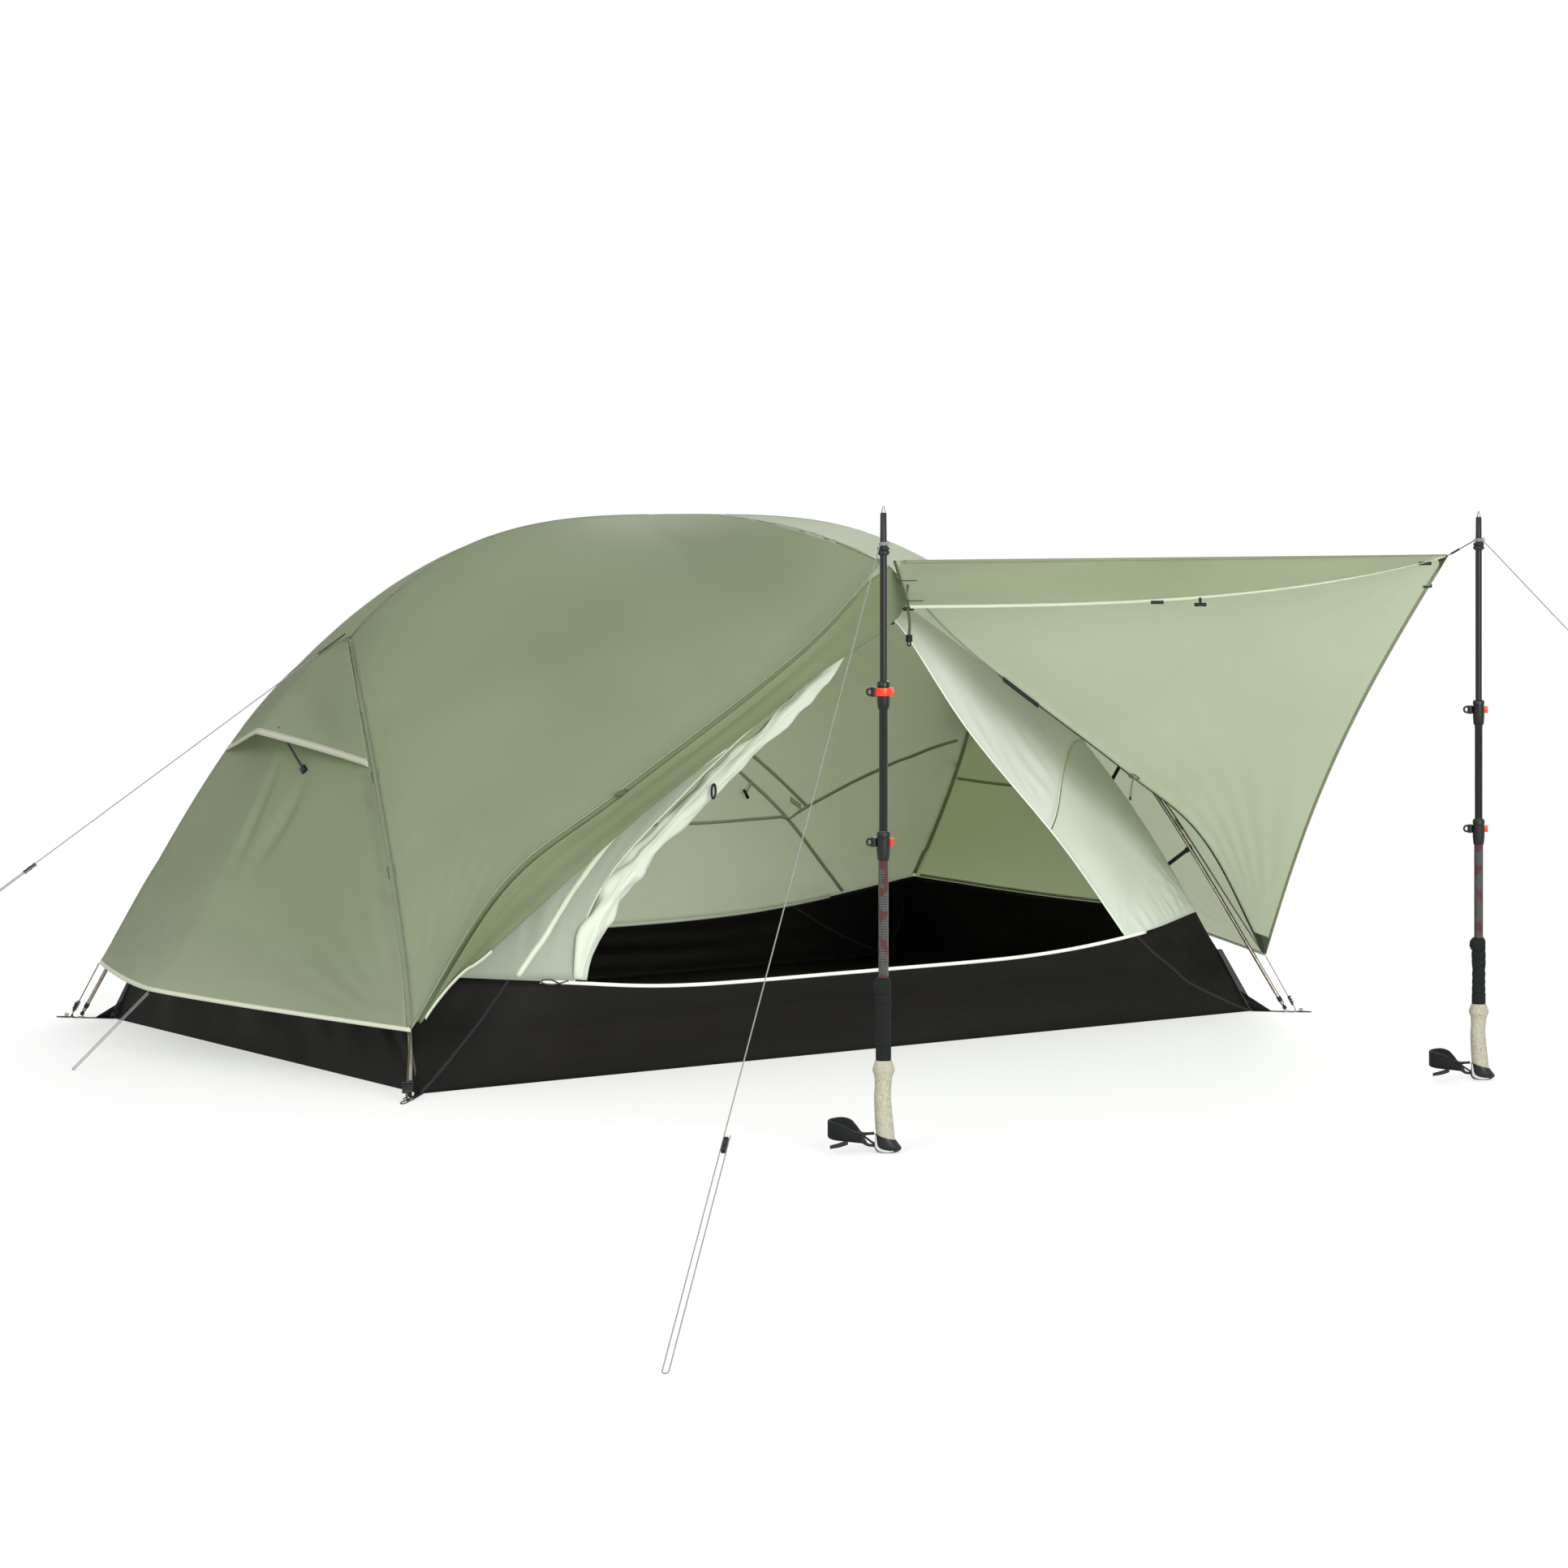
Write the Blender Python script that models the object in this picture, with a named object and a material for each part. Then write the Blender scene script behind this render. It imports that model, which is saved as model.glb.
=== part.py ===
"""Two-person ultralight tent, pitched, with one door half raised as an awning on two trekking poles."""

import math

import bmesh
import bpy
from mathutils import Matrix, Vector

# Floor and bathtub walls
FLOOR_LENGTH = 2.12
FLOOR_WIDTH = 1.34
TUB_WALL = 0.0012
TUB_SIDE_HEIGHT = 0.160
TUB_BACK_HEIGHT = 0.125
TUB_RISE_HEIGHT = 0.190
TUB_CORNER_HEIGHT = 0.210
TUB_END_HEIGHT = 0.200
TUB_RISE_INSET = 0.315
TUB_RISE_SHARE = 2 / 3
TUB_CORNER_INSET_X = 0.035
TUB_CORNER_INSET_Y = 0.145
TUB_SIDE_LEAN = 0.018

# Pole frame
POLE_RADIUS = 0.00425
POLE_TIP_REACH = 0.055
POLE_TIP_HEIGHT = 0.0040
HUB_SETBACK = 0.231
HUB_HEIGHT = 0.829
HUB_RADIUS = 0.0105
SOCKET_RADIUS = 0.0066
SOCKET_LENGTH = 0.030
SOCKET_SHARE = 0.05
LEG_BENDS = ((0.4615, 0.302, 0.965), (0.640, 0.804, 0.3426))
SWIVEL_RADIUS = 0.012

# Flysheet
PEAK_HEIGHT = 1.105
RIDGE_POWER = 3.35
BROW_REACH = 0.060
BROW_HEIGHT = 1.010
BROW_POWER = 2.2
FLY_CORNER_X = 0.030
FLY_CORNER_Y = 0.015
FLY_CORNER_HEIGHT = 0.122
FLY_CORNER_SHARE = 0.925
ROOF_SAG = 0.025
ROOF_COLUMNS = 10
END_HEM_REACH = 0.242
END_HEM_HEIGHT = 0.146
END_DIP = 0.045
END_START = 0.05
END_INSET = 0.004
VESTIBULE_DEPTH = 0.610
VESTIBULE_HEM_HEIGHT = 0.022
CLOTH = 0.0006
SEAM_INSET = 0.00045
HUB_COVER = 0.024
POLE_COVER = 0.0090
BROW_COVER = 0.0076
RIDGE_COVER = 0.0235

# Raised door half and its zip strip
AWNING_X = 0.806
AWNING_Y = -1.538
AWNING_HEIGHT = 1.024
AWNING_SCOOP = 0.040
AWNING_START = 0.05
AWNING_FREE_COLUMNS = 2
ZIP_STRIP_START = 0.16
ZIP_STRIP = 0.096
ZIP_STRIP_OUT = 0.020

# Vents over both ends
HOOD_SHARE = 0.45
HOOD_REACH = 0.212
HOOD_HEIGHT = 0.654
HOOD_LIFT = 0.004
STRUT_RADIUS = 0.002
STRUT_DROP = 0.075

# Inner tent
INNER_PEAK_DROP = 0.055
INNER_HUB_INSET = 0.014
INNER_HUB_DROP = 0.029
INNER_LEG_BEND_SETBACK = 0.060
INNER_LEG_BEND_Y = 0.208
INNER_LEG_BEND_DROP = 0.217
INNER_BROW_SETBACK = 0.025
INNER_BROW_DROP = 0.085
ROLL_RADIUS = 0.023
ROLL_REACH = 1.084
ROLL_START = 0.08
ROLL_END = 0.95
ROLL_TIE = 0.30
ROLL_RINGS = 28
FLY_ROLL_THICKNESS = 0.009
FOLDS = 3
FOLD_RINGS = 22
FOLD_END = 0.90

# Guy lines and straps
LINE = 0.0020
LINE_GAP = 0.0088
HUB_STAKE_REACH = 1.14
HUB_LINE_OFF = 0.0088
END_STAKE_REACH = 0.409
STRAP_WIDTH = 0.012
STRAP_THICKNESS = 0.0014
TENSIONER_LENGTH = 0.030
TENSIONER_THICKNESS = 0.006
TENSIONER_AT = 0.78
LEFT_TENSIONER_AT = 0.525

# Trekking poles, stood on their grips
NEAR_FOOT = (-0.739, -1.718)
FAR_FOOT = (0.728, -1.698)
NEAR_STAKE = (-2.000, -2.940)
FAR_STAKE = (1.400, -2.430)
GRIP_TURN = math.radians(-35.2)
NEAR_HEIGHTS = {
    "tip": 1.121,
    "upper_clamp": 0.818,
    "lower_clamp": 0.5575,
    "foam": 0.304,
    "cork": 0.160,
}
FAR_HEIGHTS = {
    "tip": 1.112,
    "upper_clamp": 0.743,
    "lower_clamp": 0.510,
    "foam": 0.278,
    "cork": 0.148,
}
COLLAR_HEIGHT = 1.043
LINE_HEIGHT = 1.058
TIP_TUBE = 0.0062
MIDDLE_TUBE = 0.0075
GRIP_TUBE = 0.0088
TUBE_PLAY = 0.0003
CLAMP_RADIUS = 0.0112
CLAMP_LENGTH = 0.051
TUBE_OVERLAP = 0.140
COLLAR_RADIUS = 0.0108
FOAM_RADIUS = 0.0140
CORK_RADIUS = 0.0148
CAP_TOP = 0.027
LEVER_HEIGHT = 0.014
LEVER_THICKNESS = 0.0022
LEVER_DROP = 0.019
LEVER_TAB = 0.0045
HINGE_KNOB = 0.0048
BAND_WIDTH = 0.022
BAND_THICKNESS = 0.0018
STRAP_START = 0.0158

# Touching pieces keep this far apart
GAP = 0.0003

# Worked out from the sizes above
HALF_L = FLOOR_LENGTH / 2
HALF_W = FLOOR_WIDTH / 2
HUB_X = HALF_L - HUB_SETBACK
FLY_HUB_X = HUB_X + HUB_COVER * math.sqrt(0.5)
FLY_HUB_Z = HUB_HEIGHT + HUB_COVER * math.sqrt(0.5)
FLY_X = HALF_L + FLY_CORNER_X
FLY_Y = HALF_W + FLY_CORNER_Y
BROW_Y = HALF_W + BROW_REACH
TIP_X = HALF_L + POLE_TIP_REACH
TIP_Y = HALF_W + POLE_TIP_REACH
INNER_PEAK = PEAK_HEIGHT - INNER_PEAK_DROP
INNER_HUB_X = HUB_X - INNER_HUB_INSET
INNER_HUB_HEIGHT = HUB_HEIGHT - INNER_HUB_DROP
INNER_BROW_HEIGHT = BROW_HEIGHT - INNER_BROW_DROP
TUB_CORNER_X = HALF_L - TUB_CORNER_INSET_X
TUB_CORNER_Y = HALF_W - TUB_CORNER_INSET_Y
SIDE_Y = HALF_W - TUB_SIDE_LEAN
INNER_LIFT = GAP + CLOTH / 2
ZED = Vector((0, 0, 1))


def fold_edge(share):
    """The lower edge of the rolled fly door, as shares of the door seam's reach and height."""
    marks = ((0, -0.057, 0.916), (0.035, -0.030, 0.874), (0.075, 0.012, 0.837), (0.170, 0.144, 0.754),
             (0.370, 0.357, 0.585), (0.555, 0.537, 0.444), (0.690, 0.671, 0.323), (0.900, 0.876, 0.134))
    for (a, x0, z0), (b, x1, z1) in zip(marks, marks[1:]):
        if share <= b:
            part = (share - a) / (b - a)
            return x0 + (x1 - x0) * part, z0 + (z1 - z0) * part
    return marks[-1][1:]


FINISHES = {
    "flysheet": ((0.240, 0.285, 0.180), 0.55, 0.0),
    "inner_cloth": ((0.400, 0.450, 0.330), 0.60, 0.0),
    "floor_cloth": ((0.018, 0.017, 0.016), 0.50, 0.0),
    "pole_alloy": ((0.550, 0.540, 0.520), 0.30, 1.0),
    "black_plastic": ((0.012, 0.012, 0.012), 0.45, 0.0),
    "black_tube": ((0.015, 0.016, 0.015), 0.35, 0.3),
    "foam": ((0.020, 0.022, 0.020), 0.90, 0.0),
    "cork": ((0.600, 0.560, 0.440), 0.85, 0.0),
    "lever_red": ((0.800, 0.060, 0.020), 0.35, 0.0),
    "webbing": ((0.014, 0.014, 0.014), 0.80, 0.0),
    "guy_line": ((0.300, 0.310, 0.300), 0.70, 0.0),
}


def finish(name, kind):
    """A material of the piece's own, in one of the finishes above."""
    colour, roughness, metallic = FINISHES[kind]
    material = bpy.data.materials.new(name)
    material.use_nodes = True
    shader = material.node_tree.nodes["Principled BSDF"]
    shader.inputs["Base Color"].default_value = (*colour, 1.0)
    shader.inputs["Roughness"].default_value = roughness
    shader.inputs["Metallic"].default_value = metallic
    return material


def add(name, data, kind):
    """Put a mesh or a curve in the scene as the piece of that name."""
    piece = bpy.data.objects.new(name, data)
    data.materials.append(finish(name, kind))
    bpy.context.collection.objects.link(piece)
    return piece


def pivoted(piece, point):
    """Move a piece's origin to a point, with its shape left where it is."""
    piece.data.transform(Matrix.Translation(-point))
    piece.location = point
    return piece


def mirrored(point, left, near):
    """The point of the quarter at +X, +Y, taken to another quarter."""
    return Vector((-point.x if left else point.x, -point.y if near else point.y, point.z))


# Curves, each a function of a share from 0 to 1


def bend(start, middle, end):
    """A quadratic curve."""
    return lambda t: (1 - t) ** 2 * start + 2 * t * (1 - t) * middle + t * t * end


def cubic(start, first, second, end):
    """A cubic curve."""
    return lambda t: (
        (1 - t) ** 3 * start + 3 * t * (1 - t) ** 2 * first + 3 * t * t * (1 - t) * second + t**3 * end
    )


def line(start, end):
    return lambda t: start.lerp(end, t)


def through(points):
    """A smooth curve through points, with its share measured along the chords."""
    marks = [0.0]
    for a, b in zip(points, points[1:]):
        marks.append(marks[-1] + (b - a).length)
    marks = [m / marks[-1] for m in marks]

    def at(t):
        k = max(i for i in range(len(points) - 1) if marks[i] <= max(t, 0.0))
        a, b = points[k], points[k + 1]
        before = points[k - 1] if k else a * 2 - b
        after = points[k + 2] if k + 2 < len(points) else b * 2 - a
        s = (t - marks[k]) / (marks[k + 1] - marks[k])
        return 0.5 * (
            2 * a
            + (b - before) * s
            + (2 * before - 5 * a + 4 * b - after) * s * s
            + (3 * a - before - 3 * b + after) * s**3
        )

    return at


def joined(first, second, share):
    """One curve after the other, the first up to a share of the whole."""
    return lambda t: first(t / share) if t < share else second((t - share) / (1 - share))


def turned_round(curve):
    return lambda t: curve(1 - t)


def quarter(curve, left, near):
    return lambda t: mirrored(curve(t), left, near)


def length_of(curve, steps=40):
    points = [curve(i / steps) for i in range(steps + 1)]
    return sum((b - a).length for a, b in zip(points, points[1:]))


# Solids


def body(name, rings, kind, closed=False, smooth=True, walled=False):
    """A solid lofted through rings of as many points: capped at both ends, or closed on itself.

    A walled one goes up outside and down inside a thin wall, so both sides are split along like lines.
    """
    bm = bmesh.new()
    rows = [[bm.verts.new(p) for p in ring] for ring in rings]
    pairs = list(zip(rows, rows[1:]))
    if closed:
        pairs.append((rows[-1], rows[0]))
    else:
        caps = [bm.faces.new(rows[0]), bm.faces.new(rows[-1])]
        if walled:
            bmesh.ops.poke(bm, faces=caps)
    for low, high in pairs:
        for i in range(len(low)):
            j = (i + 1) % len(low)
            if not walled:
                bm.faces.new((low[i], low[j], high[j], high[i]))
            elif high is rows[-1]:
                bm.faces.new((low[i], low[j], high[i]))
                bm.faces.new((low[j], high[j], high[i]))
            else:
                bm.faces.new((low[i], low[j], high[j]))
                bm.faces.new((low[i], high[j], high[i]))
    bmesh.ops.recalc_face_normals(bm, faces=bm.faces)
    mesh = bpy.data.meshes.new(name)
    bm.to_mesh(mesh)
    bm.free()
    if smooth:
        mesh.shade_smooth()
        mesh.set_sharp_from_angle(angle=math.radians(35))
    return add(name, mesh, kind)


def sheet(name, grid, kind, thickness=CLOTH):
    """A panel of cloth: a grid of points given a thickness, half to each side."""
    bm = bmesh.new()
    rows = [[bm.verts.new(p) for p in row] for row in grid]
    for upper, lower in zip(rows, rows[1:]):
        for i in range(len(upper) - 1):
            bm.faces.new((upper[i], upper[i + 1], lower[i + 1], lower[i]))
    mesh = bpy.data.meshes.new(name)
    bm.to_mesh(mesh)
    bm.free()
    mesh.shade_smooth()
    piece = add(name, mesh, kind)
    solid = piece.modifiers.new("thickness", "SOLIDIFY")
    solid.thickness = thickness
    solid.offset = 0
    return piece


def patch(top, bottom, left, right):
    """A Coons patch: the surface that its four edge curves span, as a function of two shares."""

    def at(u, v):
        ruled = (1 - v) * top(u) + v * bottom(u) + (1 - u) * left(v) + u * right(v)
        flat = (1 - v) * ((1 - u) * top(0) + u * top(1)) + v * ((1 - u) * bottom(0) + u * bottom(1))
        return ruled - flat

    return at


def shares(count, first, last):
    """Shares from 0 to 1 in even steps, with the first and the last drawn in."""
    return [first] + [i / count for i in range(1, count)] + [last]


def panel(name, surface, across, down, us, vs, kind="flysheet"):
    """Cloth on a surface between two shares across and two shares down."""
    columns = shares(across, *us)
    return sheet(name, [[surface(u, v) for u in columns] for v in shares(down, *vs)], kind)


def tube(name, points, radius, kind, sides=8, radii=None):
    """A round bar or cord along points."""
    curve = bpy.data.curves.new(name, "CURVE")
    curve.dimensions = "3D"
    curve.bevel_depth = radius
    curve.bevel_resolution = (sides - 4) // 2
    curve.use_fill_caps = True
    spline = curve.splines.new("POLY")
    spline.points.add(len(points) - 1)
    for i, point in enumerate(points):
        spline.points[i].co = (*point, 1.0)
        spline.points[i].radius = radii[i] if radii else 1.0
    return add(name, curve, kind)


def sampled(curve, count, start=0.0, end=1.0):
    return [curve(start + (end - start) * i / count) for i in range(count + 1)]


def circle(centre, radius, count, axis_x=Vector((1, 0, 0)), axis_y=Vector((0, 1, 0)), squash=1.0):
    """Points round a circle, or round an ellipse where squash isn't 1."""
    turns = [2 * math.pi * i / count for i in range(count)]
    return [centre + radius * (math.cos(a) * axis_x + squash * math.sin(a) * axis_y) for a in turns]


def turned(name, foot, profile, kind, count=16, hollow=False):
    """A piece turned about the upright through foot, from pairs of radius and height."""
    rings = [circle(Vector((foot[0], foot[1], z)), r, count) for r, z in profile]
    return pivoted(body(name, rings, kind, closed=hollow), Vector((foot[0], foot[1], 0)))


def upright(outline, low, high):
    """Rings of an outline pulled upwards between two heights."""
    return [[Vector((p.x, p.y, z)) for p in outline] for z in (low, high)]


# The tent's own curves, in the quarter at +X, +Y


def leg_pole():
    """A leg pole's middle line, from hub to tip."""
    bends = [
        Vector((HUB_X + (TIP_X - HUB_X) * x, TIP_Y * y, HUB_HEIGHT * z)) for x, y, z in LEG_BENDS
    ]
    return cubic(Vector((HUB_X, 0, HUB_HEIGHT)), *bends, Vector((TIP_X, TIP_Y, POLE_TIP_HEIGHT)))


def fly_leg():
    """The fly's seam over a leg pole, from hub to fly corner."""
    pole = leg_pole()
    inside = Vector((HUB_X / 2, 0, HUB_HEIGHT * 0.3))
    corner = Vector((FLY_X, FLY_Y, FLY_CORNER_HEIGHT))
    hub = Vector((FLY_HUB_X, 0, FLY_HUB_Z))

    def over(t):
        along = (pole(min(t + 0.01, 1)) - pole(t - 0.01)).normalized()
        away = pole(t) - inside
        away -= along * away.dot(along)
        return pole(t) + away.normalized() * POLE_COVER

    def at(t):
        return (
            over(FLY_CORNER_SHARE * t)
            + (hub - over(0)) * (1 - t) ** 6
            + (corner - over(FLY_CORNER_SHARE)) * t**4
        )

    return at


def fly_ridge():
    """Half the fly's ridge, from hub to peak."""
    drop = PEAK_HEIGHT - FLY_HUB_Z

    def at(t):
        share = 1 - t
        return Vector((FLY_HUB_X * share, 0, PEAK_HEIGHT - drop * share**RIDGE_POWER))

    return at


def fly_brow():
    """The fly over half the brow pole, from peak to brow tip."""
    drop = PEAK_HEIGHT - BROW_HEIGHT
    return lambda t: Vector((0, BROW_Y * t, PEAK_HEIGHT - drop * t**BROW_POWER))


def door_seam():
    """The seam that a door half hangs from, from brow tip to fly corner."""
    rise = BROW_HEIGHT - FLY_CORNER_HEIGHT
    shares = [(0, 1, 0), (0.197, 0.792, 0), (0.588, 0.493, 0.22), (0.820, 0.305, 0.67), (1, 0, 1)]
    return through(
        [
            Vector((FLY_X * x, BROW_Y + (FLY_Y - BROW_Y) * y, FLY_CORNER_HEIGHT + rise * z))
            for x, z, y in shares
        ]
    )


def inner_leg():
    """The inner tent's seam under a leg pole, from its hub point to the tub's corner."""
    return bend(
        Vector((INNER_HUB_X, 0, INNER_HUB_HEIGHT)),
        Vector((HALF_L - INNER_LEG_BEND_SETBACK, INNER_LEG_BEND_Y, HUB_HEIGHT - INNER_LEG_BEND_DROP)),
        Vector((TUB_CORNER_X, TUB_CORNER_Y, TUB_CORNER_HEIGHT + INNER_LIFT)),
    )


def inner_ridge():
    drop = INNER_PEAK - INNER_HUB_HEIGHT

    def at(t):
        share = 1 - t
        return Vector((INNER_HUB_X * share, 0, INNER_PEAK - drop * share**RIDGE_POWER))

    return at


def inner_brow():
    end = HALF_W - INNER_BROW_SETBACK
    drop = INNER_PEAK - INNER_BROW_HEIGHT
    return lambda t: Vector((0, end * t, INNER_PEAK - drop * t**BROW_POWER))


def door_side(left):
    """One side of the inner doorway, from the brow down to the tub wall."""
    top = Vector((0, HALF_W - INNER_BROW_SETBACK, INNER_BROW_HEIGHT))
    foot = tub_edge(True)(TUB_RISE_SHARE) + ZED * INNER_LIFT
    shares = [(0.0, 0.0), (0.161, 0.177), (0.59, 0.488), (0.863, 0.706), (0.977, 0.873), (1.0, 1.0)]
    if not left:
        shares = [(0.0, 0.0), (0.13, 0.06), (0.396, 0.377), (0.752, 0.721), (1.0, 1.0)]
    way = foot - top
    return through([top + Vector((way.x * x, way.y * z, way.z * z)) for x, z in shares])


def tub_edge(near):
    """Half a tub side's top edge, from the middle to the corner at +X."""
    middle = TUB_SIDE_HEIGHT if near else TUB_BACK_HEIGHT
    rise = TUB_RISE_HEIGHT if near else TUB_BACK_HEIGHT + 0.02
    rise_x = HALF_L - TUB_RISE_INSET
    return through(
        [
            Vector((0, SIDE_Y, middle)),
            Vector((rise_x * 0.6, SIDE_Y, middle + 0.1 * (rise - middle))),
            Vector((rise_x, SIDE_Y, rise)),
            Vector((TUB_CORNER_X, TUB_CORNER_Y, TUB_CORNER_HEIGHT)),
        ]
    )


# The tub and the inner tent

SIDE_STEPS = 24
END_STEPS = 6


def tub_end(along):
    """The top edge of the tub's end at +X, at a share from -1 to 1 of its width."""
    rise = TUB_END_HEIGHT + (TUB_CORNER_HEIGHT - TUB_END_HEIGHT) * along * along
    bulge = TUB_CORNER_INSET_X * 0.4 * min(1, END_STEPS / 2 * (1 - abs(along)))
    return Vector((TUB_CORNER_X + bulge, TUB_CORNER_Y * along, rise))


def tub_edges():
    """The tub's bottom and top edges as loops of as many points, from the near left corner."""
    low, high = [], []
    for near, sign in ((True, 1), (False, -1)):
        edge = tub_edge(near)
        for i in range(SIDE_STEPS):
            along = sign * (2 * i / SIDE_STEPS - 1)
            low.append(Vector((HALF_L * along, -sign * HALF_W, 0)))
            high.append(mirrored(edge(abs(along)), along < 0, near))
        for i in range(END_STEPS):
            along = sign * (2 * i / END_STEPS - 1)
            low.append(Vector((sign * HALF_L, HALF_W * along, 0)))
            high.append(mirrored(tub_end(along), sign < 0, False))
    return low, high


def floor_tub():
    """The waterproof floor with its walls: outer edges, then the inner ones a wall's thickness in."""
    low, high = tub_edges()

    def inwards(point, rise):
        return Vector(
            (
                point.x - math.copysign(TUB_WALL, point.x) * (abs(point.x) > HALF_L * 0.9),
                point.y - math.copysign(TUB_WALL, point.y) * (abs(point.y) > TUB_CORNER_Y * 0.98),
                point.z + rise,
            )
        )

    rings = [low, high, [inwards(p, 0) for p in high], [inwards(p, TUB_WALL) for p in low]]
    return body("floor_tub", rings, "floor_cloth", smooth=False, walled=True)


def raised(curve):
    return lambda t: curve(t) + ZED * INNER_LIFT


def inner_walls():
    """Four quarter panels from the ridge down to the tub, and the two ends."""
    inset_u = SEAM_INSET / length_of(inner_ridge())
    inset_v = SEAM_INSET / length_of(inner_brow())
    for side, left in (("left", True), ("right", False)):
        for depth, near in (("near", True), ("far", False)):
            edge = raised(tub_edge(near))
            start = TUB_RISE_SHARE if near else 0
            bottom = line_between(edge, 1, start)
            opening = door_side(left) if near else line(inner_brow()(1), edge(0))
            inside = joined(inner_brow(), opening, 0.48 if near else 0.45)
            quarters = [quarter(c, left, near) for c in (inner_ridge(), bottom, inner_leg(), inside)]
            name = f"inner_wall_{depth}_{side}"
            across, down = (8, 13) if near else (12, 9)
            insets = (inset_u, 1 - inset_u), (inset_v, 1)
            panel(name, patch(*quarters), across, down, *insets, "inner_cloth")
        end_panel(side, left)


def line_between(curve, start, end):
    """A piece of a curve, between two shares of it."""
    return lambda t: curve(start + (end - start) * t)


def end_panel(side, left):
    """An inner end wall, from under the hub to the tub's end wall."""
    top = quarter(inner_ridge(), left, False)(0)
    legs = [quarter(inner_leg(), left, near) for near in (True, False)]
    surface = patch(
        lambda u: top,
        lambda u: mirrored(tub_end(2 * u - 1), left, False) + ZED * INNER_LIFT,
        *legs,
    )
    panel(f"inner_end_{side}", surface, END_STEPS, 7, (0.012, 0.988), (0.05, 1), "inner_cloth")


def inner_door():
    """The inner door, rolled up along its left side: a twisted roll, pinched where a toggle ties it."""
    side = quarter(door_side(True), True, True)
    reach = ROLL_RADIUS * ROLL_REACH + CLOTH + 8 * GAP
    rings = []
    for i in range(ROLL_RINGS + 1):
        share = i / ROLL_RINGS
        t = ROLL_START + (ROLL_END - ROLL_START) * share
        along = (side(t + 0.01) - side(t - 0.01)).normalized()
        away = along.cross(Vector((0, 1, 0))).normalized()
        away *= math.copysign(1, away.x)
        across = away.cross(along)
        swell = min(1, 0.45 + 3.2 * share, 0.5 + 5 * (1 - share))
        swell *= 1 - 0.22 * math.exp(-((share - ROLL_TIE) / 0.05) ** 2)
        ring = []
        for k in range(20):
            angle = 2 * math.pi * k / 20
            fold = 1 + 0.06 * math.cos(5 * angle + 9 * share) - 0.06 * (math.cos(angle) < -0.9)
            out = ROLL_RADIUS * swell * fold
            outwards = away * (reach + out * math.cos(angle))
            ring.append(side(t) + outwards + across * out * math.sin(angle))
        rings.append(ring)
    body("inner_door_rolled", rings, "inner_cloth")


# The flysheet


def roof_surface(left, near):
    """A roof panel between ridge, leg, brow and door seam, which hangs in a little."""
    edges = (fly_ridge(), turned_round(door_seam()), fly_leg(), fly_brow())
    spanned = patch(*[quarter(edge, left, near) for edge in edges])
    return lambda u, v: spanned(u, v) - ZED * ROOF_SAG * 16 * u * (1 - u) * v * (1 - v)


def fly_quarters():
    """The four roof panels."""
    inset_u = SEAM_INSET / length_of(fly_ridge())
    inset_v = SEAM_INSET / length_of(fly_brow())
    for side, left in (("left", True), ("right", False)):
        for depth, near in (("near", True), ("far", False)):
            name = f"fly_roof_{depth}_{side}"
            insets = (inset_u, 1 - inset_u), (inset_v, 1 - inset_v)
            panel(name, roof_surface(left, near), ROOF_COLUMNS, 8, *insets)


def end_surface(left):
    """A fly end, from the hub down to its hem, drawn in between the legs."""
    hem_x = HALF_L + END_HEM_REACH

    def hem(u):
        along = 1 - 2 * u
        out = FLY_X + (hem_x - FLY_X) * (1 - abs(along) ** 1.2)
        rise = END_HEM_HEIGHT + (FLY_CORNER_HEIGHT - END_HEM_HEIGHT) * abs(along)
        return Vector((-out if left else out, -FLY_Y * along, rise))

    hub = Vector((-FLY_HUB_X if left else FLY_HUB_X, 0, FLY_HUB_Z))
    spanned = patch(
        lambda u: hub, hem, quarter(fly_leg(), left, True), quarter(fly_leg(), left, False)
    )
    inwards = 1 if left else -1

    def at(u, v):
        return spanned(u, v) + Vector((inwards, 0, 0)) * END_DIP * 16 * u * (1 - u) * v * (1 - v)

    return at


def hood_surface(left):
    """A vent hood over a fly end, from the hub to its propped edge."""
    end = end_surface(left)
    out = -1 if left else 1
    spread = 0.02

    def edge(u):
        lift = 1 - abs(1 - 2 * u) ** 1.6
        base = end(spread + (1 - 2 * spread) * u, HOOD_SHARE)
        peak = Vector((out * (FLY_HUB_X + HOOD_REACH), 0, HOOD_HEIGHT))
        flat = Vector((base.x, base.y, base.z))
        return flat + (peak - end(0.5, HOOD_SHARE)) * lift + Vector((out, 0, 0)) * HOOD_LIFT

    def at(u, v):
        base = end(spread + (1 - 2 * spread) * u, HOOD_SHARE * v) + Vector((out, 0, 0.4)) * HOOD_LIFT
        bottom = end(spread + (1 - 2 * spread) * u, HOOD_SHARE) + Vector((out, 0, 0.4)) * HOOD_LIFT
        return base + (edge(u) - bottom) * v**1.3

    return at


def fly_ends():
    """Both ends with their hoods and the struts that prop them."""
    for side, left in (("left", True), ("right", False)):
        end = end_surface(left)
        hood = hood_surface(left)
        panel(f"fly_end_{side}", end, 8, 9, (END_INSET, 1 - END_INSET), (END_START, 1))
        panel(f"vent_hood_{side}", hood, 8, 5, (0, 1), (0.12, 1))
        foot, head = strut_ends(left)
        strut = tube(f"vent_strut_{side}", [foot, foot.lerp(head, 0.5), head], STRUT_RADIUS, "black_plastic")
        pivoted(strut, foot)


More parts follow.
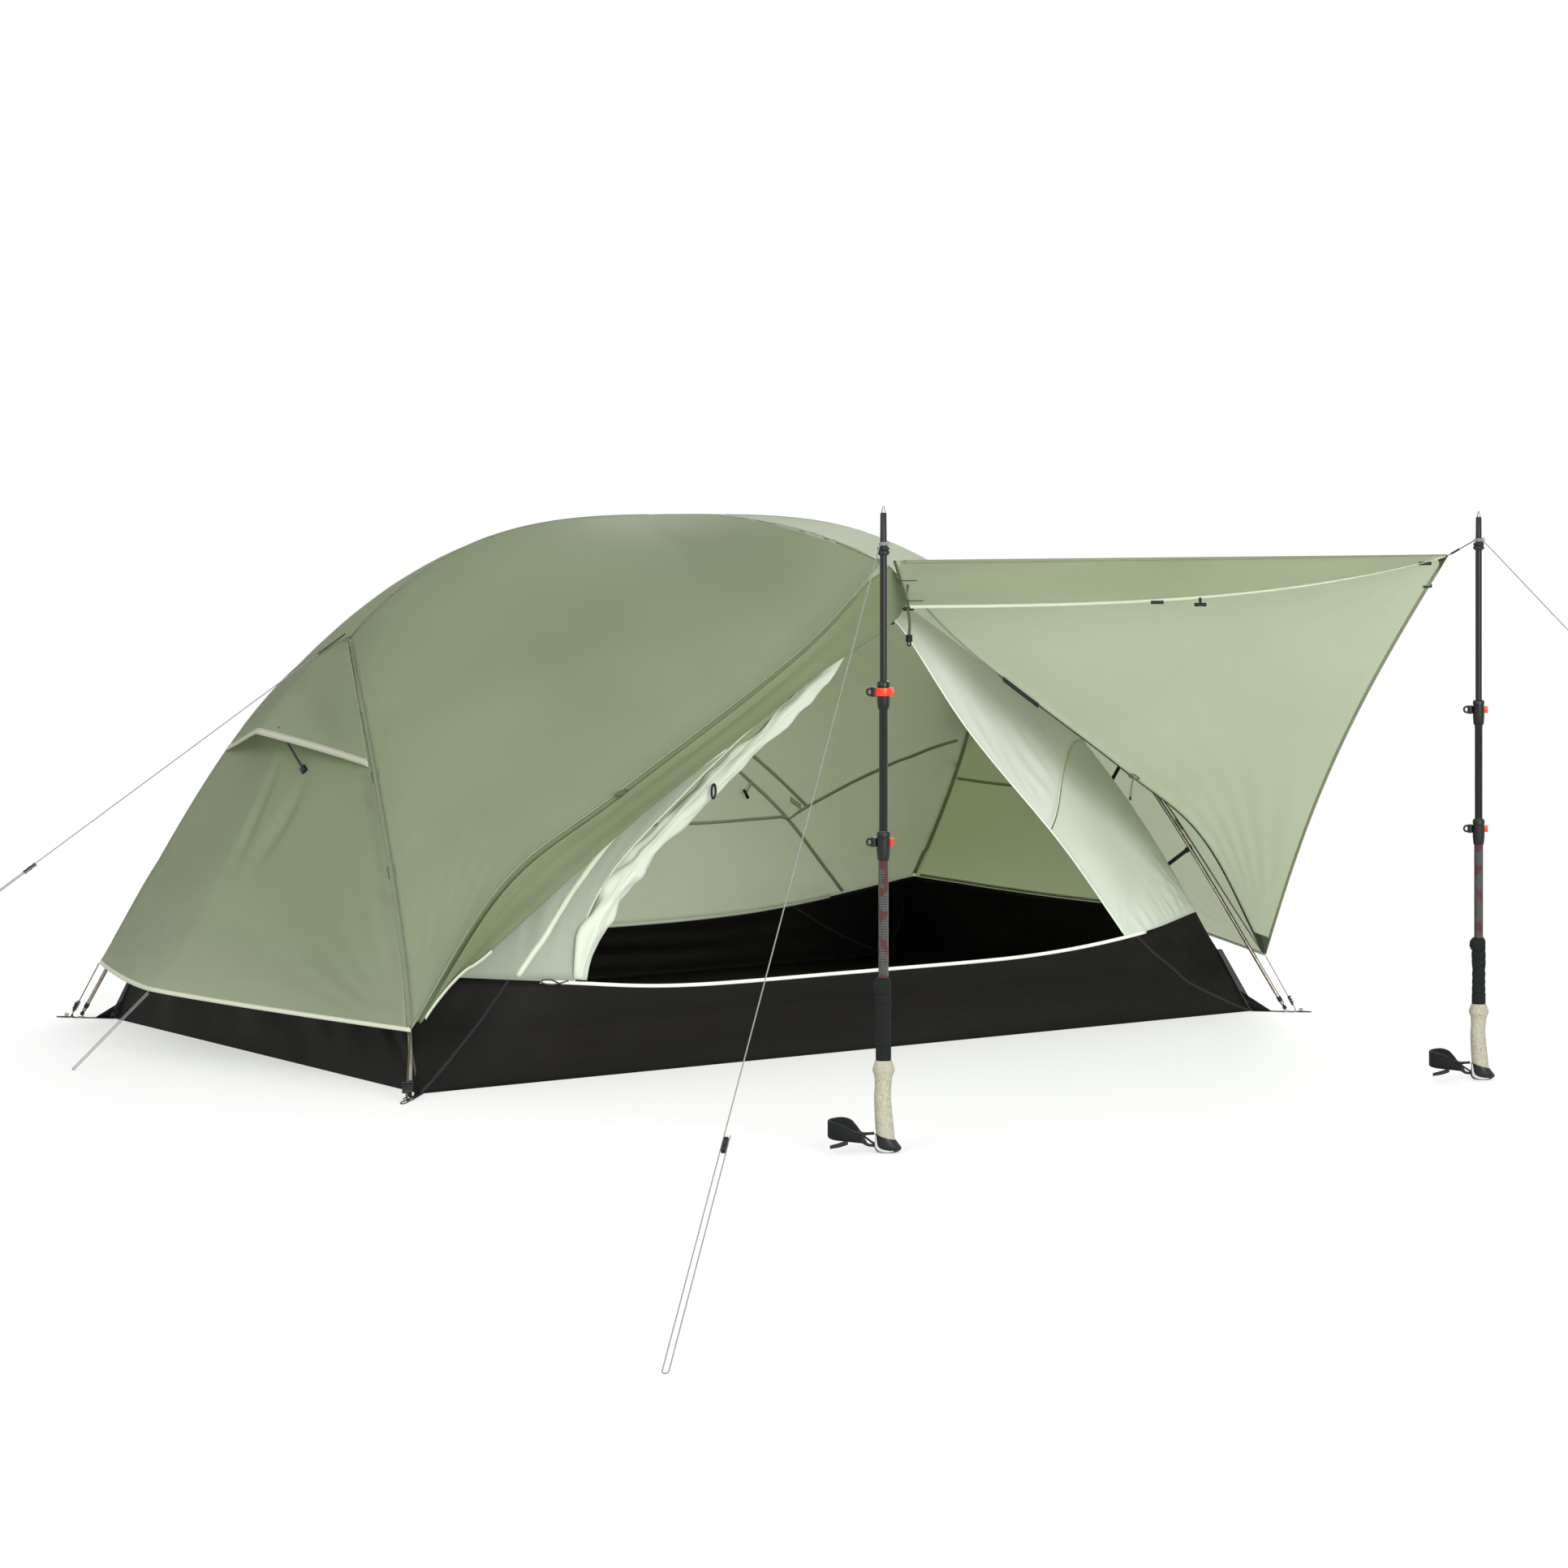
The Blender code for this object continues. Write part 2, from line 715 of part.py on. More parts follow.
def strut_ends(left):
    """Where a strut stands on the fly end, and where it holds the hood."""
    end = end_surface(left)
    hood = hood_surface(left)
    share = min((abs(end(0.5, v / 200).z - (HOOD_HEIGHT - STRUT_DROP)), v / 200) for v in range(201))[1]
    foot, head = end(0.5, share), hood(0.5, 0.985)
    along = (head - foot).normalized()
    clear = STRUT_RADIUS + CLOTH + GAP
    return foot + along * clear, head - along * clear


def far_vestibule():
    """The closed vestibule behind: two door halves zipped from brow tip to hem."""
    seam = quarter(door_seam(), False, False)
    corner = Vector((FLY_X, FLY_Y, FLY_CORNER_HEIGHT))
    point = Vector((0, HALF_W + VESTIBULE_DEPTH, VESTIBULE_HEM_HEIGHT))
    left_corner = mirrored(corner, True, False)

    def top(u):
        return mirrored(seam(1 - 2 * u), True, False) if u < 0.5 else seam(2 * u - 1)

    def bottom(u):
        return left_corner.lerp(point, 2 * u) if u < 0.5 else point.lerp(corner, 2 * u - 1)

    surface = patch(top, bottom, lambda v: left_corner, lambda v: corner)
    off = Vector((0, 1, -1)) * (SEAM_INSET + GAP)
    panel("fly_vestibule_far", lambda u, v: surface(u, v) + off, 16, 8, (0.02, 0.98), (0, 1))


def awning_corner():
    return Vector((AWNING_X, AWNING_Y, AWNING_HEIGHT))


def awning():
    """The raised door half: its zip strip, the ridge pulled to the far pole, and the cloth to the seam."""
    seam = quarter(door_seam(), False, True)
    brow, corner = seam(0), seam(1)
    out = awning_corner()
    scoop = (brow - (out + corner) / 2).normalized() * AWNING_SCOOP

    def edge(v):
        return out.lerp(corner, v) + scoop * math.sin(math.pi * v)

    surface = patch(line(brow, out), seam, lambda v: brow, edge)
    along = (out - brow).normalized()
    sideways = Vector((along.y, -along.x, 0)).normalized()

    def strip(u, v):
        depth = ZIP_STRIP * min(1.0, (1 - u) / 0.42) ** 0.8 + CLOTH * 3
        return line(brow, out)(u) + v * (sideways * ZIP_STRIP_OUT - ZED * depth)

    def columns(v):
        first = AWNING_START + (AWNING_FREE_COLUMNS / ROOF_COLUMNS - AWNING_START) * v
        if v < 0:
            first = AWNING_START - (ZIP_STRIP_START - AWNING_START) * v
        count = ROOF_COLUMNS - AWNING_FREE_COLUMNS
        return [first + (1 - first) * i / count for i in range(count + 1)]

    rows = [[strip(u, v) for u in columns(-v)] for v in (1.0, 0.5)]
    inset = SEAM_INSET / length_of(edge)
    for j in range(9):
        v = (1 - 2 * inset) * j / 8
        rows.append([surface(u, v) for u in columns(v)])
    pivoted(sheet("fly_awning", rows, "flysheet"), brow)


def fly_door():
    """The other near door half, rolled up in folds along its seam, with its flap flat at the brow."""
    seam = quarter(door_seam(), True, True)
    rise = BROW_HEIGHT - FLY_CORNER_HEIGHT
    rings = []
    for i in range(FOLD_RINGS + 1):
        share = FOLD_END * i / FOLD_RINGS
        upper = seam(share) - ZED * (CLOTH + 4 * GAP)
        if i == 0:
            upper += Vector((0.012, 0, -0.008))
        x, z = fold_edge(share)
        lower = Vector((-FLY_X * x, upper.y + 0.01 * share, FLY_CORNER_HEIGHT + rise * z))
        thick = FLY_ROLL_THICKNESS * min(1, max(0.10, share * 3))
        ring = []
        for k in range(24):
            angle = 2 * math.pi * k / 24
            way = (1 - math.cos(angle)) / 2
            fold = 1 + 0.38 * math.cos(FOLDS * 2 * math.pi * way) * min(1, share * 4) * math.sin(angle) ** 2
            out = math.sin(angle) * fold - 0.5
            ring.append(upper.lerp(lower, way) + Vector((0, thick * out, 0)))
        rings.append(ring)
    body("fly_door_rolled", rings, "flysheet")


# The pole frame


def hub_piece(name, left):
    """A three-way hub: a round core with a socket for the ridge pole and for each leg."""
    core = Vector((-HUB_X if left else HUB_X, 0, HUB_HEIGHT))
    rings = []
    for k in range(7):
        tilt = math.pi * (k + 0.5) / 7 - math.pi / 2
        ring = circle(core + ZED * HUB_RADIUS * math.sin(tilt), HUB_RADIUS * math.cos(tilt), 12)
        rings.append(ring)
    hub = body(name, rings, "black_plastic")
    for k, towards in enumerate(socket_directions(left)):
        ends = [core, core + towards * SOCKET_LENGTH]
        socket = tube(f"{name}_socket_{k}", ends, SOCKET_RADIUS, "black_plastic")
        socket.hide_render = True
        socket.display_type = "WIRE"
        mesh = bpy.data.meshes.new_from_object(socket.evaluated_get(bpy.context.evaluated_depsgraph_get()))
        bpy.data.objects.remove(socket)
        cutter = bpy.data.objects.new(f"{name}_socket_{k}", mesh)
        bpy.context.collection.objects.link(cutter)
        cutter.hide_render = True
        cutter.display_type = "WIRE"
        union = hub.modifiers.new(f"socket_{k}", "BOOLEAN")
        union.operation = "UNION"
        union.object = cutter
    return hub


def socket_directions(left):
    core = Vector((-HUB_X if left else HUB_X, 0, HUB_HEIGHT))
    legs = [quarter(leg_pole(), left, near)(SOCKET_SHARE) for near in (True, False)]
    return [(p - core).normalized() for p in [ridge_pole_line(left)(SOCKET_SHARE), *legs]]


def ridge_pole_line(left):
    """The ridge pole's middle line from a hub to the middle."""
    drop = PEAK_HEIGHT - RIDGE_COVER - HUB_HEIGHT
    start = -HUB_X if left else HUB_X

    def at(t):
        share = 1 - t
        return Vector((start * share, 0, PEAK_HEIGHT - RIDGE_COVER - drop * share**RIDGE_POWER))

    return at


def socketed(curve, count):
    """Points along a pole that starts square against its socket in the hub."""
    core = curve(0)
    straight = (curve(SOCKET_SHARE) - core).normalized()
    reach = SOCKET_LENGTH + GAP
    points = [core + straight * reach, core + straight * (reach + POLE_RADIUS)]
    return points + sampled(curve, count, 2 * SOCKET_SHARE, 1.0)


def frame():
    """Ridge pole, hubs, legs, brow pole and the swivel that it turns on."""
    hub_piece("hub_left", True)
    hub_piece("hub_right", False)
    half = socketed(ridge_pole_line(True), 12)
    other = socketed(ridge_pole_line(False), 12)
    tube("ridge_pole", half + other[-2::-1], POLE_RADIUS, "pole_alloy")
    for side, is_left in (("left", True), ("right", False)):
        for depth, near in (("near", True), ("far", False)):
            points = socketed(quarter(leg_pole(), is_left, near), 14)
            tube(f"leg_pole_{depth}_{side}", points, POLE_RADIUS, "pole_alloy")
    brow = fly_brow()
    lower = -ZED * BROW_COVER
    half = [brow(t / 9 * 0.985) + lower for t in range(10)]
    points = [Vector((p.x, -p.y, p.z)) for p in reversed(half[1:])] + half
    tube("brow_pole", points, POLE_RADIUS, "pole_alloy")
    low = PEAK_HEIGHT - RIDGE_COVER + POLE_RADIUS + GAP
    high = PEAK_HEIGHT - BROW_COVER - POLE_RADIUS - GAP
    turned("brow_swivel", (0, 0), [(SWIVEL_RADIUS, low), (SWIVEL_RADIUS, high)], "black_plastic")


# Straps, lines and tensioners


def corner_straps():
    """At each corner, a strap from the tub over the ground, past the pole tip and up to the fly."""
    diagonal = Vector((1, 1, 0)).normalized()
    across = Vector((1, -1, 0)).normalized() * STRAP_WIDTH / 2
    ground = ZED * (STRAP_THICKNESS / 2 + 0.0001)
    start = Vector((HALF_L, HALF_W, 0)) + diagonal * 2 * GAP + ground
    tip = Vector((TIP_X, TIP_Y, 0)) + ground
    fly = Vector((FLY_X, FLY_Y, FLY_CORNER_HEIGHT))
    turn = tip + diagonal * 0.016
    rise = turn + diagonal * 0.004 + ZED * 0.006
    end = fly + (rise - fly).normalized() * (CLOTH + GAP)
    points = [start, start.lerp(turn, 0.5), turn, rise, rise.lerp(end, 0.5), end]
    for side, left in (("left", True), ("right", False)):
        for depth, near in (("near", True), ("far", False)):
            rows = [[mirrored(p - across, left, near), mirrored(p + across, left, near)] for p in points]
            sheet(f"corner_strap_{depth}_{side}", rows, "webbing", STRAP_THICKNESS)


def hairpin(name, anchor, stake, turn_back):
    """A cord drawn tight to a stake and back up beside itself to a share of its run."""
    along = (stake - anchor).normalized()
    side = along.cross(ZED).normalized() * LINE_GAP / 2
    bow = stake - along * LINE_GAP / 2
    points = [anchor.lerp(bow, i / 20) + side for i in range(20)]
    for i in range(9):
        angle = math.pi * i / 8
        points.append(bow + side * math.cos(angle) + along * LINE_GAP / 2 * math.sin(angle))
    points += [bow.lerp(anchor, (1 - turn_back) * i / 8) - side for i in range(1, 9)]
    return tube(name, points, LINE / 2, "guy_line")


def tensioner(name, anchor, stake, share):
    """A flat bar between the two strands, which slides along them."""
    along = (stake - anchor).normalized()
    side = along.cross(ZED).normalized()
    up = side.cross(along)
    centre = anchor.lerp(stake, share)
    wide = (LINE_GAP - LINE) / 2 - 2 * GAP
    outline = [(-1, -0.6), (-0.6, -1), (0.6, -1), (1, -0.6), (1, 0.6), (0.6, 1), (-0.6, 1), (-1, 0.6)]
    rings = [
        [centre + along * end * TENSIONER_LENGTH / 2 + side * wide * x + up * TENSIONER_THICKNESS / 2 * y
         for x, y in outline]
        for end in (-1, 1)
    ]
    return pivoted(body(name, rings, "black_plastic", smooth=False), centre)


def line_anchor(foot, towards, aside=0.0):
    """Where a line that leads away from a trekking pole's upper end begins, just off the pole."""
    centre = Vector((foot[0], foot[1], LINE_HEIGHT))
    flat = Vector((towards.x - centre.x, towards.y - centre.y, 0)).normalized()
    return centre + flat * math.sqrt((TIP_TUBE + GAP) ** 2 - max(0, aside - LINE / 2) ** 2)


def guy_lines():
    """Every line with its two ends, and the tensioners."""
    ground = LINE / 2 + GAP
    near_stake = Vector((*NEAR_STAKE, ground))
    far_stake = Vector((*FAR_STAKE, ground))
    aside = LINE_GAP / 2
    runs = [("near", line_anchor(NEAR_FOOT, near_stake, aside), near_stake, TENSIONER_AT)]
    runs.append(("far", line_anchor(FAR_FOOT, far_stake, aside), far_stake, TENSIONER_AT))
    hub = Vector((-FLY_HUB_X - HUB_LINE_OFF, 0, FLY_HUB_Z + HUB_LINE_OFF))
    runs.append(("left", hub, Vector((-HALF_L - HUB_STAKE_REACH, 0, ground)), LEFT_TENSIONER_AT))
    for name, anchor, stake, share in runs:
        hairpin(f"guy_line_{name}", anchor, stake, share - 0.008)
        tensioner(f"tensioner_{name}", anchor, stake, share)
    for side, out in (("left", -1), ("right", 1)):
        hem = Vector((out * (HALF_L + END_HEM_REACH - CLOTH), 0, END_HEM_HEIGHT - LINE / 2 + GAP))
        stake = Vector((out * (HALF_L + END_STAKE_REACH), 0, ground))
        hairpin(f"end_line_{side}", hem, stake, 0.03)
    brow = Vector((0, -BROW_Y - CLOTH, BROW_HEIGHT))
    start = line_anchor(NEAR_FOOT, brow)
    tube("brow_line", [start.lerp(brow, i / 12) for i in range(13)], LINE / 2, "guy_line")
    corner = awning_corner()
    start = line_anchor(FAR_FOOT, corner)
    end = corner + (start - corner).normalized() * LINE
    awning_line = tube("awning_line", [start.lerp(end, i / 6) for i in range(7)], LINE / 2, "guy_line")
    pivoted(awning_line, Vector((0, -BROW_Y, BROW_HEIGHT)))


# The trekking poles


def trekking_pole(name, foot, heights):
    """A three-part pole upside down: its tip section on top, then the middle, then grip and strap."""
    tip, upper, lower = heights["tip"], heights["upper_clamp"], heights["lower_clamp"]
    foam, cork = heights["foam"], heights["cork"]
    turned(
        f"{name}_tip_section",
        foot,
        [
            (0.0016, tip),
            (0.0034, tip - 0.006),
            (0.0040, tip - 0.011),
            (0.0055, tip - 0.012),
            (TIP_TUBE - 0.0002, COLLAR_HEIGHT + 0.008),
            (COLLAR_RADIUS, COLLAR_HEIGHT + 0.005),
            (COLLAR_RADIUS, COLLAR_HEIGHT - 0.005),
            (TIP_TUBE, COLLAR_HEIGHT - 0.009),
            (TIP_TUBE, upper - CLAMP_LENGTH - TUBE_OVERLAP),
        ],
        "black_tube",
    )
    bore = TIP_TUBE + TUBE_PLAY
    turned(
        f"{name}_middle_section",
        foot,
        clamped_tube(MIDDLE_TUBE, bore, upper, lower - CLAMP_LENGTH - TUBE_OVERLAP * 0.8),
        "black_tube",
        hollow=True,
    )
    bore = MIDDLE_TUBE + TUBE_PLAY
    turned(
        f"{name}_grip_section",
        foot,
        clamped_tube(GRIP_TUBE, bore, lower, cork + GAP),
        "black_tube",
        hollow=True,
    )
    lever(f"{name}_upper_lever", foot, upper - LEVER_DROP, name == "far_pole")
    lever(f"{name}_lower_lever", foot, lower - LEVER_DROP, True)
    inside = GRIP_TUBE + GAP
    turned(
        f"{name}_foam_grip",
        foot,
        [(inside, foam), (FOAM_RADIUS, foam), (FOAM_RADIUS, cork + GAP), (inside, cork + GAP)],
        "foam",
        hollow=True,
    )
    cork_grip(f"{name}_cork_grip", foot, cork)
    wrist_strap(f"{name}_wrist_strap", foot)


def clamped_tube(radius, bore, top, bottom):
    """A tube's section with its clamp on the upper end, outside first and back up the bore."""
    low = top - CLAMP_LENGTH
    return [
        (bore, top),
        (radius + 0.0008, top),
        (CLAMP_RADIUS, top - 0.006),
        (CLAMP_RADIUS, low + 0.004),
        (radius, low),
        (radius, bottom),
        (bore, bottom),
    ]


def lever(name, foot, height, behind):
    """A clamp's lever: a hinge knob beside the clamp and a blade round its front or its back."""
    turn = Matrix.Rotation(GRIP_TURN, 3, "Z")
    hinge, side = turn @ Vector((-1, 0, 0)), turn @ Vector((0, 1 if behind else -1, 0))
    centre = Vector((foot[0], foot[1], 0))
    inner = CLAMP_RADIUS + GAP
    outer = inner + LEVER_THICKNESS
    knob = centre + hinge * (inner + HINGE_KNOB + GAP)

    def around(radius, angle, middle=centre):
        return middle + radius * (math.cos(angle) * -hinge + math.sin(angle) * side)

    outline = [around(outer + LEVER_TAB, 0.0), around(outer + LEVER_TAB, 0.17)]
    outline += [around(outer, math.pi * i / 12) for i in range(1, 11)]
    outline += [around(HINGE_KNOB, math.radians(60 + 30 * i), knob) for i in range(10)]
    outline += [around(inner, math.pi * i / 12) for i in range(11, -1, -1)]
    blade = body(name, upright(outline, height - LEVER_HEIGHT / 2, height + LEVER_HEIGHT / 2), "lever_red")
    pivoted(blade, knob + ZED * height)


def cork_grip(name, foot, top):
    """The bent cork handle with its cap, which stands on the ground."""
    turn = Matrix.Rotation(GRIP_TURN, 3, "Z")
    right, back = turn @ Vector((1, 0, 0)), turn @ Vector((0, 1, 0))
    length = top - CAP_TOP
    stations = [
        (0.0, 0.0000, 1.00, 1.00),
        (0.10, 0.0000, 1.38, 1.20),
        (0.18, -0.0002, 1.36, 1.20),
        (0.26, -0.0010, 1.05, 1.10),
        (0.50, -0.0012, 1.02, 1.10),
        (0.72, 0.0010, 1.06, 1.12),
        (1.0, 0.0035, 1.16, 1.15),
    ]
    rings = []
    for share, shift, wide, deep in stations:
        centre = Vector((foot[0], foot[1], top - length * share)) + right * shift
        rings.append(circle(centre, CORK_RADIUS * wide, 14, right, back, deep / wide))
    for height, shift, wide, deep in ((0.012, 0.0075, 0.0235, 0.0175), (0.004, 0.0090, 0.0205, 0.0150),
                                      (0.0, 0.0090, 0.0140, 0.0110)):
        centre = Vector((foot[0], foot[1], height)) + right * shift
        rings.append(circle(centre, wide, 14, right, back, deep / wide))
    pivoted(body(name, rings, "cork"), Vector((foot[0], foot[1], 0)))


def wrist_strap(name, foot):
    """The strap's loop, lying beside the cap on its edge."""
    turn = Matrix.Rotation(GRIP_TURN, 3, "Z")
    left = turn @ Vector((-1, 0, 0))
    back = turn @ Vector((0, 1, 0))
    start = Vector((foot[0], foot[1], 0)) + left * STRAP_START
    centre_line = through(
        [start + left * x + back * y for x, y in
         ((0.000, -0.004), (0.020, -0.006), (0.060, -0.024), (0.090, -0.014), (0.096, 0.004),
          (0.084, 0.020), (0.055, 0.022), (0.020, 0.006), (0.000, 0.004))]
    )
    points = sampled(centre_line, 22)
    rows = []
    for i, p in enumerate(points):
        rise = 0.012 + 0.026 * math.sin(math.pi * i / 22) ** 2
        width = BAND_WIDTH * (0.45 + 0.55 * math.sin(math.pi * i / 22))
        rows.append([p + ZED * rise, p + ZED * (rise + width)])
    pivoted(sheet(name, rows, "webbing", BAND_THICKNESS), Vector((foot[0], foot[1], 0)))


def main():
    for thing in list(bpy.data.objects):
        bpy.data.objects.remove(thing)
    floor_tub()
    inner_walls()
    inner_door()
    fly_quarters()
    fly_ends()
    far_vestibule()
    awning()
    fly_door()
    frame()
    corner_straps()
    guy_lines()
    trekking_pole("near_pole", NEAR_FOOT, NEAR_HEIGHTS)
    trekking_pole("far_pole", FAR_FOOT, FAR_HEIGHTS)


main()
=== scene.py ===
# %% [markdown]
# # A two-person tent for the studio
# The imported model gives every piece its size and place. This lesson sews the cloth that the model only
# stands in for, and gives each plain part its finish: coated nylon, sheer polyester, webbing, cord,
# anodised aluminium, moulded plastic, cork and foam.

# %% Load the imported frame
import math

import bmesh
import bpy
from mathutils import Matrix, Vector, noise
from mathutils.bvhtree import BVHTree


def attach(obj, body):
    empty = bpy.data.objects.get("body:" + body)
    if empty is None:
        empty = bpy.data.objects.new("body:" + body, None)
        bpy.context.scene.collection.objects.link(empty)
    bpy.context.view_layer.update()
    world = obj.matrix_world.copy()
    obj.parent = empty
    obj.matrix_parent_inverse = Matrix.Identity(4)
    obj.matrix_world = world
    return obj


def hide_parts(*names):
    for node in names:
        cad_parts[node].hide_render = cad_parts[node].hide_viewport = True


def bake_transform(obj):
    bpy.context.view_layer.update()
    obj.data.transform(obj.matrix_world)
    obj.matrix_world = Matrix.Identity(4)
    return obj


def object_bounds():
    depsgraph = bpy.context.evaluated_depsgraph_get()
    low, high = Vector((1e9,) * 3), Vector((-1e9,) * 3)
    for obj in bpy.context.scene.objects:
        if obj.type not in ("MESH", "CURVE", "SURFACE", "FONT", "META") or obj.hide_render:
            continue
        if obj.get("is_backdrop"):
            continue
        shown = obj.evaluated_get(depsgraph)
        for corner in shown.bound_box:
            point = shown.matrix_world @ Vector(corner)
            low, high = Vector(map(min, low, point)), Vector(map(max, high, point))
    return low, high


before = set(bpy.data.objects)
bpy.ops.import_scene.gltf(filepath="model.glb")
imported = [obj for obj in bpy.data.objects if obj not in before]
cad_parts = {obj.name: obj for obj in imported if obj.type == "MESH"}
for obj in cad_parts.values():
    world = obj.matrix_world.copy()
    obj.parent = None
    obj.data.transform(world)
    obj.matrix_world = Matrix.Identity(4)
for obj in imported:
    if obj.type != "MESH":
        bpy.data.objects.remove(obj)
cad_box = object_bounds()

for name in ("Cube", "Camera", "Light"):
    if name in bpy.data.objects:
        bpy.data.objects.remove(bpy.data.objects[name])

# %% [markdown]
# ## The camera
# The photograph was taken level, from a standing adult's waist, with a long lens. The lens is shifted
# rather than tilted, so upright poles stay upright in the picture.

# %% Camera
IMAGE = 1932
HORIZON_SHIFT = -338
LENS = 88.92
CAMERA_SPOT = (-4.753, -7.109, 1.115)
CAMERA_TURN = math.radians(-35.2)
camera_data = bpy.data.cameras.new("camera")
camera_data.lens = LENS
camera_data.sensor_width = 36
camera_data.shift_y = HORIZON_SHIFT / IMAGE
camera = bpy.data.objects.new("camera", camera_data)
camera.location = CAMERA_SPOT
camera.rotation_euler = (math.radians(90), 0, CAMERA_TURN)
bpy.context.scene.collection.objects.link(camera)
bpy.context.scene.camera = camera
bpy.context.scene.view_settings.view_transform = "Standard"
print("camera at", tuple(camera.location))

# %% [markdown]
# ## Colours and shader nodes
# Colours are written as on the web and turned into linear light. One small function adds a shader node
# with its settings and its links, so each finish below reads as a list of what it is made of.


# %% Colours and nodes
def linear(code):
    """A web colour as the linear red, green, blue and alpha that a shader takes."""
    parts = [int(code[i : i + 2], 16) / 255 for i in (1, 3, 5)]
    return (*[p / 12.92 if p <= 0.04045 else ((p + 0.055) / 1.055) ** 2.4 for p in parts], 1.0)


def add_node(tree, kind, sockets=None, **settings):
    """Add a node: settings are its own choices, sockets its inputs, each a value or what feeds it."""
    made = tree.nodes.new("ShaderNode" + kind)
    for key, value in settings.items():
        setattr(made, key, value)
    for key, value in (sockets or {}).items():
        if isinstance(value, bpy.types.NodeSocket):
            tree.links.new(value, made.inputs[key])
        else:
            made.inputs[key].default_value = value
    return made


def maths(tree, operation, *values):
    """What a Math node makes of its inputs."""
    return add_node(tree, "Math", dict(enumerate(values)), operation=operation).outputs[0]


def mixed_shader(tree, share, first, second):
    """Two shaders in one, by the second one's share."""
    return add_node(tree, "MixShader", {0: share, 1: first, 2: second}).outputs[0]


def new_finish(name):
    """An empty material: its node tree, its Principled shader and its output."""
    finish = bpy.data.materials.new(name)
    finish.use_nodes = True
    tree = finish.node_tree
    return finish, tree, tree.nodes["Principled BSDF"], tree.nodes["Material Output"]


def shade(tree, pattern, dark, light, low=0.35, high=0.65):
    """A colour between two, driven by a pattern from 0 to 1."""
    ramp = add_node(tree, "ValToRGB", {"Fac": pattern})
    ramp.color_ramp.elements[0].position = low
    ramp.color_ramp.elements[0].color = linear(dark)
    ramp.color_ramp.elements[1].position = high
    ramp.color_ramp.elements[1].color = linear(light)
    return ramp.outputs["Color"]


def relief(tree, shader, height, depth):
    """Raise a surface by a pattern, to a depth in metres."""
    bump = add_node(tree, "Bump", {"Height": height, "Strength": 1.0, "Distance": depth})
    tree.links.new(bump.outputs["Normal"], shader.inputs["Normal"])


print("white is", linear("#FFFFFF"))

# %% [markdown]
# ## Tent cloth
# The flysheet is 15-denier nylon with a silicone coat: thin, slick, a little see-through when light is
# behind it. A thicker thread every few millimetres stops tears, and makes the faint squares of ripstop.
# A Translucent shader beside the Principled one lets the sky light the cloth from behind. The ripstop is
# drawn at 6 mm, a little coarser than real, so that it survives in the picture.

# %% Cloth finishes
RIPSTOP = 0.006
NET = 0.0032
THREAD = 0.0009
THREAD_DEPTH = 0.00007


def cloth_finish(name, dark, light, through, share, rough, clear=0.0, ripstop=RIPSTOP, gloss=0.3):
    """A woven cloth: two shades, the colour of the light that comes through, its share, and its holes."""
    finish, tree, shader, output = new_finish(name)
    uv = add_node(tree, "UVMap").outputs["UV"]
    squares = add_node(
        tree, "TexBrick",
        {"Vector": uv, "Scale": 1.0, "Brick Width": ripstop, "Row Height": ripstop, "Mortar Size": THREAD / 2,
         "Mortar Smooth": 0.6},
        offset=0.0, squash=1.0,
    ).outputs["Fac"]
    clouds = add_node(tree, "TexNoise", {"Scale": 3.0, "Detail": 4.0}).outputs["Fac"]
    fine = add_node(tree, "TexNoise", {"Vector": uv, "Scale": 900.0, "Detail": 1.0}).outputs["Fac"]
    mixed = maths(tree, "MULTIPLY_ADD", squares, 0.16, clouds)
    mixed = maths(tree, "MULTIPLY_ADD", fine, 0.18, mixed)
    tree.links.new(shade(tree, mixed, dark, light, 0.4, 0.9), shader.inputs["Base Color"])
    shader.inputs["Roughness"].default_value = rough
    shader.inputs["Specular IOR Level"].default_value = gloss
    relief(tree, shader, squares, THREAD_DEPTH)
    surface = shader.outputs["BSDF"]
    if share:
        glow = add_node(tree, "BsdfTranslucent", {"Color": linear(through)})
        surface = mixed_shader(tree, share, surface, glow.outputs["BSDF"])
    if clear:
        hole = add_node(tree, "BsdfTransparent")
        surface = mixed_shader(tree, clear, surface, hole.outputs["BSDF"])
    tree.links.new(surface, output.inputs["Surface"])
    return finish


fly_nylon = cloth_finish("silicone-coated ripstop nylon", "#8D967C", "#9AA289", "#E2E7D7", 0.63, 0.46)
# The folded door is the fly's nylon painted darker: painted shade in its pleats.
door_nylon_shaded = cloth_finish("ripstop nylon, folded door, painted shade", "#7E8A69", "#8D9878", "#C9D2B8", 0.48, 0.50)
# The awning is the fly's nylon painted paler: painted light on its shaded underside.
awning_nylon_painted_light = cloth_finish("ripstop nylon, paler as painted light", "#A8B09B", "#B5BDA8", "#D4DAC9", 0.62, 0.50)
inner_poly = cloth_finish("sheer breathable polyester", "#DFE3D2", "#E8EBDC", "#F8FAF0", 0.64, 0.6, 0.10)
door_poly = cloth_finish("pale breathable polyester", "#E2E8DD", "#ECF1E7", "#F2F8EA", 0.45, 0.6, 0.08)
# A darker copy of the inner polyester for the near left wall: painted shade under the flysheet.
side_poly_shaded = cloth_finish("pale breathable polyester, painted shade", "#B4BCAD", "#C0C7B9", "#DDE3D3", 0.45, 0.6, 0.08)
mesh_net = cloth_finish("fine insect mesh", "#F6F8F1", "#FDFEF9", "#FDFEFA", 0.32, 0.7, 0.42, NET)
tub_nylon = cloth_finish("polyurethane-coated floor nylon", "#141312", "#1C1B19", "#000000", 0.0, 0.5,
                         gloss=0.06)
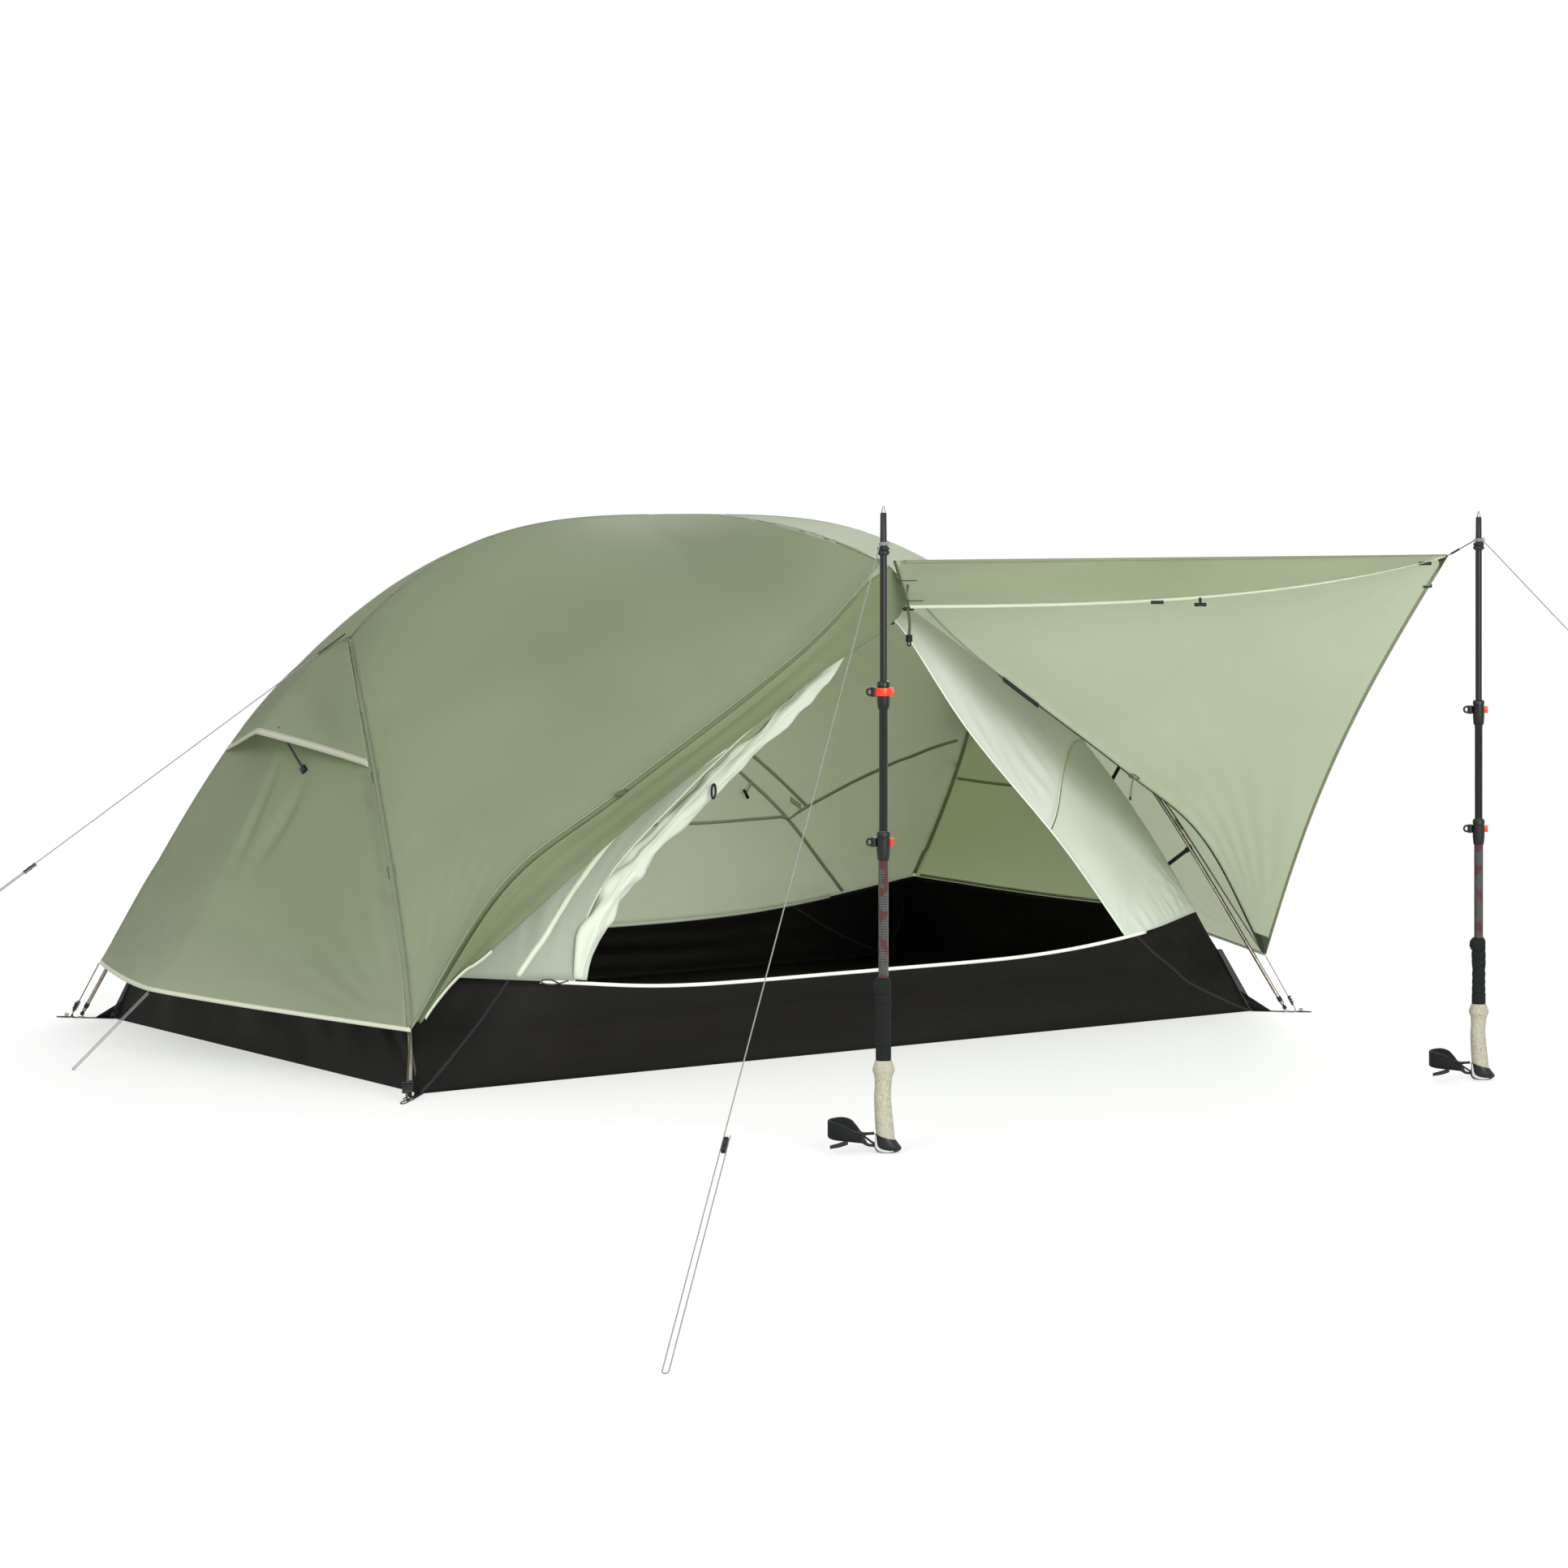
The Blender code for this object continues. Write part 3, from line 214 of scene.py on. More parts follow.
# A grey copy of the black floor nylon: painted highlight on the tub's corner edges.
tub_painted_highlight = cloth_finish("coated floor nylon, painted highlight", "#3A3938", "#474645", "#000000", 0.0, 0.5,
                        gloss=0.2)
# The vent mesh is real; its dark green is painted shade under the hood.
vent_net_shaded = cloth_finish("dark vent mesh", "#3C4A30", "#4A583B", "#5A6A48", 0.15, 0.7, 0.15, NET)
# The inner ends are painted darker and greener than the walls: painted shade, and painted green light from
# the fly's end behind them.
inner_end_poly_shaded = cloth_finish("breathable polyester, end", "#C6CFB4", "#D2DAC0", "#F2F7E4", 0.62, 0.6)
print("cloth finishes ready")

# %% [markdown]
# ## Tapes, cords and hard finishes
# Tapes are folded over raw edges and sewn down with two rows of stitches. Their UV map runs in metres
# along the tape and from 0 to 1 across, so the stitches can follow any curve. Zips are tapes with a coil.

# %% Tape and cord finishes
STITCH = 0.004


def tape_finish(name, colour, thread, rough=0.75, teeth=False):
    """A woven tape with two rows of stitches, or with a zip's coil down its middle."""
    finish, tree, shader, _ = new_finish(name)
    uv = add_node(tree, "UVMap").outputs["UV"]
    split = add_node(tree, "SeparateXYZ", {"Vector": uv})
    dash = maths(tree, "MULTIPLY", split.outputs["X"], 2 * math.pi / STITCH)
    dash = maths(tree, "SINE", dash)
    middle = maths(tree, "ADD", split.outputs["Y"], -0.5)
    middle = maths(tree, "ABSOLUTE", middle)
    row, width = (0.0, 0.16) if teeth else (0.32, 0.05)
    near = maths(tree, "COMPARE", middle, row, width)
    both = maths(tree, "MULTIPLY", dash, near)
    tree.links.new(shade(tree, both, colour, thread, 0.2, 0.6), shader.inputs["Base Color"])
    weave = add_node(tree, "TexWave", {"Vector": uv, "Scale": 160.0}, bands_direction="DIAGONAL")
    relief(tree, shader, maths(tree, "MULTIPLY_ADD", both, 3.0, weave.outputs["Fac"]), 0.00008)
    shader.inputs["Roughness"].default_value = rough
    return finish


hem_tape = tape_finish("pale polyester binding", "#BFC2AD", "#A9AD97")
brim_tape = tape_finish("stiff brim webbing", "#A4A594", "#8B8D7C")
# The seams are real; their darker green than the fly is painted shade along the poles beneath them.
shaded_seam_tape = tape_finish("flysheet seam, twice stitched, painted shade", "#656F58", "#4C5741", 0.6)
olive_tape = tape_finish("olive seam binding", "#767B62", "#8E9278")
dark_tape = tape_finish("dark olive binding", "#3C4429", "#59623F")
black_web = tape_finish("black polypropylene webbing", "#121312", "#2A2B2A", 0.8)
white_zip = tape_finish("pale coil zip", "#DDE3D3", "#F2F5EC", 0.6, True)
inner_tape = tape_finish("olive inner binding", "#A3AC88", "#B7C09C", 0.7)
pale_tape = tape_finish("pale inner binding", "#D5DEC9", "#BFC9B2", 0.7)
fly_tape = tape_finish("storm flap hem", "#7F8C6C", "#98A582", 0.6)
door_seam_tape = tape_finish("door seam, twice stitched", "#78826A", "#55603F", 0.6)
strip_tape = tape_finish("pale strip binding", "#B3BCA5", "#98A18A", 0.6)
olive_zip = tape_finish("olive coil zip", "#59633F", "#7B8560", 0.6, True)
patch_cloth = tape_finish("heavy corner nylon", "#36452A", "#4A5939", 0.6)
# Dark patches on the flysheet: painted shadows of the inner tent's hooks seen through it.
hook_shadow_patch = tape_finish("painted shadow of a hook through the flysheet", "#55664D", "#434E3A", 0.7)
white_tape = tape_finish("white floor piping", "#E9EBE2", "#CFD2C6", 0.6)


def plain_finish(name, dark, light, rough, metal=0.0, scale=60.0, depth=0.00005, stretch=(1, 1, 1),
                 gloss=0.5):
    """A finish with fine grain: two shades mixed by noise, whose size is scale grains to a metre."""
    finish, tree, shader, _ = new_finish(name)
    spot = add_node(tree, "TexCoord").outputs["Object"]
    spot = add_node(tree, "Mapping", {"Vector": spot, "Scale": stretch}).outputs["Vector"]
    grain = add_node(tree, "TexNoise", {"Vector": spot, "Scale": scale, "Detail": 5.0}).outputs["Fac"]
    tree.links.new(shade(tree, grain, dark, light), shader.inputs["Base Color"])
    uneven = add_node(tree, "MapRange", {"Value": grain, "To Min": rough - 0.06, "To Max": rough + 0.08})
    tree.links.new(uneven.outputs["Result"], shader.inputs["Roughness"])
    shader.inputs["Metallic"].default_value = metal
    shader.inputs["Specular IOR Level"].default_value = gloss
    relief(tree, shader, grain, depth)
    return finish


alloy = plain_finish("anodised aluminium tube", "#857C70", "#A1988C", 0.28, 1.0, 240.0, 0.00001, (1, 1, 0.05))
steel = plain_finish("turned steel tip", "#86837C", "#A09D95", 0.38, 1.0, 300.0, 0.00001)
abs_black = plain_finish("moulded acetal, black", "#0B0C0B", "#151615", 0.42, 0.0, 900.0, 0.00002, gloss=0.3)
lacquer = plain_finish("black lacquered aluminium", "#0B0D0D", "#151817", 0.30, 0.0, 500.0, 0.000004,
                       gloss=0.3)
red_alloy = plain_finish("red anodised lever", "#D52A10", "#EE3A18", 0.32, 0.25, 300.0, 0.000006)
foam = plain_finish("closed-cell foam", "#0E110F", "#181C19", 0.85, 0.0, 1400.0, 0.00012, gloss=0.2)
braid = plain_finish("braided grey cord", "#5F625F", "#8B8E8A", 0.7, 0.0, 900.0, 0.0002)
dark_cord = plain_finish("thin black cord", "#1A1C19", "#34372F", 0.7, 0.0, 900.0, 0.0002)
olive_cord = plain_finish("olive tie cord", "#3B4229", "#5A6140", 0.7, 0.0, 900.0, 0.0002)
trim_grey = plain_finish("grey strap piping", "#6E7371", "#8A8F8C", 0.7, 0.0, 900.0, 0.00005)
inlay_grey = plain_finish("grey rubber inlay", "#9EA2A2", "#B6BAB9", 0.5, 0.0, 600.0, 0.00002)
print("tapes, cords and hard finishes ready")

# %% [markdown]
# ## Cork and the printed tube
# Cork is pressed from bark granules: pale, matt, with dark pores. The lower pole tubes are printed with a
# band of small hexagon dots, red among grey, drawn here as cells wrapped round the tube.

# %% Cork and print
HEXAGON = 0.0029
HEXAGON_REACH = 0.20
cork, tree, shader, _ = new_finish("pressed cork")
spot = add_node(tree, "TexCoord").outputs["Object"]
grains = add_node(tree, "TexVoronoi", {"Vector": spot, "Scale": 330.0})
pores = add_node(tree, "TexNoise", {"Vector": spot, "Scale": 210.0, "Detail": 3.0})
bark = shade(tree, grains.outputs["Color"], "#918E7E", "#A09D8C", 0.2, 0.8)
speck = add_node(tree, "MapRange", {"Value": pores.outputs["Fac"], "From Min": 0.60, "From Max": 0.68})
speck = speck.outputs["Result"]
dots = add_node(tree, "Mix", {"Factor": speck, "A": bark, "B": linear("#85795F")}, data_type="RGBA")
tree.links.new(dots.outputs["Result"], shader.inputs["Base Color"])
shader.inputs["Roughness"].default_value = 0.8
relief(tree, shader, speck, -0.00006)

printed, tree, shader, _ = new_finish("printed aluminium tube")
uv = add_node(tree, "UVMap").outputs["UV"]
cells = add_node(tree, "TexVoronoi", {"Vector": uv, "Scale": 1 / HEXAGON, "Randomness": 0.0})
pick = add_node(tree, "TexNoise", {"Vector": cells.outputs["Position"], "Scale": 45.0, "Detail": 1.0})
hue = shade(tree, pick.outputs["Fac"], "#8E9391", "#A82818", 0.52, 0.55)
inside = maths(tree, "LESS_THAN", cells.outputs["Distance"], HEXAGON_REACH)
print_colour = add_node(tree, "Mix", {"Factor": inside, "A": linear("#0C0E0E"), "B": hue}, data_type="RGBA")
tree.links.new(print_colour.outputs["Result"], shader.inputs["Base Color"])
shader.inputs["Roughness"].default_value = 0.3
print("cork and print ready")

# %% [markdown]
# ## The lines a tent is cut from
# A tent is drawn as lines first: its ridge, the runs of its poles, its door seams and its hems. Each line
# here is a function of a share from 0 to 1 in the quarter at +X and +Y, mirrored for the other quarters.
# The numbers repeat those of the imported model, so that the cloth lands where its solid stands.

# %% Sizes in metres
GAP = 0.0003
CLOTH = 0.0006
FLOOR_LENGTH = 2.12
FLOOR_WIDTH = 1.34
TUB_SIDE_HEIGHT = 0.160
TUB_BACK_HEIGHT = 0.125
TUB_RISE_HEIGHT = 0.190
TUB_CORNER_HEIGHT = 0.210
TUB_END_HEIGHT = 0.200
TUB_RISE_INSET = 0.315
TUB_RISE_SHARE = 2 / 3
TUB_CORNER_INSET_X = 0.035
TUB_CORNER_INSET_Y = 0.145
TUB_SIDE_LEAN = 0.018
POLE_RADIUS = 0.00425
POLE_TIP_REACH = 0.055
POLE_TIP_HEIGHT = 0.0040
HUB_SETBACK = 0.231
HUB_HEIGHT = 0.829
LEG_BENDS = ((0.4615, 0.302, 0.965), (0.640, 0.804, 0.3426))
PEAK_HEIGHT = 1.105
RIDGE_POWER = 3.35
BROW_REACH = 0.060
BROW_HEIGHT = 1.010
BROW_POWER = 2.2
FLY_CORNER_X = 0.030
FLY_CORNER_Y = 0.015
FLY_CORNER_HEIGHT = 0.122
FLY_CORNER_SHARE = 0.925
ROOF_SAG = 0.025
END_HEM_REACH = 0.242
END_HEM_HEIGHT = 0.146
END_DIP = 0.045
VESTIBULE_DEPTH = 0.610
VESTIBULE_HEM_HEIGHT = 0.022
HUB_COVER = 0.024
POLE_COVER = 0.0090
BROW_COVER = 0.0076
RIDGE_COVER = 0.0235
AWNING_X = 0.806
AWNING_Y = -1.538
AWNING_HEIGHT = 1.024
AWNING_SCOOP = 0.040
HOOD_SHARE = 0.45
HOOD_REACH = 0.212
HOOD_HEIGHT = 0.654
HOOD_LIFT = 0.004
INNER_PEAK_DROP = 0.055
INNER_HUB_INSET = 0.014
INNER_HUB_DROP = 0.029
INNER_LEG_BEND_SETBACK = 0.060
INNER_LEG_BEND_Y = 0.208
INNER_LEG_BEND_DROP = 0.217
INNER_BROW_SETBACK = 0.025
INNER_BROW_DROP = 0.085
NEAR_FOOT = (-0.739, -1.718)
FAR_FOOT = (0.728, -1.698)
NEAR_STAKE = (-2.000, -2.940)
FAR_STAKE = (1.400, -2.430)
HALF_L = FLOOR_LENGTH / 2
HALF_W = FLOOR_WIDTH / 2
HUB_X = HALF_L - HUB_SETBACK
FLY_HUB_X = HUB_X + HUB_COVER * math.sqrt(0.5)
FLY_HUB_Z = HUB_HEIGHT + HUB_COVER * math.sqrt(0.5)
FLY_X = HALF_L + FLY_CORNER_X
FLY_Y = HALF_W + FLY_CORNER_Y
BROW_Y = HALF_W + BROW_REACH
TIP_X = HALF_L + POLE_TIP_REACH
TIP_Y = HALF_W + POLE_TIP_REACH
INNER_PEAK = PEAK_HEIGHT - INNER_PEAK_DROP
INNER_HUB_X = HUB_X - INNER_HUB_INSET
INNER_HUB_HEIGHT = HUB_HEIGHT - INNER_HUB_DROP
INNER_BROW_HEIGHT = BROW_HEIGHT - INNER_BROW_DROP
TUB_CORNER_X = HALF_L - TUB_CORNER_INSET_X
TUB_CORNER_Y = HALF_W - TUB_CORNER_INSET_Y
SIDE_Y = HALF_W - TUB_SIDE_LEAN
INNER_LIFT = GAP + CLOTH / 2
ZED = Vector((0, 0, 1))
END_STEPS = 6
SIDES = (("left", True), ("right", False))
DEPTHS = (("near", True), ("far", False))
print("floor", FLOOR_LENGTH, "by", FLOOR_WIDTH, "peak", PEAK_HEIGHT)

# %% [markdown]
# ## Kinds of curve
# A curve is a function from a share of its run to a point. These build one from control points, join two,
# cut a piece out, turn one round, and span a surface between four: the Coons patch that most panels are.

# %% Kinds of curve
def mirrored(point, left, near):
    """The point of the quarter at +X, +Y, taken to another quarter."""
    return Vector((-point.x if left else point.x, -point.y if near else point.y, point.z))


def bend(start, middle, end):
    """A quadratic curve."""
    return lambda t: (1 - t) ** 2 * start + 2 * t * (1 - t) * middle + t * t * end


def cubic(start, first, second, end):
    """A cubic curve."""
    return lambda t: (
        (1 - t) ** 3 * start + 3 * t * (1 - t) ** 2 * first + 3 * t * t * (1 - t) * second + t**3 * end
    )


def line(start, end):
    """The straight run between two points."""
    return lambda t: start.lerp(end, t)


def through(points):
    """A smooth curve through points, with its share measured along the chords."""
    marks = [0.0]
    for a, b in zip(points, points[1:]):
        marks.append(marks[-1] + (b - a).length)
    marks = [m / marks[-1] for m in marks]

    def at(t):
        k = max(i for i in range(len(points) - 1) if marks[i] <= max(t, 0.0))
        a, b = points[k], points[k + 1]
        before = points[k - 1] if k else a * 2 - b
        after = points[k + 2] if k + 2 < len(points) else b * 2 - a
        s = (t - marks[k]) / (marks[k + 1] - marks[k])
        return 0.5 * (
            2 * a
            + (b - before) * s
            + (2 * before - 5 * a + 4 * b - after) * s * s
            + (3 * a - before - 3 * b + after) * s**3
        )

    return at


def joined(first, second, share):
    """One curve after the other, the first up to a share of the whole."""
    return lambda t: first(t / share) if t < share else second((t - share) / (1 - share))


def turned_round(curve):
    """A curve from its other end."""
    return lambda t: curve(1 - t)


def line_between(curve, start, end):
    """A piece of a curve, between two shares of it."""
    return lambda t: curve(start + (end - start) * t)


def quarter(curve, left, near):
    """A curve taken to another quarter."""
    return lambda t: mirrored(curve(t), left, near)


def patch(top, bottom, left, right):
    """A Coons patch: the surface that its four edge curves span, as a function of two shares."""

    def at(u, v):
        ruled = (1 - v) * top(u) + v * bottom(u) + (1 - u) * left(v) + u * right(v)
        flat = (1 - v) * ((1 - u) * top(0) + u * top(1)) + v * ((1 - u) * bottom(0) + u * bottom(1))
        return ruled - flat

    return at


print("halfway along a line:", tuple(line(Vector((0, 0, 0)), ZED)(0.5)))

# %% [markdown]
# ## The tent's curves
# Each seam and pole of the quarter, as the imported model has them. Fly, poles and inner tent follow ridges
# and brows of one kind, a few centimetres apart, so two functions serve for all of them.

# %% The tent's curves
def leg_pole():
    """A leg pole's middle line, from hub to tip."""
    bends = [
        Vector((HUB_X + (TIP_X - HUB_X) * x, TIP_Y * y, HUB_HEIGHT * z)) for x, y, z in LEG_BENDS
    ]
    return cubic(Vector((HUB_X, 0, HUB_HEIGHT)), *bends, Vector((TIP_X, TIP_Y, POLE_TIP_HEIGHT)))


def fly_leg():
    """The fly's seam over a leg pole, from hub to fly corner."""
    pole = leg_pole()
    inside = Vector((HUB_X / 2, 0, HUB_HEIGHT * 0.3))
    corner = Vector((FLY_X, FLY_Y, FLY_CORNER_HEIGHT))
    hub = Vector((FLY_HUB_X, 0, FLY_HUB_Z))

    def over(t):
        along = (pole(min(t + 0.01, 1)) - pole(t - 0.01)).normalized()
        away = pole(t) - inside
        away -= along * away.dot(along)
        return pole(t) + away.normalized() * POLE_COVER

    def at(t):
        return (
            over(FLY_CORNER_SHARE * t)
            + (hub - over(0)) * (1 - t) ** 6
            + (corner - over(FLY_CORNER_SHARE)) * t**4
        )

    return at


def ridge_curve(hub_x, hub_z, peak):
    """Half a ridge, from above a hub to the peak."""
    drop = peak - hub_z

    def at(t):
        share = 1 - t
        return Vector((hub_x * share, 0, peak - drop * share**RIDGE_POWER))

    return at


def brow_curve(reach, low, peak):
    """Half a brow, from the peak to its tip."""
    return lambda t: Vector((0, reach * t, peak - (peak - low) * t**BROW_POWER))


def fly_ridge():
    """Half the fly's ridge, from hub to peak."""
    return ridge_curve(FLY_HUB_X, FLY_HUB_Z, PEAK_HEIGHT)


def fly_brow():
    """The fly over half the brow pole."""
    return brow_curve(BROW_Y, BROW_HEIGHT, PEAK_HEIGHT)


def ridge_pole_line(left):
    """The ridge pole's middle line, from a hub to the middle."""
    return ridge_curve(-HUB_X if left else HUB_X, HUB_HEIGHT, PEAK_HEIGHT - RIDGE_COVER)


def inner_ridge():
    """Half the inner tent's ridge."""
    return ridge_curve(INNER_HUB_X, INNER_HUB_HEIGHT, INNER_PEAK)


def inner_brow():
    """Half the inner tent's brow."""
    return brow_curve(HALF_W - INNER_BROW_SETBACK, INNER_BROW_HEIGHT, INNER_PEAK)


def door_seam():
    """The seam that a door half hangs from, from brow tip to fly corner."""
    rise = BROW_HEIGHT - FLY_CORNER_HEIGHT
    shares = [(0, 1, 0), (0.197, 0.792, 0), (0.588, 0.493, 0.22), (0.820, 0.305, 0.67), (1, 0, 1)]
    return through(
        [
            Vector((FLY_X * x, BROW_Y + (FLY_Y - BROW_Y) * y, FLY_CORNER_HEIGHT + rise * z))
            for x, z, y in shares
        ]
    )


def inner_leg():
    """The inner tent's seam under a leg pole, from its hub point to the tub's corner."""
    return bend(
        Vector((INNER_HUB_X, 0, INNER_HUB_HEIGHT)),
        Vector((HALF_L - INNER_LEG_BEND_SETBACK, INNER_LEG_BEND_Y, HUB_HEIGHT - INNER_LEG_BEND_DROP)),
        Vector((TUB_CORNER_X, TUB_CORNER_Y, TUB_CORNER_HEIGHT + INNER_LIFT)),
    )


def tub_edge(near):
    """Half a tub side's top edge, from the middle to the corner at +X."""
    middle = TUB_SIDE_HEIGHT if near else TUB_BACK_HEIGHT
    rise = TUB_RISE_HEIGHT if near else TUB_BACK_HEIGHT + 0.02
    rise_x = HALF_L - TUB_RISE_INSET
    return through(
        [
            Vector((0, SIDE_Y, middle)),
            Vector((rise_x * 0.6, SIDE_Y, middle + 0.1 * (rise - middle))),
            Vector((rise_x, SIDE_Y, rise)),
            Vector((TUB_CORNER_X, TUB_CORNER_Y, TUB_CORNER_HEIGHT)),
        ]
    )


def door_side(left):
    """One side of the inner doorway, from the brow down to the tub wall."""
    top = Vector((0, HALF_W - INNER_BROW_SETBACK, INNER_BROW_HEIGHT))
    foot = tub_edge(True)(TUB_RISE_SHARE) + ZED * INNER_LIFT
    shares = [(0.0, 0.0), (0.161, 0.177), (0.59, 0.488), (0.863, 0.706), (0.977, 0.873), (1.0, 1.0)]
    if not left:
        shares = [(0.0, 0.0), (0.13, 0.06), (0.396, 0.377), (0.752, 0.721), (1.0, 1.0)]
    way = foot - top
    return through([top + Vector((way.x * x, way.y * z, way.z * z)) for x, z in shares])


def tub_end(along):
    """The top edge of the tub's end at +X, at a share from -1 to 1 of its width."""
    rise = TUB_END_HEIGHT + (TUB_CORNER_HEIGHT - TUB_END_HEIGHT) * along * along
    bulge = TUB_CORNER_INSET_X * 0.4 * min(1, END_STEPS / 2 * (1 - abs(along)))
    return Vector((TUB_CORNER_X + bulge, TUB_CORNER_Y * along, rise))


def raised(curve):
    """A curve lifted clear of the tub's edge."""
    return lambda t: curve(t) + ZED * INNER_LIFT


def fold_edge(share):
    """The lower edge of the rolled fly door, as shares of the door seam's reach and height."""
    marks = ((0, -0.057, 0.916), (0.035, -0.030, 0.874), (0.075, 0.012, 0.837), (0.170, 0.144, 0.754),
             (0.370, 0.357, 0.585), (0.555, 0.537, 0.444), (0.690, 0.671, 0.323), (0.900, 0.876, 0.134))
    for (a, x0, z0), (b, x1, z1) in zip(marks, marks[1:]):
        if share <= b:
            part = (share - a) / (b - a)
            return x0 + (x1 - x0) * part, z0 + (z1 - z0) * part
    return marks[-1][1:]


print("leg pole tip at", tuple(round(x, 3) for x in leg_pole()(1)))

# %% [markdown]
# ## Placing a piece
# Each finished piece rides on a body of the imported model, so it moves with it, and names the solids that
# it stands for. The raised door half is the exception: it hangs from a curved seam but swings about a
# straight line, and its cloth is fixed where it stands, on no body.

# %% Placing
BROW = Vector((0, -BROW_Y, BROW_HEIGHT))


def place(name, data, finish, body, slot, *nodes):
    """Put a finished mesh or curve in the scene: its material, its body, what it stands for. slot is not
    used.
    """
    piece = bpy.data.objects.new(name, data)
    data.materials.append(finish)
    bpy.context.scene.collection.objects.link(piece)
    if body == "awning cloth":
        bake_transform(piece)
    else:
        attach(piece, body)
    if nodes:
        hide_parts(*nodes)
    return piece


def finished(name, bm, sharp=0):
    """The mesh of a bmesh, shaded smooth, but for edges sharper than an angle where one is given."""
    mesh = bpy.data.meshes.new(name)
    bm.to_mesh(mesh)
    bm.free()
    mesh.shade_smooth()
    if sharp:
        mesh.set_sharp_from_angle(angle=math.radians(sharp))
    return mesh


def thicken(piece, thickness):
    """Give cloth its thickness, half to each side."""
    solid = piece.modifiers.new("thickness", "SOLIDIFY")
    solid.thickness = thickness
    solid.offset = 0
    return piece


# %% [markdown]
# ## Sewing a panel
# A panel starts as a flat bmesh grid, as cloth starts flat on the cutting table. Its vertices are then laid
# on the surface that the seams span, its UV map keeps metres so that the ripstop stays square, and its
# wrinkles are raised along its own normals. Cloth simulation was considered: pitched cloth is stretched
# between poles and hardly drapes, so surfaces spanned by seams give its shape more exactly.

# %% Panels
woven = {}
WEAVE = 0.0004


def arc(curve, steps=16):
    """A curve's length, near enough."""
    points = [curve(i / steps) for i in range(steps + 1)]
    return sum((b - a).length for a, b in zip(points, points[1:]))


def grid_shares(bm, cells, us, vs):
    """Make a flat grid and give each vertex's shares across and down, between two bounds each."""
    bmesh.ops.create_grid(bm, x_segments=cells[0], y_segments=cells[1], size=0.5)
    return {
        vert: (us[0] + (us[1] - us[0]) * (vert.co.x + 0.5), vs[0] + (vs[1] - vs[0]) * (0.5 - vert.co.y))
        for vert in bm.verts
    }


def sewn(name, surface, cells, wrinkle, us, vs):
    """The mesh of one panel, with the width, length and area that it was cut to."""
    bm = bmesh.new()
    flat = bm.loops.layers.uv.new("UVMap")
    where = grid_shares(bm, cells, us, vs)
    widths = [arc(lambda t: surface(us[0] + (us[1] - us[0]) * t, vs[0] + (vs[1] - vs[0]) * k / 12))
              for k in range(13)]
    length = max(arc(lambda t: surface(us[0] + (us[1] - us[0]) * k / 6, vs[0] + (vs[1] - vs[0]) * t))
                 for k in range(7))

    def flat_place(u, v):
        down = (v - vs[0]) / (vs[1] - vs[0])
        k = min(int(down * 12), 11)
        wide = widths[k] + (widths[k + 1] - widths[k]) * (down * 12 - k)
        return ((u - us[0]) / (us[1] - us[0]) - 0.5) * wide, -down * length

    for vert, (u, v) in where.items():
        vert.co = surface(u, v)
    area = sum(face.calc_area() for face in bm.faces)
    bm.normal_update()
    if wrinkle:
        raises = {vert: vert.normal * wrinkle(u, v) for vert, (u, v) in where.items()}
        for vert, rise in raises.items():
            vert.co += rise
    for face in bm.faces:
        for loop in face.loops:
            loop[flat].uv = flat_place(*where[loop.vert])
    bm.normal_update()
    woven[name] = BVHTree.FromBMesh(bm)
    return finished(name, bm), max(widths), length, area


def declare(piece, width, length, area, held, on):
    """Note the width, length and area that a sheet was cut to. held is not used; on is read but not kept."""
    list(on)
    min(area, width * length)
    sheets[piece.name] = (round(width, 3), round(length, 3), round(area, 3))


def panel(name, surface, cells, finish, nodes=(), wrinkle=None, us=(0, 1), vs=(0, 1), body="tent",
          slot="flysheet", held="stretched", on=()):
    """A sewn panel, placed, thickened and declared as the sheet it was cut as."""
    mesh, width, length, area = sewn(name, surface, cells, wrinkle, us, vs)
    piece = place(name, mesh, finish, body, slot, *nodes)
    declare(piece, width, length, area, held, on)
    thicken(piece, WEAVE)


sheets = {}
print("panels are", WEAVE * 1000, "mm thick")

# %% [markdown]
# ## Wrinkles
# Pitched cloth is smooth in the middle of a panel and puckers where it is pulled: folds fan out from
# corners, hubs and tie points, and short ripples run across a seam whose thread is tighter than its cloth.
# Each is a small wave whose height dies away from where it starts.

# %% Wrinkles
def soft(value):
    """Smooth step from 0 to 1."""
    value = min(1.0, max(0.0, value))
    return value * value * (3 - 2 * value)


def creased(fans=(), seams=(), billow=0.0, edge=0.05, lines=()):
    """Wrinkles for a panel: fans of folds from points, ripples from edges, a slow billow, single creases."""

    def at(u, v):
        total = billow * noise.noise(Vector((u * 2.3, v * 2.3, billow * 1000)))
        for au, av, reach, height, count, turn in fans:
            far = math.hypot(u - au, v - av) / reach
            angle = math.atan2(v - av, u - au)
            total += height * math.sin(count * angle + turn + far) * far * math.exp(1 - 2.2 * far)
        for along, height, count, depth in seams:
            off = {"left": u, "right": 1 - u, "top": v, "bottom": 1 - v}[along]
            run = v if along in ("left", "right") else u
            ripple = noise.noise(Vector((run * count, off * 3, height * 5000)))
            total += height * ripple * (off / depth) * math.exp(1 - off / depth)
        for (au, av), (bu, bv), height, width in lines:
            du, dv = bu - au, bv - av
            run = ((u - au) * du + (v - av) * dv) / (du * du + dv * dv)
            off = ((u - au) * dv - (v - av) * du) / math.hypot(du, dv) / width
            total += height * math.exp(-off * off) * soft(2 * run) * soft(2.5 * (1 - run))
        return total * soft(min(u, 1 - u, v, 1 - v) / edge)

    return at


print("a soft step of a half is", soft(0.5))

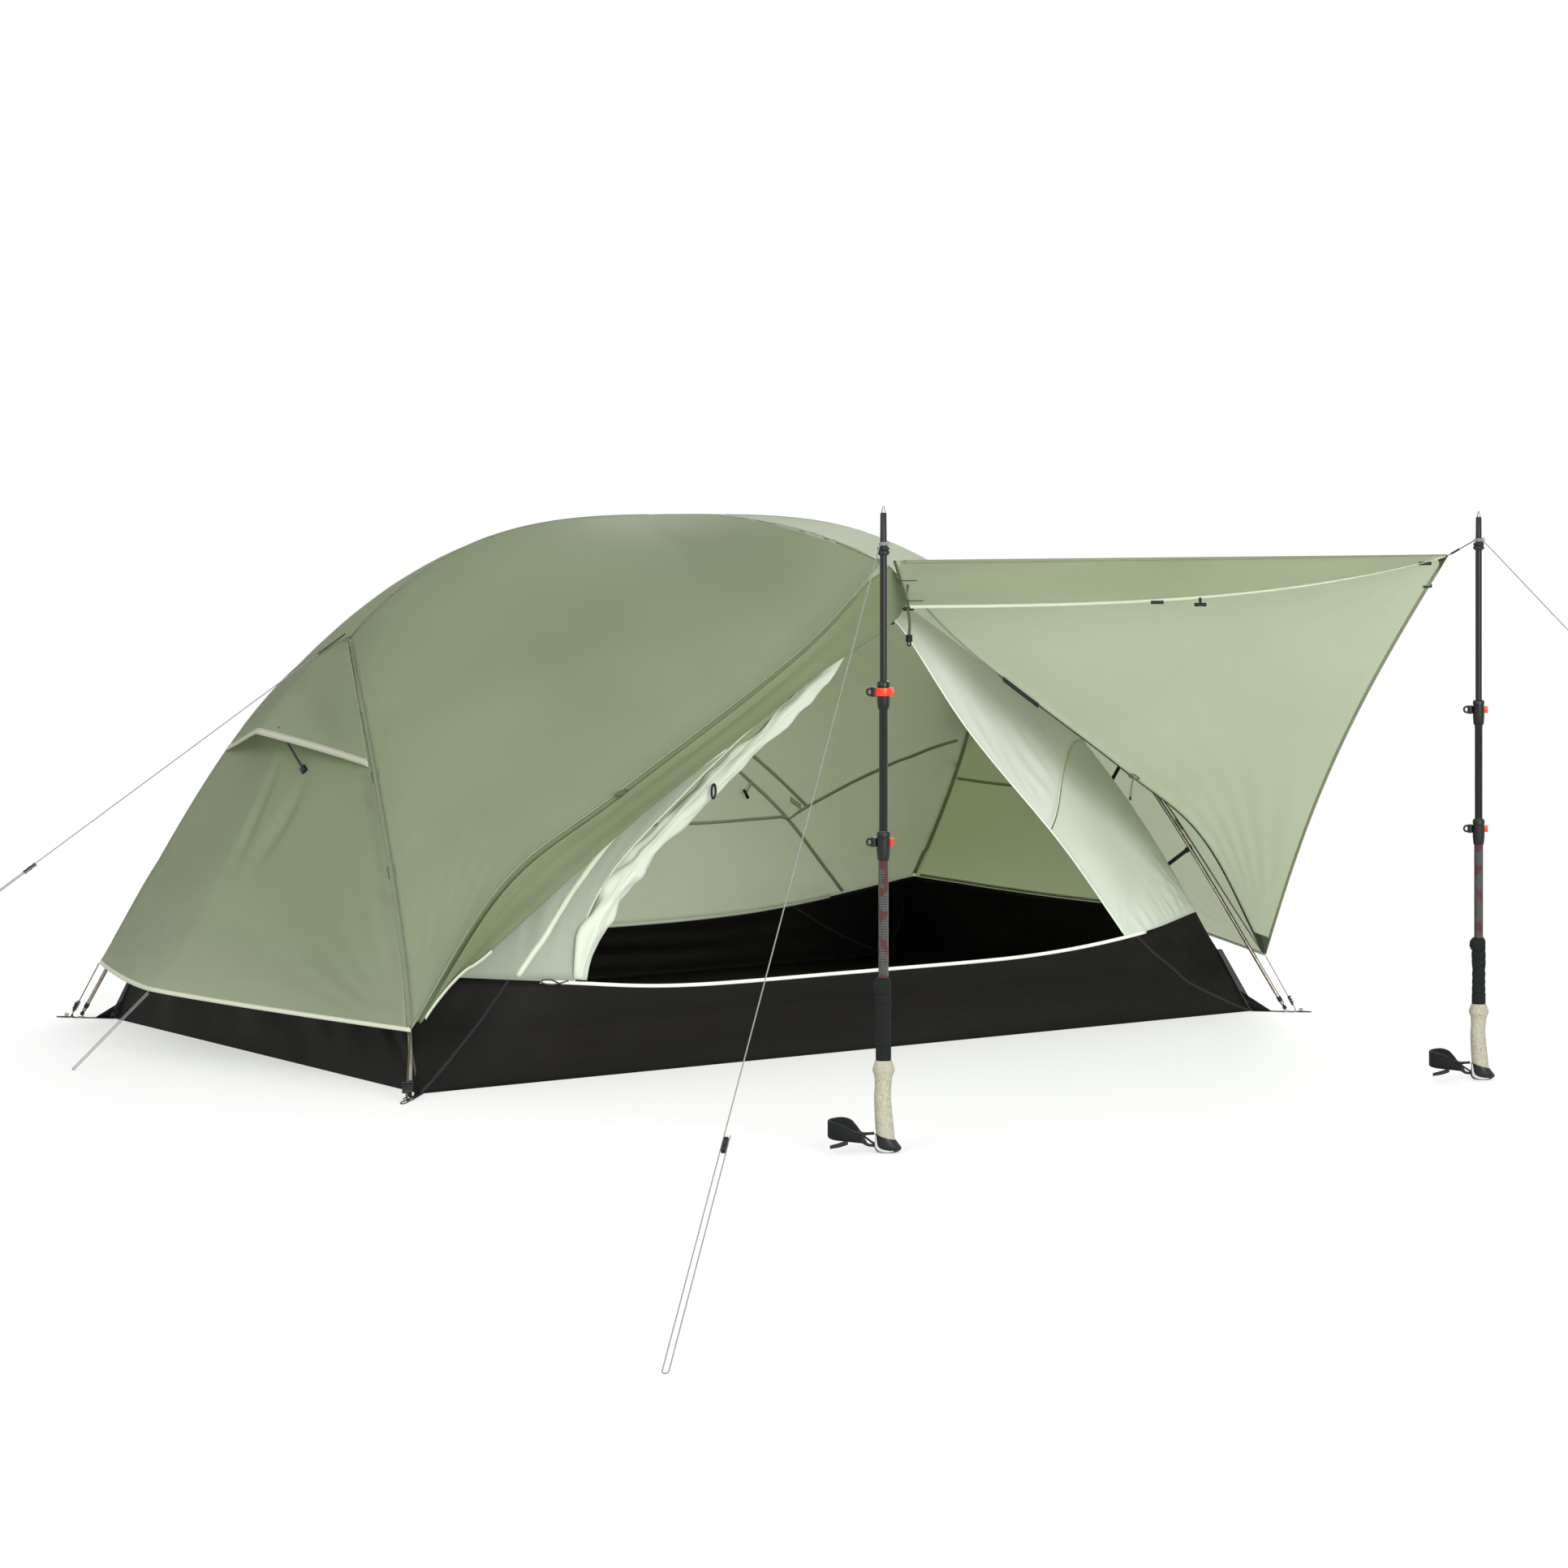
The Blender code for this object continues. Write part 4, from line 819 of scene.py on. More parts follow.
# %% [markdown]
# ## The flysheet's roof
# Four panels meet at the ridge, run down over the leg poles and end at the door seams. Each is a patch
# spanned by its four seams, which hangs in by 25 mm at its middle.

# %% Roof panels
NO_SLACK = (0.003, 0.997)


def roof_surface(left, near):
    """A roof panel between ridge, leg, brow and door seam, which hangs in a little."""
    edges = (fly_ridge(), turned_round(door_seam()), fly_leg(), fly_brow())
    spanned = patch(*[quarter(edge, left, near) for edge in edges])
    return lambda u, v: spanned(u, v) - ZED * ROOF_SAG * 16 * u * (1 - u) * v * (1 - v)


roof_folds = creased(
    fans=((0, 1, 0.30, 0.0022, 26, 0.4), (1, 1, 0.22, 0.0016, 22, 1.1), (0, 0, 0.16, 0.0010, 18, 0.2)),
    seams=(("left", 0.0032, 34, 0.035), ("bottom", 0.0018, 16, 0.05)),
    billow=0.004,
    lines=(((0.022, 0.03), (0.022, 0.97), -0.006, 0.010),),
)
for side, left in SIDES:
    for depth, near in DEPTHS:
        panel(f"roof_{depth}_{side}", roof_surface(left, near), (96, 80), fly_nylon,
              [f"fly_roof_{depth}_{side}"], roof_folds, NO_SLACK, NO_SLACK, on=["ridge_pole", "brow_pole"])
print("roof panels:", [name for name in sheets if name.startswith("roof")])

# %% [markdown]
# ## The two ends and their vents
# Each end is drawn in between its legs and held out by a line at its hem. Over its vent stands a hood: a
# small gable of cloth with a stiff webbing brim, propped from within by a short strut on a pivot.

# %% End panels
HOOD_SPREAD = 0.02
VENT_GAP = 0.0016


def end_surface(left):
    """A fly end, from the hub down to its hem, drawn in between the legs."""
    hem_x = HALF_L + END_HEM_REACH

    def hem(u):
        along = 1 - 2 * u
        out = FLY_X + (hem_x - FLY_X) * (1 - abs(along) ** 1.2)
        rise = END_HEM_HEIGHT + (FLY_CORNER_HEIGHT - END_HEM_HEIGHT) * abs(along)
        return Vector((-out if left else out, -FLY_Y * along, rise))

    hub = Vector((-FLY_HUB_X if left else FLY_HUB_X, 0, FLY_HUB_Z))
    spanned = patch(
        lambda u: hub, hem, quarter(fly_leg(), left, True), quarter(fly_leg(), left, False)
    )
    inwards = 1 if left else -1
    return lambda u, v: (
        spanned(u, v) + Vector((inwards, 0, 0)) * END_DIP * 16 * u * (1 - u) * v * (1 - v)
    )


def hood_surface(left):
    """A vent hood over a fly end, from near the hub to its brim, a gable with its peak over the strut."""
    end = end_surface(left)
    out = -1 if left else 1

    def off(u, v):
        across = HOOD_SPREAD + (1 - 2 * HOOD_SPREAD) * u
        return end(across, HOOD_SHARE * v) + Vector((out, 0, 0.4)) * HOOD_LIFT

    def brim(u):
        lift = 1 - abs(1 - 2 * u) ** 1.12
        peak = Vector((out * (FLY_HUB_X + HOOD_REACH), 0, HOOD_HEIGHT))
        return off(u, 1) + (peak - end(0.5, HOOD_SHARE)) * lift

    return lambda u, v: off(u, v) + (brim(u) - off(u, 1)) * v**1.3


end_folds = creased(
    fans=((0, 1, 0.26, 0.0026, 22, 0.3), (1, 1, 0.26, 0.0026, 22, 0.9), (0.5, 1, 0.16, 0.0022, 16, 0.5)),
    seams=(("left", 0.0034, 34, 0.035), ("right", 0.0034, 34, 0.035)),
    billow=0.005,
    lines=(((0.47, 0.42), (0.475, 0.74), 0.010, 0.016), ((0.31, 0.46), (0.44, 0.74), 0.012, 0.018),
           ((0.10, 0.40), (0.05, 0.62), 0.003, 0.012), ((0.022, 0.03), (0.022, 0.97), -0.006, 0.010),
           ((0.978, 0.03), (0.978, 0.97), -0.006, 0.010)),
)
hood_folds = creased(seams=(("left", 0.002, 14, 0.05), ("right", 0.002, 14, 0.05)), billow=0.002)
for side, left in SIDES:
    panel(f"end_{side}", end_surface(left), (96, 96), fly_nylon, [f"fly_end_{side}"], end_folds,
          (0.002, 0.998), (0.015, 1), on=[f"leg_pole_near_{side}", f"leg_pole_far_{side}"])
    panel(f"hood_{side}", hood_surface(left), (64, 32), fly_nylon, [f"vent_hood_{side}"], hood_folds,
          (0, 1), (0.10, 1), on=[f"hub_{side}"])
    # The vent's mesh sits under the hood; its dark colour is painted shade.
    outside = Vector((-VENT_GAP if left else VENT_GAP, 0, 0))
    panel(f"vent_mesh_{side}", lambda u, v: end_surface(left)(u, v) + outside, (40, 24), vent_net_shaded,
          us=(0.16, 0.84), vs=(0.15, 0.40))
print("end cut:", sheets["end_left"], "hood cut:", sheets["hood_left"])

# %% [markdown]
# ## The closed vestibule behind
# Two door halves hang from the far seams and are zipped together from the brow to a point at the hem.

# %% Far vestibule
FLY_CORNER = Vector((FLY_X, FLY_Y, FLY_CORNER_HEIGHT))
VESTIBULE_POINT = Vector((0, HALF_W + VESTIBULE_DEPTH, VESTIBULE_HEM_HEIGHT))


def vestibule_surface():
    """The closed vestibule, from the far door seams to its hem and its point."""
    seam = door_seam()
    left_corner = mirrored(FLY_CORNER, True, False)

    def top(u):
        return mirrored(seam(1 - 2 * u), True, False) if u < 0.5 else seam(2 * u - 1)

    def bottom(u):
        if u < 0.5:
            return left_corner.lerp(VESTIBULE_POINT, 2 * u)
        return VESTIBULE_POINT.lerp(FLY_CORNER, 2 * u - 1)

    spanned = patch(top, bottom, lambda v: left_corner, lambda v: FLY_CORNER)
    off = Vector((0, 1, -1)) * 0.0008
    return lambda u, v: spanned(u, v) + off


vestibule_folds = creased(
    fans=((0.5, 1, 0.25, 0.003, 24, 0.4), (0.5, 0, 0.2, 0.002, 20, 0.1), (0.02, 0.5, 0.2, 0.002, 14, 0.8),
          (0.98, 0.5, 0.2, 0.002, 14, 0.2)),
    seams=(("top", 0.0022, 30, 0.05),),
    billow=0.007,
)
panel("vestibule_far", vestibule_surface(), (128, 72), fly_nylon, ["fly_vestibule_far"], vestibule_folds,
      (0.02, 0.98), (0, 1), on=["brow_pole"])
print("vestibule cut:", sheets["vestibule_far"])

# %% [markdown]
# ## The raised door half
# One half of the near door is pulled out to the far trekking pole as an awning. Its ridge runs straight
# from the brow to the pole, its lower edge scoops in, and the strip that covers the zip hangs down along
# the ridge. Light falls through the cloth, so its underside glows, and its cloth is also painted paler
# than the fly's: painted light on the underside.

# %% Awning
AWNING_CORNER = Vector((AWNING_X, AWNING_Y, AWNING_HEIGHT))
AWNING_WAY = (AWNING_CORNER - BROW).normalized()
STRIP_START = 0.015
STRIP_SLANT = 0.03
STRIP_DEPTH = 0.096
STRIP_TAPER = 3.3


def awning_edge(v):
    """The awning's free edge, from the pole down to the fly's corner, scooped in."""
    corner = mirrored(FLY_CORNER, False, True)
    scoop = (BROW - (AWNING_CORNER + corner) / 2).normalized() * AWNING_SCOOP
    return AWNING_CORNER.lerp(corner, v) + scoop * math.sin(math.pi * v)


def awning_surface():
    """The raised door half, between its ridge, its seam and its free edge."""
    seam = quarter(door_seam(), False, True)
    return patch(line(BROW, AWNING_CORNER), seam, lambda v: BROW, awning_edge)


def strip_surface(u, v):
    """The zip's cover, hanging from the awning's ridge and narrowing towards the pole."""
    u += STRIP_SLANT * v * (1 - u)
    depth = STRIP_DEPTH * (1 - u**STRIP_TAPER) + 0.0018
    sideways = Vector((AWNING_WAY.y, -AWNING_WAY.x, 0)).normalized()
    hang = 0.004 * math.sin(9 * u) * v
    return BROW.lerp(AWNING_CORNER, u) + v * (sideways * (0.020 + hang) - ZED * depth)


awning_folds = creased(
    fans=((1, 0, 0.35, 0.0035, 24, 0.2), (1, 1, 0.28, 0.003, 22, 0.8), (0, 0.4, 0.2, 0.0015, 14, 0.3)),
    seams=(("bottom", 0.0022, 22, 0.05),),
    billow=0.008,
)
panel("awning", awning_surface(), (96, 96), awning_nylon_painted_light, ["fly_awning"], awning_folds, (0.03, 1),
      (0, 0.9985), "awning cloth", on=["far_pole_tip_section"])
strip_folds = creased(seams=(("bottom", 0.0016, 14, 0.4),), billow=0.0015, edge=0.2)
panel("zip_strip", strip_surface, (96, 10), fly_nylon, (), strip_folds, (STRIP_START, 0.995), (0, 1),
      "awning cloth", on=["far_pole_tip_section"])
print("awning cut:", sheets["awning"])

# %% [markdown]
# ## The other door half, folded up under its seam
# The left half of the near door is gathered in flat pleats along its seam and tied. The pleats are one
# long sheet that runs forth and back, so its section is a path that turns round at each fold; its ends
# narrow towards the brow and towards the corner.

# %% Folded door
PLEATS = ((0.0, 0.0), (0.90, 0.16), (0.30, 0.34), (0.95, 0.52), (0.16, 0.70), (1.0, 0.86), (0.04, 1.0))
PLEAT_DEPTH = 0.0165
FOLDED_END = 0.985


def pleat_path(w):
    """Down the seam's side and back at each fold: shares down the bundle and through its thickness."""
    place_along = w * (len(PLEATS) - 1)
    k = min(int(place_along), len(PLEATS) - 2)
    part = place_along - k
    (a, low), (b, high) = PLEATS[k], PLEATS[k + 1]
    return a + (b - a) * soft(part), low + (high - low) * part


def folded_surface(u, w):
    """The pleated door at a share along its seam and a share of its cloth's own width."""
    share = FOLDED_END * u
    rise = BROW_HEIGHT - FLY_CORNER_HEIGHT
    upper = quarter(door_seam(), True, True)(share) - ZED * 0.0018
    upper += Vector((0.012, 0, -0.008)) * (1 - soft(share / 0.05))
    x, z = fold_edge(min(share, 0.9))
    lower = Vector((-FLY_X * x, upper.y + 0.01 * share, FLY_CORNER_HEIGHT + rise * z))
    lower = lower.lerp(upper, 0.9 * soft((share - 0.88) / 0.10))
    way, deep = pleat_path(w)
    thick = PLEAT_DEPTH * min(1, max(0.22, share * 3))
    slack = 0.04 * math.sin(7 * share + 5 * deep) * way
    lip = math.exp(-((way - 0.22 - 0.1 * share) / 0.02) ** 2)
    lip += math.exp(-((way - 0.42 + 0.2 * share) / 0.02) ** 2)
    ripple = (0.0012 * math.sin(way * 12 + 6 * share) - 0.002 * lip) * min(1, share * 4)
    return upper.lerp(lower, way * (1 - slack)) + Vector((0, thick * (0.22 - deep) + ripple, 0))


# Its cloth is painted darker than the fly's: painted shade.
panel("door_folded", folded_surface, (150, 96), door_nylon_shaded, ["fly_door_rolled"], held="folded",
      on=["brow_pole"])
print("folded door cut:", sheets["door_folded"])

# %% [markdown]
# ## Seams, bindings and zips
# Wherever two panels meet, the cloth is folded twice and stitched twice; raw edges get a folded tape. Each
# is a narrow band between two lines. Where it lies over cloth, its edges are dropped on to the nearest
# cloth, so it follows every pucker.

# %% Bands
BAND = 0.0014
FLAT_SEAM = 0.0006
SEAM = 0.007
HOOD_LENGTH = 0.34
HOOK_SHADOWS = (0.307, 0.465, 0.66)


def snap(point, on):
    """The nearest point of some sewn cloth."""
    return min((woven[name].find_nearest(point) for name in on), key=lambda hit: hit[3])


def beside(centre, width, on, lift=0.0):
    """Two lines on either side of a line on cloth, half a width away from it each."""

    def edge(sign):
        def at(t):
            spot, normal, _, _ = snap(centre(t), on)
            along = (centre(min(t + 0.005, 1)) - centre(max(t - 0.005, 0))).normalized()
            sideways = along.cross(normal).normalized()
            landed, facing, _, _ = snap(spot + sideways * sign * width / 2, on)
            return landed + facing * lift

        return at

    return edge(-1), edge(1)


def band(name, edges, steps, finish, body="tent", slot="flysheet", start=0.0, end=1.0, thickness=BAND):
    """A tape between two lines, with a UV map in metres along it and from 0 to 1 across."""
    bm = bmesh.new()
    flat = bm.loops.layers.uv.new("UVMap")
    where = grid_shares(bm, (steps, 2), (start, end), (0, 1))
    length = arc(lambda t: edges[0](start + (end - start) * t), 40)
    for vert, (u, v) in where.items():
        vert.co = edges[0](u).lerp(edges[1](u), v)
    for face in bm.faces:
        for loop in face.loops:
            u, v = where[loop.vert]
            loop[flat].uv = ((u - start) / (end - start) * length, v)
    return thicken(place(name, finished(name, bm), finish, body, slot), thickness)


def tape_along(name, centre, width, on, steps, finish=shaded_seam_tape, lift=0.0, **settings):
    """A tape that lies on cloth along a line."""
    band(name, beside(centre, width, on, lift), steps, finish, **settings)


def hem(surface, width, depth, lower=True):
    """The two lines of a hem's binding: the edge itself and a line in from it."""
    edge, inner = (1, 1 - width / depth) if lower else (0, width / depth)
    return (lambda t: surface(t, edge)), (lambda t: surface(t, inner))


for side, left in SIDES:
    for depth, near in DEPTHS:
        on = [f"roof_{depth}_{side}", f"end_{side}"]
        leg = quarter(fly_leg(), left, near)
        # The leg seams' darker green is painted shade along the pole under them.
        tape_along(f"leg_seam_{depth}_{side}", leg, 0.013, on, 120, end=0.985, thickness=FLAT_SEAM)
        # Dark patches on each leg seam: painted shadows of the hooks inside, seen through the flysheet.
        for k, t in enumerate(HOOK_SHADOWS):
            spot = line_between(leg, t - 0.012, t + 0.012)
            tape_along(f"hook_tab_{depth}_{side}_{k}", spot, 0.020, on, 8, hook_shadow_patch, thickness=0.0010)
    band(f"hem_{side}", hem(end_surface(left), 0.010, 0.9), 96, hem_tape)
    band(f"brim_{side}", hem(hood_surface(left), 0.013, HOOD_LENGTH), 64, brim_tape, thickness=0.0022)
    ridge = quarter(fly_ridge(), left, False)
    tape_along(f"ridge_seam_{side}", ridge, SEAM, [f"roof_near_{side}", f"roof_far_{side}"], 90)
for depth, near in DEPTHS:
    brow = quarter(fly_brow(), False, near)
    tape_along(f"brow_seam_{depth}", brow, SEAM, [f"roof_{depth}_left", f"roof_{depth}_right"], 50)
left_door, right_door = (quarter(door_seam(), left, True) for left in (True, False))
tape_along("door_seam_near_left", left_door, 0.012, ["roof_near_left"], 110, door_seam_tape)
right_seam = beside(right_door, 0.0055, ["roof_near_right"])
band("door_seam_near_right", right_seam, 60, door_seam_tape, start=0.02, end=0.28)
band("door_piping_near_right", right_seam, 110, black_web, start=0.28, thickness=0.0042)
fold = (lambda t: folded_surface(t, 0.833) + Vector((-0.001, -0.005, -0.003)),
        lambda t: folded_surface(t, 0.833) + Vector((-0.004, -0.006, 0.002)))
band("door_hem_left", fold, 40, hem_tape, start=0.88)
for side, left in SIDES:
    top = hem(hood_surface(left), 0.004, HOOD_LENGTH, lower=False)
    band(f"hood_top_{side}", top, 40, dark_tape, start=0.06, end=0.94)
vestibule = vestibule_surface()
band("door_seam_far", hem(vestibule, 0.012, 0.8, lower=False), 140, shaded_seam_tape, start=0.02, end=0.98)
band("vestibule_hem", hem(vestibule, 0.012, 0.8), 140, olive_tape, start=0.02, end=0.98)
tape_along("vestibule_zip", lambda t: vestibule(0.5, t), 0.009, ["vestibule_far"], 90, olive_zip, 0.0012,
           start=0.03, end=0.99)
flap = (lambda t: vestibule(0.502, t) + Vector((0, 0.0045, 0.001)),
        lambda t: vestibule(0.535, t) + Vector((0, 0.0035, 0.001)))
band("vestibule_flap", flap, 90, fly_tape, start=0.02, end=0.995)
print("bands sewn on the flysheet")

# %% [markdown]
# ## The awning's bindings
# The awning's ridge and its free edge are bound in olive tape, the zip strip ends in a pale one, and a
# patch of heavy cloth spreads the pull at the pole. All of them are fixed where the awning stands.

# %% Awning bindings
awning_at = awning_surface()
PATCH = 0.0018
STRIP_BINDING_END = STRIP_START + 0.005
AWNING_BINDINGS = (
    ("awning_ridge", 120, olive_tape, 0.035, 0.997, BAND,
     lambda t: BROW.lerp(AWNING_CORNER, t) + ZED * 0.0012, lambda t: strip_surface(t, 0.05)),
    ("awning_edge", 110, olive_tape, 0.0, 0.995, BAND,
     lambda t: awning_at(1, t), lambda t: awning_at(1 - 0.008 / 1.2, t)),
    ("strip_binding", 120, strip_tape, STRIP_START, 0.99, BAND,
     lambda t: strip_surface(t, 1.0), lambda t: strip_surface(t, 0.93)),
    ("awning_patch", 8, patch_cloth, 0.0, 0.98, PATCH,
     lambda t: awning_at(1 - 0.001, t * 0.05), lambda t: awning_at(0.955 + 0.043 * t, 0.0)),
    ("strip_start_binding", 16, dark_tape, 0.0, 1.0, PATCH,
     lambda t: strip_surface(STRIP_START, t), lambda t: strip_surface(STRIP_BINDING_END, t)),
    ("corner_patch", 8, patch_cloth, 0.0, 1.0, PATCH,
     lambda t: awning_at(0.955 + 0.042 * t, 0.997), lambda t: awning_at(0.998, 0.955 + 0.042 * t)),
)
for name, steps, finish, start, end, thickness, *edges in AWNING_BINDINGS:
    band(name, edges, steps, finish, "awning cloth", start=start, end=end, thickness=thickness)
print("awning bound")

# %% [markdown]
# ## The floor tub
# The floor and its walls are one coated cloth, folded up at the corners like a bathtub. The bmesh starts
# as the floor's grid; its border is extruded and each new vertex goes up to the tub's top edge. Diagonal
# folds mark where the corners are gathered.

# %% Tub
TUB_ROWS = 16
TUB_CLOTH = 0.0005
TUB_TAB = 0.0008
RIPPLE, CORNER_FOLD, FAR_SAG = 0.010, 0.007, 0.009
FLOOR_WAVE = 0.006
DIAGONAL = Vector((1, 1, 0)).normalized()


def tub_top(point):
    """Where the wall over a point of the floor's border ends."""
    near, left = point.y < 0, point.x < 0
    if abs(point.y) > HALF_W - 1e-5:
        return mirrored(tub_edge(near)(abs(point.x) / HALF_L), left, near)
    return mirrored(tub_end(point.y / HALF_W), left, False)


def tub_crease(foot, share):
    """The lean of a wall's folds: a diagonal one at each corner, upright ripples, and sag in the far wall."""
    ripple = noise.noise(Vector((foot.x * 9, foot.y * 9, share * 2))) * RIPPLE
    away = Vector((HALF_L - abs(foot.x), HALF_W - abs(foot.y))).length
    fold = math.exp(-((away - 0.16 * share) / 0.012) ** 2) * CORNER_FOLD
    slack = soft(foot.y / HALF_W * 8 - 7) * soft((0.75 - abs(foot.x)) * 4)
    sag = slack * FAR_SAG * math.sin(15 * share + 2.5 * math.sin(2.2 * foot.x))
    return (ripple - fold + sag) * math.sin(math.pi * share)


bm = bmesh.new()
flat = bm.loops.layers.uv.new("UVMap")
bmesh.ops.create_grid(bm, x_segments=106, y_segments=68, size=0.5)
for vert in bm.verts:
    sag = noise.noise(Vector((vert.co.x * 14, vert.co.y * 9, 0.5))) * 0.5 + 0.5
    inside = soft(min(0.5 - abs(vert.co.x), 0.5 - abs(vert.co.y)) * 12)
    vert.co = Vector((vert.co.x * FLOOR_LENGTH, vert.co.y * FLOOR_WIDTH, CLOTH + FLOOR_WAVE * sag * inside))
border = [edge for edge in bm.edges if edge.is_boundary]
feet = {vert: vert.co.copy() for edge in border for vert in edge.verts}
for row in range(1, TUB_ROWS + 1):
    grown = bmesh.ops.extrude_edge_only(bm, edges=border)["geom"]
    border = [item for item in grown if isinstance(item, bmesh.types.BMEdge) and item.is_boundary]
    share = row / TUB_ROWS
    new_feet = {}
    for vert in {vert for edge in border for vert in edge.verts}:
        foot = min(
            (near.other_vert(vert) for near in vert.link_edges if near.other_vert(vert) in feet),
            key=lambda below: (below.co - vert.co).length,
        )
        new_feet[vert] = feet[foot]
    for vert, foot in new_feet.items():
        top = tub_top(foot)
        outwards = Vector((foot.x / HALF_L, foot.y / HALF_W, 0)) * 0.7
        vert.co = foot.lerp(top, share) + outwards * tub_crease(foot, share)
    feet = new_feet
bmesh.ops.recalc_face_normals(bm, faces=bm.faces)
for face in bm.faces:
    for loop in face.loops:
        spot = loop.vert.co
        loop[flat].uv = (spot.x + 0.3 * spot.z, spot.y + spot.z)
woven["tub"] = BVHTree.FromBMesh(bm)
area = sum(face.calc_area() for face in bm.faces)
tub = place("tub", finished("tub", bm), tub_nylon, "tent", "floor_cloth", "floor_tub")
thicken(tub, TUB_CLOTH)
declare(tub, FLOOR_LENGTH + 2 * TUB_CORNER_HEIGHT, FLOOR_WIDTH + 2 * TUB_SIDE_HEIGHT, area, "stretched",
        ["corner_strap_near_left"])
for side, left in SIDES:
    for depth, near in DEPTHS:
        foot = mirrored(Vector((HALF_L, HALF_W, 0.0016)), left, near)
        rise = mirrored(Vector((TUB_CORNER_X, TUB_CORNER_Y, TUB_CORNER_HEIGHT)), left, near)
        out = mirrored(DIAGONAL, left, near)
        seam_top = mirrored(tub_edge(near)(0.80 if left else 0.70), left, near)
        gusset = bend(foot, foot.lerp(seam_top, 0.5) - ZED * 0.018, seam_top)
        tape_along(f"tub_gusset_{depth}_{side}", gusset, 0.006, ["tub"], 50, black_web, slot="floor_cloth",
                   thickness=0.0010)
        tip = foot + out * 0.045
        band(f"tub_tab_{depth}_{side}", (line(foot.lerp(rise, 0.20), tip), line(foot, tip)), 16, tub_nylon,
             slot="floor_cloth", thickness=TUB_TAB)
        # A grey strip up each corner's edge: painted highlight where the corner catches the light.
        edge = line(foot, foot.lerp(rise, 0.62))
        corner = (lambda t: edge(t) - out * 0.012, lambda t: edge(t) + out * 0.012)
        band(f"tub_corner_highlight_{depth}_{side}", corner, 20, tub_painted_highlight, slot="floor_cloth", thickness=TUB_TAB)
print("tub cut:", sheets["tub"])

# %% [markdown]
# ## The inner tent
# Breathable polyester hangs under the poles: sheer, pale and a little green from the flysheet behind it.
# Beside the doorway the upper part is fine mesh and the lower part closed cloth, joined by a cross seam.

# %% Inner walls


def wall_surface(side, depth):
    """A side wall of the inner tent, from its ridge to the tub's edge."""
    left, near = side == "left", depth == "near"
    edge = raised(tub_edge(near))
    bottom = line_between(edge, 1, TUB_RISE_SHARE if near else 0)
    opening = door_side(left) if near else line(inner_brow()(1), edge(0))
    inside = joined(inner_brow(), opening, 0.48 if near else 0.45)
    return patch(*[quarter(c, left, near) for c in (inner_ridge(), bottom, inner_leg(), inside)])


def inner_end_surface(left):
    """An end wall of the inner tent, from its hub point to the tub's edge."""
    top = quarter(inner_ridge(), left, False)(0)
    legs = [quarter(inner_leg(), left, near) for near in (True, False)]
    return patch(
        lambda u: top, lambda u: mirrored(tub_end(2 * u - 1), left, False) + ZED * INNER_LIFT, *legs
    )


def inner_panel(*cut, **settings):
    """A panel of the inner tent."""
    panel(*cut, slot="inner_cloth", **settings)


def cross_seam(u):
    """How far down the near right wall its cross seam runs: low in the middle, high at the leg."""
    return 0.50 + 0.50 * u - 0.16 * u * u


inner_folds = creased(
    fans=((0, 1, 0.25, 0.003, 20, 0.3), (1, 1, 0.22, 0.002, 18, 0.9), (0, 0, 0.2, 0.002, 16, 0.1)),
    seams=(("left", 0.003, 20, 0.06), ("bottom", 0.003, 18, 0.06)),
    billow=0.008,
)
for side in ("left", "right"):
    for depth in ("near", "far"):
        surface = wall_surface(side, depth)
        rests = [f"leg_pole_{depth}_{side}", "ridge_pole"]
        if (side, depth) == ("right", "near"):
            inner_panel("wall_near_right_net", lambda u, v: surface(u, v * cross_seam(u)), (72, 72), mesh_net,
                        ["inner_wall_near_right"], inner_folds, NO_SLACK, NO_SLACK, on=rests)
            inner_panel("wall_near_right_cloth",
                        lambda u, v: surface(u, cross_seam(u) + v * (1 - cross_seam(u))), (72, 56), door_poly,
                        [], inner_folds, NO_SLACK, on=rests)
        else:
            # The near left wall takes the darker copy: painted shade.
            finish = side_poly_shaded if depth == "near" else inner_poly
            inner_panel(f"wall_{depth}_{side}", surface, (80, 80), finish, [f"inner_wall_{depth}_{side}"],
                        inner_folds, NO_SLACK, (0.003, 1), on=rests)
    # Inner ends in the darker, greener copy: painted shade and painted green light.
    inner_panel(f"inner_{side}", inner_end_surface(side == "left"), (64, 64), inner_end_poly_shaded,
                [f"inner_end_{side}"], inner_folds, (0.004, 0.996), (0.02, 1), on=[f"hub_{side}"])
print("inner walls:", [name for name in sheets if name.startswith("wall")])

# %% [markdown]
# ## Inner seams and zips
# The inner tent's seams are bound in dark olive, its zips are pale, and a white piping closes the tub.

# %% Inner seams and zips
TUB_ZIP = 0.74
FAR_WALLS = ["wall_far_left", "wall_far_right"]
FAR_SEAMS = {
    "far_cross_seam": ((0.01, 0.50), (0.32, 0.78), (0.38, 0.80), (0.65, 0.82), (1.0, 0.83), (1.6, 0.80),
                       (1.99, 0.50)),
    "far_diagonal_right": ((0.17, 0.995), (0.36, 0.80), (0.52, 0.70)),
    "far_diagonal_left": ((1.83, 0.995), (1.64, 0.80), (1.48, 0.70)),
    "far_pull_right": ((0.50, 0.66), (0.40, 0.715), (0.31, 0.775)),
    "far_pull_left": ((1.50, 0.66), (1.60, 0.715), (1.69, 0.775)),
}


def on_far_wall(pairs):
    """A line on the far right wall through pairs of shares; beyond its middle it runs on to the left one."""
    walls = wall_surface("right", "far"), wall_surface("left", "far")
    return through([walls[0](u, v) if u <= 1 else walls[1](2 - u, v) for u, v in pairs])


